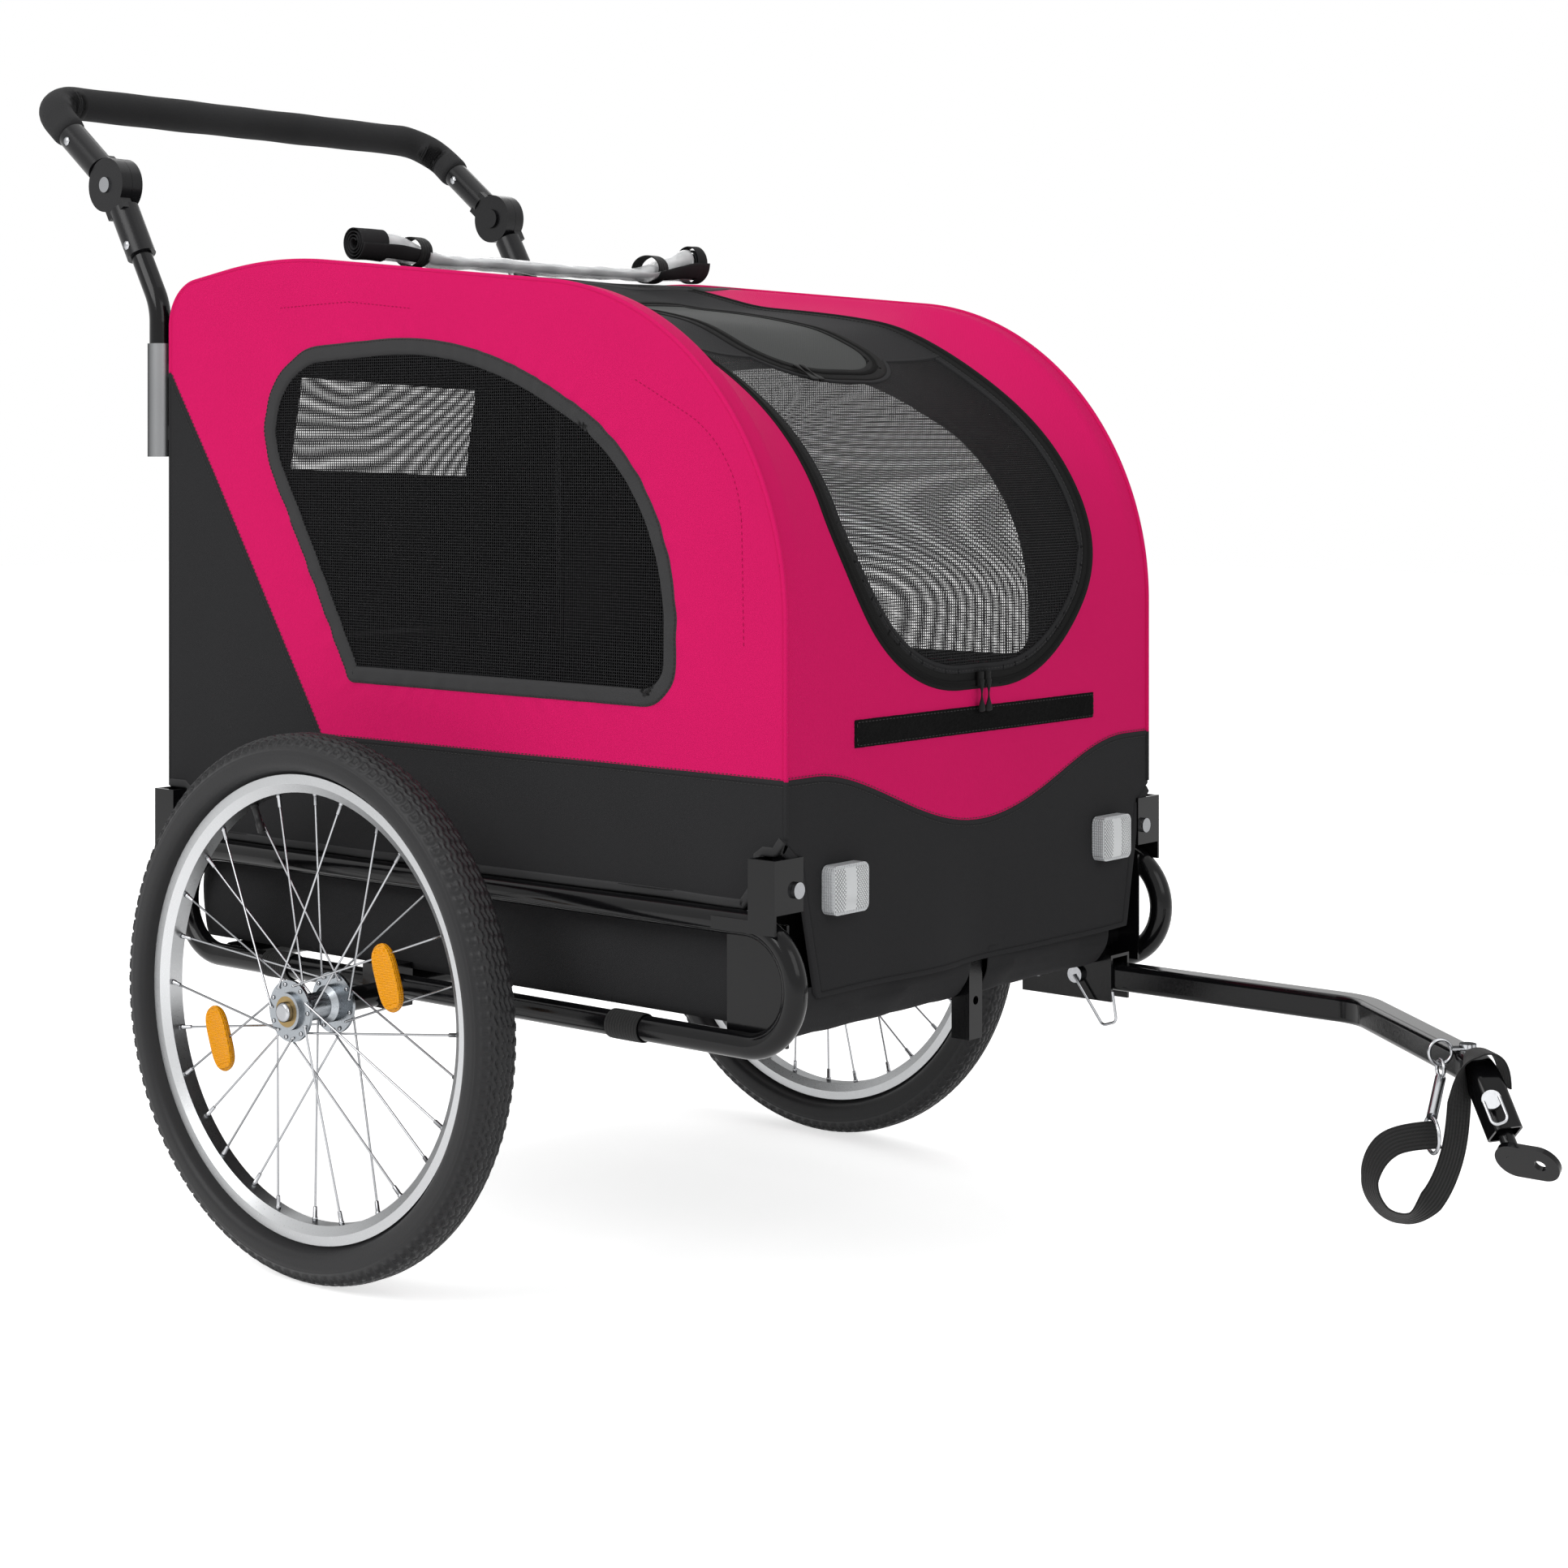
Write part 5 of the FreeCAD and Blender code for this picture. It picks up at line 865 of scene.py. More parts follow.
def cloth_piece(name, planes, materials, replaces=(), mapping=on_strip, body="frame",
                thickness=1.6, lift=0.0):
    """One sheet of cloth from one or more pattern grids, with the pattern in metres as its UV map."""
    points, faces, uv = stack([facing(mapping(plane, lift), plane * MM, CABIN_CENTRE) for plane in planes])
    piece = add_mesh(name, points, faces, uv, outward_from=CABIN_CENTRE)
    finish_piece(piece, materials, body, replaces)
    declare_sheet(piece)
    return thicken(piece, thickness, lining=len(materials) > 1)


def tape_piece(name, lines, width, height, material, mapping=on_strip, body="frame", closed=False, base=0.0, shift=0.0):
    """A narrow tape laid on the cloth along lines of the pattern: crowned across, with its edges tucked down."""
    across = np.linspace(-1, 1, 9)
    lifts = base + height * (1 - np.abs(across) ** 4)
    lifts[[0, -1]] = TUCK
    grids = [mapping(band(line, across * width / 2 + shift, closed), lifts) for line in lines]
    points, faces, uv = stack([facing(grid, plain_uv(grid), CABIN_CENTRE) for grid in grids])
    piece = add_mesh(name, points, faces, uv, outward_from=CABIN_CENTRE)
    return finish_piece(piece, [material], body)


def stitch_piece(name, lines, mapping=on_strip, thread=BLACK_THREAD, body="frame",
                 pitch=5.0, lift=0.15, thick=0.45):
    """A row of stitches: one small six-sided bar for each, from a point before its middle to one after it."""
    starts, ends, ups = [], [], []
    for line in lines:
        marks = np.arange(pitch, running(line)[-1] - pitch / 2, pitch)
        first, last = walk(line, marks - STITCH / 2), walk(line, marks + STITCH / 2)
        starts.append(mapping(first, lift))
        ends.append(mapping(last, lift))
        ups.append(mapping(first, lift + 1) - starts[-1])
    start, end, up = np.concatenate(starts), np.concatenate(ends), unit(np.concatenate(ups))[:, None]
    side = unit(np.cross((end - start)[:, None], up))
    angle = around(STITCH_SIDES)[:, None]
    hoop = (side * np.cos(angle) + up * np.sin(angle)) * thick * MM
    middle = ((start + end) / 2)[:, None] + up * 0.1 * MM
    points = np.concatenate([start[:, None] + hoop * 0.3, middle + hoop, end[:, None] + hoop * 0.3], axis=1)
    corner = np.arange(STITCH_SIDES)
    after = (corner + 1) % STITCH_SIDES
    belt = np.stack([corner, after, after + STITCH_SIDES, corner + STITCH_SIDES], axis=1)
    quads = np.concatenate([belt, belt + STITCH_SIDES])
    faces = (quads + 3 * STITCH_SIDES * np.arange(len(points))[:, None, None]).reshape(-1, 4)
    mesh = bpy.data.meshes.new(name)
    mesh.from_pydata(points.reshape(-1, 3).tolist(), [], faces.tolist())
    return finish_piece(show(bpy.data.objects.new(name, mesh)), [thread], body)


print("stitch length", STITCH, "mesh thickness", MESH_THICK)

# %% [markdown]
# ## Sides
# Each side has a pink panel round a large window, a black skirt below and behind a slanting seam, mesh in the
# window, a grey binding tape round it, piping over the hoop, and rows of stitches. The panel is drawn as rays
# from the window's middle, so its grid follows both outlines.

# %% Side cloth
BRACKET_Z, CORNER_Z = 418.6, 431
SEAM = [(REAR_X, 836), (-98, 483), (FRONT_X, SEAM_Z)]
hoop_line = profile_line[profile_line[:, 1] > SEAM_Z]
hoop_line = hoop_line[(hoop_line[:, 0] > REAR_X + 0.5) | (hoop_line[:, 1] > SEAM[0][1])]
panel_loop = np.concatenate([dense(np.array([SEAM[2], hoop_line[0]]), 4), hoop_line[1:],
                             dense(np.array([hoop_line[-1], *SEAM]), 4)[:-1]])
seam_line = dense(np.array(SEAM), 4)


def skirt_plane():
    """Columns from the hem up to the seam. Over the corner brackets the hem steps up, and at the front corner
    it follows the slanted slit."""
    x = np.unique(np.concatenate([np.linspace(REAR_X, FRONT_X, 200), [-300.2, -299.4, 434.5, 453.1, 453.9, -98]]))
    top = np.interp(x, seam_line[:, 0], seam_line[:, 1])
    hem = np.interp(x, [REAR_X, -300.2, -299.4, 436, 453.1, 453.9, 471, FRONT_X],
                    [BRACKET_Z, BRACKET_Z, SKIRT_Z, SKIRT_Z, 394, BRACKET_Z, 418.8, CORNER_Z])
    return pair(x[:, None], hem[:, None] + (top - hem)[:, None] * np.linspace(0, 1, 40))


side_panel = ring(panel_loop, window_loop, WINDOW_CENTRE, 26, 420, SEAM)
side_skirt = skirt_plane()
side_window = ring(window_loop, None, WINDOW_CENTRE, 14, 300)
binding_row = closing(shifted(window_loop, 4.5, closed=True))
panel_rows = [dense(np.array([(-163, 897), (-60, 900), (27, 891)]), 5),
              rounded_line([(305, 822), (430, 760), (434, 591)], [110], 5)]
seam_rows = [shifted(seam_line, offset) for offset in (-3.0, 3.5)]
front_seam = np.argmin(np.abs(profile_line[:, 1] - SEAM_Z) + (profile_line[:, 0] < 0) * 1e4)
rear_seam = np.argmin(np.abs(profile_line[:, 1] - SEAM[0][1]) + (profile_line[:, 0] > 0) * 1e4)
PIPING = (("front_black", profile_line[np.argmax(profile_line[:, 1] > CORNER_Z):front_seam + 1], BLACK, "black_cloth"),
          ("pink", profile_line[front_seam:rear_seam + 1], PINK, "pink_cloth"),
          ("rear_black", profile_line[rear_seam:-16], BLACK, "black_cloth"))
for side, sign in SIDES:
    side_map = on_side(sign)
    meshes = ["window_meshes"] if side == "right" else []
    cloth_piece(f"{side}_pink_side", [side_panel], [PINK, LINING], [f"{side}_side_panel"], side_map)
    cloth_piece(f"{side}_black_side", [side_skirt], [BLACK, LINING], [f"{side}_side_skirt"], side_map)
    cloth_piece(f"{side}_window_mesh", [side_window], [MESH], meshes, side_map, "frame", MESH_THICK, -0.6)
    tape_piece(f"{side}_window_binding", [window_loop], 17, 1.5, BINDING, side_map, closed=True, shift=-1.5)
    stitch_piece(f"{side}_binding_stitches", [binding_row], side_map, pitch=4.2, lift=1.5)
    stitch_piece(f"{side}_panel_stitches", panel_rows, side_map, PINK_THREAD, pitch=5.5, thick=0.4)
    stitch_piece(f"{side}_seam_stitches", seam_rows, side_map, pitch=4.5)
    tape_piece(f"{side}_seam_fold", [seam_line], 5, 0.7, BLACK, side_map)
    tape_piece(f"{side}_hem_tape", [side_skirt[:, 0]], 9, 0.8, BINDING, side_map, shift=-4)
    for part, edge, material, slot in PIPING:
        grid = sweep(place(edge[:, 0], sign * (HALF_WIDTH - 1.4), edge[:, 1]), circle(2.2 * MM, 10), (0, 1, 0))
        grid_piece(f"{side}_{part}_piping", grid, [material], "frame")
tell("side", "window")

# %% [markdown]
# ## Front
# The long strip starts with a black skirt that has a wavy top seam, and a pink front with a U-shaped doorway.

# %% Front skirt and front panel
DOOR_HALF, DOOR_BOTTOM, DOOR_CORNER = 196.0, 548.0, 167.0
DOOR_END = strip_at_roof(-40)
WAVE_HALF, WAVE_DEPTH = 240.0, 59.5


def wave_height(y):
    """Height of the wavy seam across the front: a raised cosine that dips in the middle."""
    share = np.minimum(np.abs(y), WAVE_HALF) / WAVE_HALF
    return SEAM_Z - WAVE_DEPTH * (0.5 + 0.5 * np.cos(math.pi * share)) ** 0.9


def corner_rise(y, half, radius):
    """Rise of an edge that is rounded by a quarter circle at both ends of its half width."""
    inward = np.clip((np.abs(y) - half + radius) / radius, 0, 1)
    return radius * (1 - np.sqrt(1 - inward**2))


def front_skirt_plane():
    """Columns from the hem to the wavy seam, drawn in along the slits at both corners."""
    share = np.linspace(-1, 1, 140)[:, None]
    hem = STRIP_START_Z + 4
    z = hem + (wave_height(share * SKIN_HALF) - hem) * np.linspace(0, 1, 46)
    wide = np.interp(z, [STRIP_START_Z, 414, 419, CORNER_Z, 600], [233, 258.5, 266, SKIN_HALF, SKIN_HALF])
    return pair(strip_at_height(z), share * wide)


def front_panel_planes():
    """Below the doorway: columns from the wavy seam to the doorway's rounded bottom. Beside it: rows from the
    doorway's edge to the hoop, in the same columns, so that both parts share their points."""
    below = DOOR_HALF * np.sin(np.linspace(-1, 1, 110) * math.pi / 2)
    beside = np.linspace(DOOR_HALF, SKIN_HALF, 16)
    y = np.concatenate([-beside[:0:-1], below, beside[1:]])[:, None]
    low, top = wave_height(y), DOOR_BOTTOM + corner_rise(y, DOOR_HALF, DOOR_CORNER)
    z = low + (top - low) * np.linspace(0, 1, 30)
    s = np.linspace(strip_at_height(DOOR_BOTTOM + DOOR_CORNER), DOOR_END, 90)[:, None]
    return [pair(strip_at_height(z), y)] + [pair(s, sign * beside) for sign in (-1, 1)]


skirt = front_skirt_plane()
cloth_piece("front_black_skirt", [skirt], [BLACK, LINING], ["front_skirt"])
cloth_piece("front_pink_panel", front_panel_planes(), [PINK, LINING], ["front_panel"])
wave_y = np.linspace(-SKIN_HALF, SKIN_HALF, 160)
wave_line = pair(strip_at_height(wave_height(wave_y)), wave_y)
tape_piece("wave_seam_fold", [wave_line], 5, 0.7, BLACK)
stitch_piece("wave_stitches", [shifted(wave_line, offset) for offset in (-3.5, 3.5)], pitch=4.5)
skirt_edge = np.concatenate([skirt[0, ::-1], skirt[1:, 0], skirt[-1, 1:]])
slit_rows = skirt_edge[strip_at_height(430) > skirt_edge[:, 0]]
tape_piece("front_hem_tape", [dense(slit_rows, 6)], 10, 0.9, BLACK, shift=-4)
tell("front", "wave")

# %% [markdown]
# ## Roof and rear
# Behind the door, the strip goes on as one black panel over the roof and down the rear, with a small mesh
# window. Its rear part is drawn as rays round that window, like the sides.

# %% Rear and roof panel
REAR_HALF, REAR_SKEW, NOTCH_HALF = 136.0, 5.0, 259.4
rear_low, rear_high, rear_split = strip_at_rear(726), strip_at_rear(838), strip_at_rear(888)
rear_centre = ((rear_low + rear_high) / 2, 0.0)
rear_window_loop = rounded_loop([(rear_high - REAR_SKEW, -REAR_HALF), (rear_low - REAR_SKEW, -REAR_HALF),
                                 (rear_low + REAR_SKEW, REAR_HALF), (rear_high + REAR_SKEW, REAR_HALF)], [6] * 4)


def rear_planes():
    """Roof part in plain rows, rear part as rays round the window, stepped in over the corner brackets."""
    roof = pair(np.linspace(DOOR_END, rear_split, 44)[:, None], np.linspace(-SKIN_HALF, SKIN_HALF, 60))
    notch, end = strip_at_rear(BRACKET_Z), profile_s[-1]
    half = np.array([(rear_split, -SKIN_HALF), (notch, -SKIN_HALF), (notch, -NOTCH_HALF), (end, -NOTCH_HALF)])
    corners = np.concatenate([half, half[::-1] * [1, -1]])
    return [roof, ring(dense(closing(corners), 4)[:-1], rear_window_loop, rear_centre, 24, 300, corners)]


cloth_piece("rear_black_panel", rear_planes(), [BLACK, LINING], ["rear_panel"])
cloth_piece("rear_window_mesh", [ring(rear_window_loop, None, rear_centre, 10, 200)], [MESH],
            thickness=MESH_THICK, lift=-0.6)
tape_piece("rear_window_binding", [rear_window_loop], 16, 1.3, BINDING, closed=True)
tape_piece("roof_cross_seam", [pair(DOOR_END, np.linspace(-SKIN_HALF, SKIN_HALF, 120))], 22, 0.9, BINDING, shift=11)
tell("rear", "roof")

# %% [markdown]
# ## Door
# The door is mesh inside a black border, and black cloth with a zipped hatch on the roof. It hinges on the
# roof's cross seam. The mesh is drawn in columns from the border below to the hatch's nose above, so that it
# leaves the hatch open.

# %% Door and hatch
HATCH_REAR, HATCH_FRONT, MESH_TOP = (strip_at_roof(x) for x in (40, 342, 308))
HATCH_HALF, HATCH_NOSE, HATCH_HEEL, HATCH_BORDER, DOOR_BORDER, DOOR_GAP = 92.0, 74.0, 12.0, 16.0, 15.0, 1.5
hatch_centre = ((HATCH_FRONT + HATCH_REAR) / 2, 0.0)


def door_line(inset):
    """The door's outline moved inwards, as one open line from the roof seam down, across and up again."""
    half, low = DOOR_HALF - inset, strip_at_height(DOOR_BOTTOM + inset)
    edge = rounded_line([(low, 0), (low, half), (DOOR_END, half)], [DOOR_CORNER - inset], 4)
    return np.concatenate([edge[::-1] * [1, -1], edge[1:]])


def hatch_outline(grow):
    """The hatch's outline, grown all round: a long tongue with a round nose in front."""
    low, high, half = HATCH_FRONT - grow, HATCH_REAR + grow, HATCH_HALF + grow
    return rounded_loop([(low, -half), (low, half), (high, half), (high, -half)],
                        [HATCH_NOSE + grow, HATCH_NOSE + grow, HATCH_HEEL + grow, HATCH_HEEL + grow])


def hatch_nose():
    """The part of the hatch's border that lies in front of the mesh's upper edge, from side to side."""
    nose = hatch_outline(HATCH_BORDER)
    nose = nose[nose[:, 0] < MESH_TOP]
    return nose[np.argsort(nose[:, 1])]


def door_mesh_plane():
    """Columns of the mesh: from the border's rounded bottom up to a straight edge, or to the border of the
    hatch's nose where that comes first. Columns crowd towards the sides as a sine."""
    half = DOOR_HALF - DOOR_BORDER
    y = half * np.sin(np.linspace(-1, 1, 150) * math.pi / 2)[:, None]
    low = strip_at_height(DOOR_BOTTOM + DOOR_BORDER + corner_rise(y, half, DOOR_CORNER - DOOR_BORDER))
    nose = corner_rise(y, HATCH_HALF + HATCH_BORDER, HATCH_NOSE + HATCH_BORDER)
    high = np.minimum(MESH_TOP, HATCH_FRONT - HATCH_BORDER + nose)
    return pair(low + (high - low) * np.linspace(0, 1, 70), y)


def roof_cloth_plane():
    """The door's roof cloth as rays round the hatch: straight at the mesh, round its nose, square at the back."""
    nose, half, end = hatch_nose(), DOOR_HALF - DOOR_GAP, DOOR_END - 0.6
    back = np.array([(MESH_TOP, half), (end, half), (end, -half), (MESH_TOP, -half)])
    outline = dense(np.concatenate([nose, back, nose[:1]]), 4)[:-1]
    return ring(outline, hatch_loop, hatch_centre, 18, 300, back)


hatch_loop = hatch_outline(0)
border_line = door_line(DOOR_GAP)
border_line = dense(border_line[border_line[:, 0] < MESH_TOP + 4], 5)
border_plane = band(border_line, np.linspace(0, DOOR_BORDER - 1, 7), False)
cloth_piece("door_front_mesh", [door_mesh_plane()], [MESH], ["door_mesh"], body="door",
            thickness=MESH_THICK, lift=-0.4)
cloth_piece("door_roof_cloth", [roof_cloth_plane(), border_plane], [BLACK, LINING], ["door_frame"], body="door",
            thickness=DOOR_THICK)
hatch_flap = hatch_centre + (ring(hatch_loop, None, hatch_centre, 16, 240) - hatch_centre) * 0.985
cloth_piece("roof_hatch_flap", [hatch_flap], [HATCH_CLOTH, LINING], ["roof_hatch"], body="hatch",
            thickness=DOOR_THICK, lift=0.4)
mesh_join = pair(MESH_TOP, np.linspace(102, DOOR_HALF - 4, 60))
tape_piece("door_mesh_join", [mesh_join, mesh_join * [1, -1]], 7, 0.6, BLACK, body="door")
tape_piece("hatch_nose_binding", [dense(hatch_nose(), 4)], 6, 0.7, BLACK, body="door")
inner_line = door_line(DOOR_BORDER)
tape_piece("door_border_binding", [dense(inner_line[inner_line[:, 0] < MESH_TOP], 4)], 4, 0.6, BLACK, body="door")
tell("door", "hatch")

# %% [markdown]
# ## Zips
# A zip is a woven tape with a ridge of small coils, so its height is a row of bumps. Each puller is a flat
# tab: an outline along its length, rounded across.

# %% Zips
COIL = 1.7
PULLER_LENGTH, PULLER_WIDTH, PULLER_THICK = 31.0, 8.5, 2.2


def zip_coil(name, line, body):
    """A zip's coil: a ridge whose height pulses once for every coil along the line."""
    marks = np.arange(0, running(line)[-1], COIL / 4)
    pulse = 0.5 + 0.5 * np.cos(TURN * marks / COIL)[:, None]
    across = [-2.6, -2.3, -1.0, 1.0, 2.3, 2.6]
    crown = np.array([-0.8, 0.7, 1.6, 1.6, 0.7, -0.8])
    grid = on_strip(band(walk(line, marks), across, False), 0.6 + crown * (0.75 + 0.35 * pulse))
    return grid_piece(name, grid, [ZIP_TAPE], body, outward_from=CABIN_CENTRE)


def puller(name, top, across, down, normal, body, replaces=()):
    """A flat puller that hangs from its eye. Its half width has an eye end, a waist and a broad grip end, and
    a superellipse crowns it across."""
    t = np.linspace(0, 1, 28)[:, None]
    half = PULLER_WIDTH * (0.30 + 0.20 * np.cos(TURN * t) + 0.14 * ease((t - 0.45) / 0.4))
    half = half * np.sqrt(np.clip(1 - (2 * t - 1) ** 16, 0, 1))
    angle = np.linspace(0, TURN, 17)
    side = half * blunt(np.cos(angle), 0.6)
    rise = np.sqrt(np.clip(half / half.max(), 0, 1)) * blunt(np.sin(angle), 0.6) * PULLER_THICK / 2
    run = np.broadcast_to(t * PULLER_LENGTH, side.shape)
    grid = top + sum(size[..., None] * np.array(way) for size, way in ((run, down), (side, across), (rise, normal)))
    return grid_piece(name, placed(grid), [PULL], body, replaces)


tape_piece("door_zip_tape", [dense(door_line(5.5), 5)], 9, 0.9, ZIP_TAPE, body="door")
tape_piece("doorway_zip_tape", [dense(door_line(-3.5), 5)], 6, 0.9, ZIP_TAPE)
zip_coil("door_zip_coil", dense(door_line(0), 5), "door")
tape_piece("hatch_zip_tape", [hatch_outline(-6)], 9, 1.0, ZIP_TAPE, body="hatch", closed=True, base=0.4)
tape_piece("hatch_frame_tape", [hatch_outline(7.5)], 13, 1.2, ZIP_TAPE, body="door", closed=True)
zip_coil("hatch_zip_coil", closing(hatch_loop), "door")
stitch_piece("door_stitches", [dense(door_line(11.5), 5)], body="door", lift=0.9)
for number, y in enumerate((-5.4, 5.4), 1):
    eye = np.array([FRONT_X + 4.4, y, DOOR_BOTTOM + 4])
    tabs = ["door_zip_pullers"] if number == 1 else []
    puller(f"door_puller_{number}", eye, (0, 1, 0), (0, 0, -1), (1, 0, 0), "door", tabs)
    slider = place(FRONT_X + 2.2, y, DOOR_BOTTOM - 3 + np.linspace(0, 13, 12))
    grid = sweep(slider, flat_profile(8.6 * MM, 5.0 * MM, 0.55), (0, 1, 0))
    grid_piece(f"door_slider_{number}", grid, [PULL], "door")
for number, y in enumerate((-64.0, -55.0), 1):
    eye_plane = np.array([(HATCH_FRONT + 12, y), (HATCH_FRONT - 20, y), (HATCH_FRONT + 12, y + 10)])
    eye, below, beside = strip_point(eye_plane, 4.6).T
    down, across = unit(below - eye), unit(beside - eye)
    puller(f"hatch_puller_{number}", eye, across, down, np.cross(across, down), "hatch")
tell("zip", "puller")

# %% [markdown]
# ## Closing strip
# A strip of hook tape under the doorway holds the rain cover when it is down. Its pile is a random height for
# every point of a fine grid, with the edges tucked under.

# %% Closing strip
STRIP_HALF, STRIP_LOW, STRIP_HIGH, STRIP_INSET = 186.0, 502.0, 527.0, 2.5
strip_plane = pair(strip_at_height(np.linspace(STRIP_LOW, STRIP_HIGH, 22)),
                   np.linspace(-STRIP_HALF, STRIP_HALF, 220)[:, None])
pile = np.random.default_rng(7).uniform(0.9, 2.0, strip_plane.shape[:2])
pile[[0, -1]] = pile[:, [0, -1]] = -0.6
grid_piece("hook_tape_strip", on_strip(strip_plane, pile), [FUZZ], "frame", ["closing_strip"],
           strip_plane * MM, CABIN_CENTRE)
low, high = strip_at_height(STRIP_LOW + STRIP_INSET), strip_at_height(STRIP_HIGH - STRIP_INSET)
half = STRIP_HALF - STRIP_INSET
strip_loop = rounded_loop([(low, -half), (low, half), (high, half), (high, -half)], [1] * 4)
stitch_piece("hook_tape_stitches", [closing(strip_loop)], lift=1.9)
print("pile from", round(pile.min(), 2), "to", round(pile.max(), 2))

# %% [markdown]
# ## Rolled rain cover
# Rolled up, the cover is a clear sheet wound into a loose spiral, with black trim at both ends and two ties
# round it. It lies on the roof a little askew.

# %% Rain cover
ROLL_RADIUS, ROLL_HALF, ROLL_LIFT = 18.0, 234.0, 20.0
roll_x = np.array([-103.5, -64.5])
ROLL_NEAR, ROLL_FAR = np.stack([roll_x, [-ROLL_HALF, ROLL_HALF], roof_height(roll_x) + ROLL_LIFT], axis=1)
ROLL_WAY = unit(ROLL_FAR - ROLL_NEAR)
ROLL_SIDE = unit(np.cross(ROLL_WAY, [0, 0, 1]))
ROLL_UP = np.cross(ROLL_SIDE, ROLL_WAY)


def roll_point(share, forward, up):
    """Points in the shared frame from a share along the roll and two distances from its axis."""
    share, forward, up = (np.asarray(v, float)[..., None] for v in np.broadcast_arrays(share, forward, up))
    return placed(ROLL_NEAR + (ROLL_FAR - ROLL_NEAR) * share + forward * ROLL_SIDE + up * ROLL_UP)


def spiral_roll(name, first, last, thickness, radius=ROLL_RADIUS, material=BLACK, replaces=(),
                columns=12, start=0.6, turns=4):
    """A sheet wound into a spiral whose radius grows evenly with the angle. Away from the ends it is pressed
    flat onto the roof, its turns wander by sines of place and angle, and the far end flares up and back."""
    angle = np.linspace(start, TURN * turns, max(9, int(9 * (TURN * turns - start))))[:, None]
    share = np.linspace(first, last, columns)
    loose = ease((share - 0.09) / 0.15) * ease((0.93 - share) / 0.15)
    wander = 0.10 * np.sin(17 * share + angle) + 0.07 * np.sin(43 * share - 2 * angle)
    wander = wander + 0.04 * np.sin(90 * share + 3 * angle)
    flare = 0.28 * ease((share - 0.9) / 0.07)
    spread = radius * (0.25 + 0.72 * angle / angle[-1]) * (1 + (0.25 + 0.55 * loose) * wander) * (1 + flare)
    flat = 1 - 0.48 * loose
    up = np.maximum(spread * np.sin(angle) * flat - radius * (1 - flat), -radius * (1 + flare))
    forward = spread * np.cos(angle) * (1 + 0.5 * loose) - radius * flare
    grid = roll_point(share, forward, up - 3 * loose + radius * flare)
    uv = pair(plain_uv(grid)[:, :1, 0], 2 * ROLL_HALF * MM * share)
    piece = grid_piece(name, grid, [material], "frame", replaces, uv, roll_point(0.5, 0, 0))
    declare_sheet(piece)
    return thicken(piece, thickness, lining=False)


spiral_roll("rain_cover_film", 0.06, 0.965, 0.3, ROLL_RADIUS - 0.6, FILM, ["rain_cover_roll"],
            columns=110, turns=2)
for name, first, last, start in (("right_rain_cover_trim", 0.0, 0.07, 0.6), ("left_rain_cover_trim", 0.972, 1.0, 0.6),
                                 ("right_film_edge", 0.05, 0.165, 24.2), ("left_film_edge", 0.83, 0.98, 24.2)):
    spiral_roll(name, first, last, 1.0, start=start)
tie_angle = around(60)
for side, at, ties in (("right", 0.158, ["rain_cover_ties"]), ("left", 0.842, [])):
    path = roll_point(at, 21.6 * np.cos(tie_angle), 14.6 * np.sin(tie_angle) - 5.0)
    grid = sweep(path, flat_profile(14 * MM, 1.5 * MM, 0.4), ROLL_WAY, closed_path=True)
    grid_piece(f"{side}_cover_tie", grid, [STRAP], "frame", ties)
print("roll", np.round(ROLL_NEAR), np.round(ROLL_FAR))

# %% [markdown]
# ## Floor tub
# Under the cabin, a cloth tub hangs between the rails. Its walls bulge a little and carry creases, and its floor
# is flat. A flap closes the gap between tub and walls, two wraps go round the front tube, and loops of tape
# hold the tub to the lower rails.

# %% Floor tub
TUB_FRONT, TUB_REAR, TUB_HALF, TUB_TOP, TUB_LOW, TUB_CORNER = 424.0, -297.0, 266.5, 361.0, 270.0, 22
tub_loop = closing(rounded_loop([(TUB_REAR, -TUB_HALF), (TUB_FRONT, -TUB_HALF), (TUB_FRONT, TUB_HALF),
                                 (TUB_REAR, TUB_HALF)], [TUB_CORNER] * 4, 6))
tub_centre = np.array([(TUB_FRONT + TUB_REAR) / 2, 0])


def tub_grid():
    """Rows down the wall, which bulges by a half sine, then in over the floor to its middle."""
    down = np.linspace(0, 1, 14)
    turn = np.linspace(0, TURN, len(tub_loop))[:, None]
    crease = 1.1 * np.sin(turn * 31 + 3 * down) + 0.8 * np.sin(turn * 17 - 5 * down)
    bulge = 1 + (4.0 + crease) * np.sin(math.pi * down) ** 0.7 / 330
    inwards = np.broadcast_to(np.linspace(0.985, 0, 12), (len(tub_loop), 12))
    flat = tub_centre + (tub_loop - tub_centre)[:, None] * np.concatenate([bulge, inwards], axis=1)[..., None]
    z = np.concatenate([TUB_TOP + (TUB_LOW + 1.2 - TUB_TOP) * down, np.full(12, TUB_LOW + 0.3)])
    return place(flat[..., 0], flat[..., 1], z)


tub = grid_piece("floor_tub_cloth", tub_grid(), [BLACK, LINING], "frame", ["floor_tub"],
                 outward_from=place(60, 0, 340))
tub_length = (TUB_FRONT - TUB_REAR + 2 * (TUB_TOP - TUB_LOW)) * MM
tub_width = (2 * TUB_HALF + 2 * (TUB_TOP - TUB_LOW)) * MM
min(flat_area(tub), tub_length * tub_width)
thicken(tub, DOOR_THICK)


def hung_cloth(name, grid, outward_from, thickness):
    """A hanging sheet of black cloth from one grid."""
    piece = grid_piece(name, grid, [BLACK, LINING], "frame", outward_from=outward_from)
    declare_sheet(piece)
    return thicken(piece, thickness)


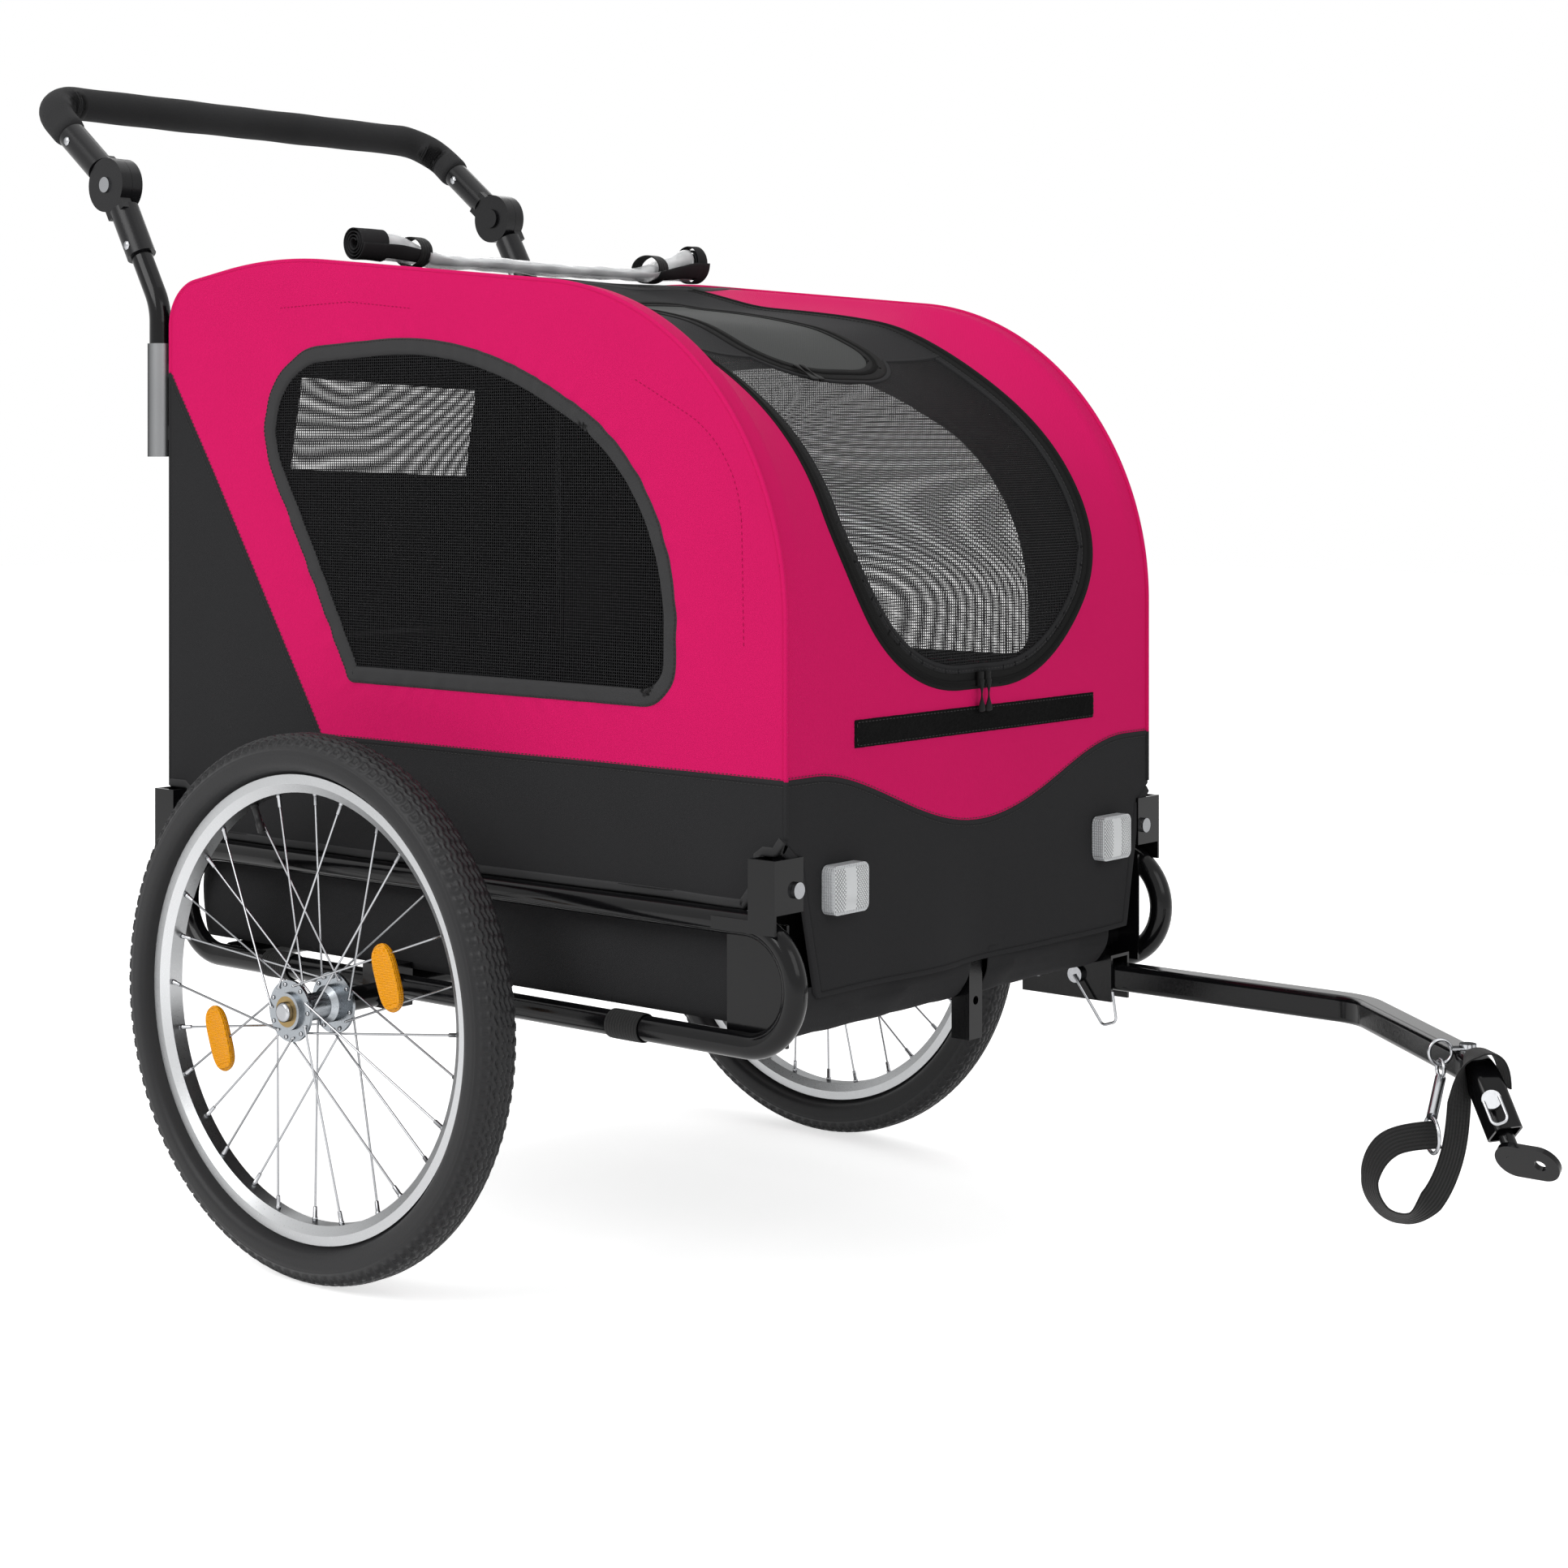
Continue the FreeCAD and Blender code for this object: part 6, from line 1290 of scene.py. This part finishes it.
FLAP_IN, FLAP_REAR, FLAP_FRONT = TUB_HALF - 0.8, TUB_REAR + 0.8, TUB_FRONT + 8
flap_run = rounded_line([(FLAP_FRONT, -FLAP_IN), (FLAP_REAR, -FLAP_IN), (FLAP_REAR, FLAP_IN), (FLAP_FRONT, FLAP_IN)],
                        [TUB_CORNER] * 2, 6)
flap_length = running(flap_run)
from_middle = np.abs(flap_length - flap_length[-1] / 2)
flap_stops = [0, 250, 257, 259, 262, 268, 282, from_middle.max()]
wall_x = np.interp(from_middle, flap_stops, [-323.6, -323.6, -323.6, -299, -298.6, -298.2, -284, FLAP_FRONT])
wall_y = np.interp(from_middle, flap_stops, [0, 250, 257, 259, 266, 278.4, 278.4, 278.4]) * np.sign(flap_run[:, 1])
out = np.concatenate([np.zeros(4), np.linspace(0, 1, 8)])
flap_plan = flap_run[:, None] + (pair(wall_x, wall_y) - flap_run)[:, None] * out[:, None]
flap_z = np.concatenate([[352, 360, 368, 374], np.linspace(376, 379, 8)])
flap_z = flap_z + 0.6 * np.sin(math.pi * out) * np.sin(from_middle / 23)[:, None]
hung_cloth("floor_edge_flap", place(flap_plan[..., 0], flap_plan[..., 1], flap_z), place(60, 0, 700), 0.8)

wrap_line = rounded_line([(479.5, 306), (477, 282), (461, 259.5), (437, 259.5), (424.5, 271)], [34, 22, 18], 3)
for side, first, last in (("right", -262.0, -13.0), ("left", 13.0, 214.0)):
    y = np.linspace(first, last, 90)
    share = np.linspace(0, 1, len(wrap_line))[:, None]
    fold = np.sin(math.pi * share) * (1.3 * np.sin(y / 27 + 2 * share) + 0.8 * np.sin(y / 13 - 3 * share))
    grid = place(wrap_line[:, :1] + fold, y, wrap_line[:, 1:] - 0.6 * np.abs(fold))
    hung_cloth(f"{side}_front_wrap", grid, place(440, 0, 300), 1.0)

RAIL_Y, RAIL_Z, LOOP_RADIUS = 284, 258, 12.2
loop_angle = around(48)
for side, sign in SIDES:
    for number, x in enumerate((308, -150), 1):
        path = place(x, sign * RAIL_Y + LOOP_RADIUS * np.cos(loop_angle), RAIL_Z + LOOP_RADIUS * np.sin(loop_angle))
        grid = sweep(path, flat_profile(38 * MM, 1.6 * MM, 0.4), (1, 0, 0), closed_path=True)
        grid_piece(f"{side}_rail_loop_{number}", grid, [STRAP], "frame")
tell("tub", "flap", "wrap", "loop")

# %% [markdown]
# ## Foam grip
# A long foam sleeve covers the bent bar. Foam pinches slightly in the bends and rounds off at its ends.

# %% Foam grip
HINGE_Z, HANDLE_HALF, BAR_REACH, GRIP_START, GRIP_BEND, GRIP_RADIUS = 1032, 278, 160, 94, 45, 17.9
LEG_LEAN, BAR_LEAN = math.radians(30), math.radians(52)
HINGE_POINT = np.array([-345 - (HINGE_Z - 905) * math.tan(LEG_LEAN), 0, HINGE_Z])
BAR_WAY = np.array([-math.sin(BAR_LEAN), 0, math.cos(BAR_LEAN)])
grip_flat = rounded_line([(GRIP_START - BAR_REACH, -HANDLE_HALF), (0, -HANDLE_HALF), (0, HANDLE_HALF),
                          (GRIP_START - BAR_REACH, HANDLE_HALF)], [GRIP_BEND] * 2, 4)
grip_path = HINGE_POINT + BAR_WAY * BAR_REACH + grip_flat[:, :1] * BAR_WAY + grip_flat[:, 1:] * [0, 1, 0]
share = np.linspace(0, 1, len(grip_path))
from_end = np.minimum(share, 1 - share) * running(grip_path)[-1]
swell = 1 - 0.012 * np.sin(share * 61) - 0.01 * np.sin(share * 27 + 1)
swell = swell * (0.70 + 0.30 * np.sqrt(np.clip(1 - (1 - np.clip(from_end / 7, 0, 1)) ** 2, 0, 1)))
middle = placed(grip_path)
grip_grid = sweep(middle, circle(GRIP_RADIUS * MM, 28), np.cross(BAR_WAY, [0, 1, 0]))
rings = middle[:, None] + (grip_grid[1:-1] - middle[:, None]) * swell[:, None, None]
grip_grid = np.concatenate([grip_grid[:1], rings, grip_grid[-1:]])
grip = grid_piece("foam_grip_sleeve", grip_grid, [FOAM], "handlebar", ["foam_grip"])
print("grip length", round(running(grip_path)[-1]))

# %% [markdown]
# ## Tyres
# The tread is moulded: wavy ribs round the crown, and a row of curled lugs on each shoulder. The tyre is a
# section turned about the axle, and the tread is added to the section's radius as a function of both angles.

# %% Tyres
TRACK_HALF, LUGS, LUG_STEPS = 376.5, 120, 7
TREAD_HEIGHT, CROWN_HALF, RIB_PITCH, RIB_SWING, SHOULDER, LUG_END, WALL_LINE = 2.0, 14.0, 5.6, 1.3, 13.6, 24.0, 27.5


def wheel_point(radius, angle, y):
    """Points of a wheel from the distance to its axis, the angle about it, and the distance across."""
    parts = radius * np.cos(angle), y, WHEEL_RADIUS + radius * np.sin(angle)
    return np.stack(np.broadcast_arrays(*parts), axis=-1)


def tyre_section():
    """Outer side of the section from bead to bead as (distance from the axle, distance across), with close
    points on the tread and few on the walls, and each point's length along the section from its middle."""
    half = [(206.8, 10.2), (214.5, 10.2), (219.5, 23.5), (234.5, 23.5), (248.0, 12.0)]
    bends = [2.0, 8.0, 9.5, 16.0]
    flat = rounded_line(half + [(r, -y) for r, y in reversed(half)], bends + bends[::-1], 1.45)
    length = running(flat)
    keep = (flat[:, 0] > 228) | (np.arange(len(flat)) % 3 == 0)
    keep[-1] = True
    return flat[keep], (length - length[-1] / 2)[keep], -sideways(flat, False)[keep]


def tread(phase, across):
    """Height of the tread at a phase counted in lugs and a length across: wavy ribs on the crown, parted by
    narrow grooves that swing as a sine, and on each shoulder a row of hooked lugs with a notch in each."""
    off = np.abs(across)
    swing = across + RIB_SWING * np.sin(TURN * phase)
    ribs = ease((CROWN_HALF - off) / 1.5) * ease(2.2 * (np.cos(TURN * swing / RIB_PITCH) + 0.62))
    hook = np.cos(TURN * (phase + 0.2 * np.sin(math.pi * (off - 13) / 11)))
    body = ease(0.5 + 1.8 * (hook + 0.2))
    notch = ease(0.5 + 3 * (hook - 0.7)) * ease((off - 16) / 1.2) * ease((21.5 - off) / 1.2)
    lugs = ease(off - SHOULDER) * ease((LUG_END - off) / 2.5) * (body - 0.9 * notch)
    return TREAD_HEIGHT * (ribs + lugs) + 0.5 * np.exp(-(((off - WALL_LINE) / 0.8) ** 2))


def tyre_grid(sign):
    """Section points turned about the axle and raised along the section's normal by the tread, then the
    hollow inside, back to the first bead."""
    section, across, normal = tyre_section()
    turn = np.linspace(0, TURN, LUGS * LUG_STEPS + 1)[:, None]
    lift = tread(LUGS * turn / TURN, across)
    radius = np.minimum(section[:, 0] + normal[:, 0] * lift, WHEEL_RADIUS)
    y = section[:, 1] + normal[:, 1] * lift
    hollow, hollow_y = (np.broadcast_to(row, (len(turn), 4))
                        for row in ([206.8, 240.0, 240.0, 206.8], [-6.8, -17.0, 17.0, 6.8]))
    radius = np.concatenate([radius, hollow, radius[:, :1]], axis=1)
    y = np.concatenate([y, hollow_y, y[:, :1]], axis=1)
    return placed(wheel_point(radius, turn, sign * TRACK_HALF + y))


for side, sign in SIDES:
    grid = tyre_grid(sign)
    tyre = add_mesh(f"{side}_tyre_tread", grid, grid_faces(*grid.shape[:2]))
    finish_piece(tyre, [RUBBER], f"{side}_wheel", [f"{side}_tyre"])
print("tyre faces", made["right_tyre_tread"])

# %% [markdown]
# ## Spoke ends and valve
# Where a spoke meets the rim it carries a nipple, and at the hub it ends in a bent head. Both are small turned
# shapes: a radius along an axis. One array holds all of them.

# %% Nipples, heads and valve
SPOKES, SPOKE_LEAD, FLANGE, SPOKE_ROOT, RIM_SEAT, VALVE_ANGLE = 28, math.radians(51), 25.5, 24.0, 196.0, 2.0
SPOKE_STEP, SEAT_STEP = 2.55, 3.125


def spoke_lines(sign):
    """Start and end of every spoke: two flanges in turn, leading and trailing in pairs; and its head's side."""
    index = np.arange(SPOKES)
    outer = np.where(index % 2, 1, -1)
    lead = np.where((index // 2) % 2, 1, -1)
    angle = TURN / SPOKES * index
    hub_y = sign * TRACK_HALF + outer * (FLANGE + lead * SPOKE_STEP)
    start = wheel_point(SPOKE_ROOT, angle + lead * SPOKE_LEAD, hub_y)
    return start, wheel_point(RIM_SEAT, angle, sign * TRACK_HALF + outer * SEAT_STEP), outer * lead


def along_axle(lengths):
    """Vectors along the axle from their lengths."""
    return np.array(lengths, float)[:, None] * [0, 1, 0]


def turned_bars(starts, ways, lengths, radii):
    """Many small turned bars at once: for each, rings of the given radii at the given lengths along its way."""
    helper = np.where(np.abs(ways[:, 1:2]) < 0.9, [[0, 1, 0]], [[1, 0, 0]])
    side = unit(np.cross(ways, helper))
    lift = np.cross(ways, side)
    angle = np.linspace(0, TURN, 9)[:, None]
    hoop = side[:, None] * np.cos(angle) + lift[:, None] * np.sin(angle)
    middles = starts[:, None, None] + ways[:, None, None] * np.array(lengths)[:, None, None]
    return placed(middles + hoop[:, None] * np.array(radii)[:, None, None])


def bars_piece(name, bars, material, body):
    """One piece from many turned bars."""
    points, faces, _ = stack([(bar, np.zeros((*bar.shape[:2], 2))) for bar in bars])
    return finish_piece(add_mesh(name, points, faces), [material], body)


for side, sign in SIDES:
    wheel = f"{side}_wheel"
    start, end, face = spoke_lines(sign)
    inward = unit(start - end)
    nipples = turned_bars(end, inward, [-0.5, -0.5, 3, 3.4, 12, 12.6, 12.6], [0, 2.4, 2.4, 1.9, 1.8, 1.4, 0])
    heads = turned_bars(start - inward * 0.6, along_axle(-face), [-1.2, -1.0, 4.2, 4.4, 5.2, 5.2],
                        [0, 1.1, 1.1, 2.1, 1.8, 0])
    bars_piece(f"{side}_spoke_ends", [*nipples, *heads], ZINC, wheel)
    valve_way = np.array([[math.cos(VALVE_ANGLE), 0, math.sin(VALVE_ANGLE)]])
    valve_start = wheel_point(RIM_SEAT + 0.5, VALVE_ANGLE, sign * TRACK_HALF)[None]
    stem = turned_bars(valve_start, -valve_way, [0, 0, 3, 3.2, 18, 18.2, 27, 28, 28],
                       [0, 4.2, 4.0, 3.2, 3.0, 3.8, 3.8, 3.0, 0])
    bars_piece(f"{side}_valve", stem, RUBBER, wheel)
tell("spoke", "valve")

# %% [markdown]
# ## Reflectors
# Each wheel carries two amber reflectors on its spokes: flat ovals with a raised rim and fine ribs inside it.
# The front has two clear ones, domed a little, with fields of small prisms on both sides of a plain stripe.

# %% Reflectors
OVAL_RING, OVAL_DEPTH, OVAL_ANGLE, OVAL_LONG, OVAL_WIDE, OVAL_THICK = 122.0, 12.98, math.radians(200), 31, 13.5, 4.5
LENS_Y, LENS_Z, LENS_OUT, LENS_HIGH = 207, 386, 12.2, 18.5


def wheel_oval(sign, angle):
    """An oval: half width from a superellipse of the length, thickness from one of the width. Inside a rim the
    face is lower, and ribs across it follow a sine of the length."""
    along = np.sin(np.linspace(-1, 1, 150) * math.pi / 2)[:, None]
    half = OVAL_WIDE * (1 - np.abs(along) ** 3.4) ** 0.45
    turn = np.linspace(0, TURN, 49)
    across, rise = blunt(np.cos(turn), 0.7), blunt(np.sin(turn), 0.35)
    field = ease((0.80 - np.abs(across)) / 0.06) * ease((0.86 - np.abs(along)) / 0.03)
    ribs = 0.8 * np.abs(np.sin(math.pi * along * 31 / 3.0)) - 1.4
    thick = rise * (OVAL_THICK * (1 - np.abs(along) ** 8) + field * ribs)
    outwards, tangent = OVAL_RING + half * across, OVAL_LONG * along
    return place(outwards * math.cos(angle) + tangent * math.sin(angle), sign * (TRACK_HALF + OVAL_DEPTH) + thick,
                 WHEEL_RADIUS + outwards * math.sin(angle) - tangent * math.cos(angle))


def front_lens(sign):
    """The lens face: a shallow dome, with small square prisms of two sines outside a plain middle stripe."""
    y = np.linspace(-LENS_WIDE, LENS_WIDE, 91)[:, None]
    z = np.linspace(-LENS_HIGH, LENS_HIGH, 75)
    dome = 1.8 * (1 - (y / 25) ** 2) * (1 - (z / 21) ** 2)
    field = ease((np.abs(y) - STRIPE_HALF) / 0.6) * ease((21.2 - np.abs(y)) / 0.6) * ease((17.2 - np.abs(z)) / 0.6)
    prisms = np.abs(np.sin(math.pi * (y + z) / PRISM)) * np.abs(np.sin(math.pi * (y - z) / PRISM))
    edge = np.where((np.abs(y) > LENS_WIDE - 0.1) | (np.abs(z) > LENS_HIGH - 0.1), -1.0, 0.0)
    return place(FRONT_X + LENS_OUT + dome + 0.7 * field * prisms + edge, sign * LENS_Y + y, LENS_Z + z)


for side, sign in SIDES:
    ovals = [wheel_oval(sign, OVAL_ANGLE + turn) for turn in (0, math.pi)]
    lamps = add_mesh(f"{side}_spoke_reflectors", *stack([(oval, plain_uv(oval)) for oval in ovals]))
    finish_piece(lamps, [AMBER], f"{side}_wheel", [f"{side}_wheel_reflectors"])
    grid_piece(f"{side}_front_lens", front_lens(sign), [PRISMS], "frame", outward_from=CABIN_CENTRE)
tell("reflector", "lens")

# %% [markdown]
# ## Rivets
# Tube sockets on the handle's hinges are held by domed rivets, one on each face of both sides.

# %% Rivets
LEG_WAY = np.array([math.sin(LEG_LEAN), 0, -math.cos(LEG_LEAN)])
SOCKET_HALF = 14.6
rivet_sides, rivet_faces = np.array([-1, 1, -1, 1]), np.array([-1, 1, 1, -1])
for body, way, reach in (("handle", LEG_WAY, 74.0), ("handlebar", BAR_WAY, 80.0)):
    start = HINGE_POINT + way * reach + along_axle(rivet_sides * HANDLE_HALF + rivet_faces * SOCKET_HALF)
    domes = turned_bars(start, along_axle(rivet_faces), [0, 0, 0.8, 1.9, 2.3, 2.3], [0, 5.2, 5.0, 3.2, 1.0, 0])
    bars_piece(f"{body}_rivets", domes, ZINC, body)
tell("rivet")

# %% [markdown]
# ## Floor and light
# A plain pale floor catches a soft shadow. A large lamp from the near side, weaker ones from front, top and
# rear, and an even white surround light the trailer about as brightly as a colour is written.

# %% Stage
FLOOR_HALF, FLOOR_Z = 14.0, -0.0005
corner = np.linspace(-FLOOR_HALF, FLOOR_HALF, 3)
floor_points = np.stack([*np.meshgrid(corner, corner, indexing="ij"), np.full((3, 3), FLOOR_Z)], axis=-1)
floor = add_mesh("studio_floor", floor_points, grid_faces(3, 3), outward_from=(0, 0, -1))


def seen(tree):
    """1 for rays that look at a surface, straight or through gloss or glass, and 0 for rays that gather light."""
    path = tree.nodes.new("ShaderNodeLightPath").outputs
    straight, gloss, glass = (Value(tree, path[f"Is {kind} Ray"]) for kind in ("Camera", "Glossy", "Transmission"))
    return straight.math("MAXIMUM", gloss.math("MAXIMUM", glass))


pale = bpy.data.materials.new("pale_floor")
pale.use_nodes = True
tree = pale.node_tree
paint = tree.nodes["Principled BSDF"]
paint.inputs["Base Color"].default_value = (0.9, 0.9, 0.9, 1)
paint.inputs["Roughness"].default_value = 0.9
paint.inputs["Specular IOR Level"].default_value = 0.1
glow = tree.nodes.new("ShaderNodeEmission")
glow.inputs["Color"].default_value = (1, 1, 1, 1)
(seen(tree) * 0.66).feed(glow.inputs["Strength"])
both = tree.nodes.new("ShaderNodeAddShader")
tree.links.new(paint.outputs[0], both.inputs[0])
tree.links.new(glow.outputs[0], both.inputs[1])
tree.links.new(both.outputs[0], tree.nodes["Material Output"].inputs["Surface"])
floor.data.materials.append(pale)


def lamp(name, location, target, size, power):
    """A square soft lamp that points at a target."""
    data = bpy.data.lights.new(name, "AREA")
    data.size = size
    data.energy = power
    light = show(bpy.data.objects.new(name, data))
    light.location = location
    way = Vector(target) - Vector(location)
    light.rotation_euler = way.to_track_quat("-Z", "Y").to_euler()


lamp("key_lamp", (-0.6, -3.4, 3.0), (0, 0, 0.5), 2.4, 80)
lamp("front_lamp", (3.4, -0.8, 2.2), (0, 0, 0.5), 2.2, 26)
lamp("top_lamp", (-0.2, 0.6, 3.8), (0, 0, 0.6), 3.0, 18)
lamp("rear_lamp", (-3.2, 2.6, 2.4), (0, 0, 0.5), 2.4, 26)
world = bpy.data.worlds.new("white_surround")
bpy.context.scene.world = world
world.use_nodes = True
background = world.node_tree.nodes["Background"]
background.inputs["Color"].default_value = (1, 1, 1, 1)
(seen(world.node_tree) * 0.54 + 0.46).feed(background.inputs["Strength"])
bpy.context.scene.view_settings.view_transform = "Standard"
print("lamps", len(bpy.data.lights))

# %% [markdown]
# ## Count the pieces
# The new pieces and their faces are counted and printed.

# %% Count the pieces
print("pieces", len(made), "faces", sum(made.values()))
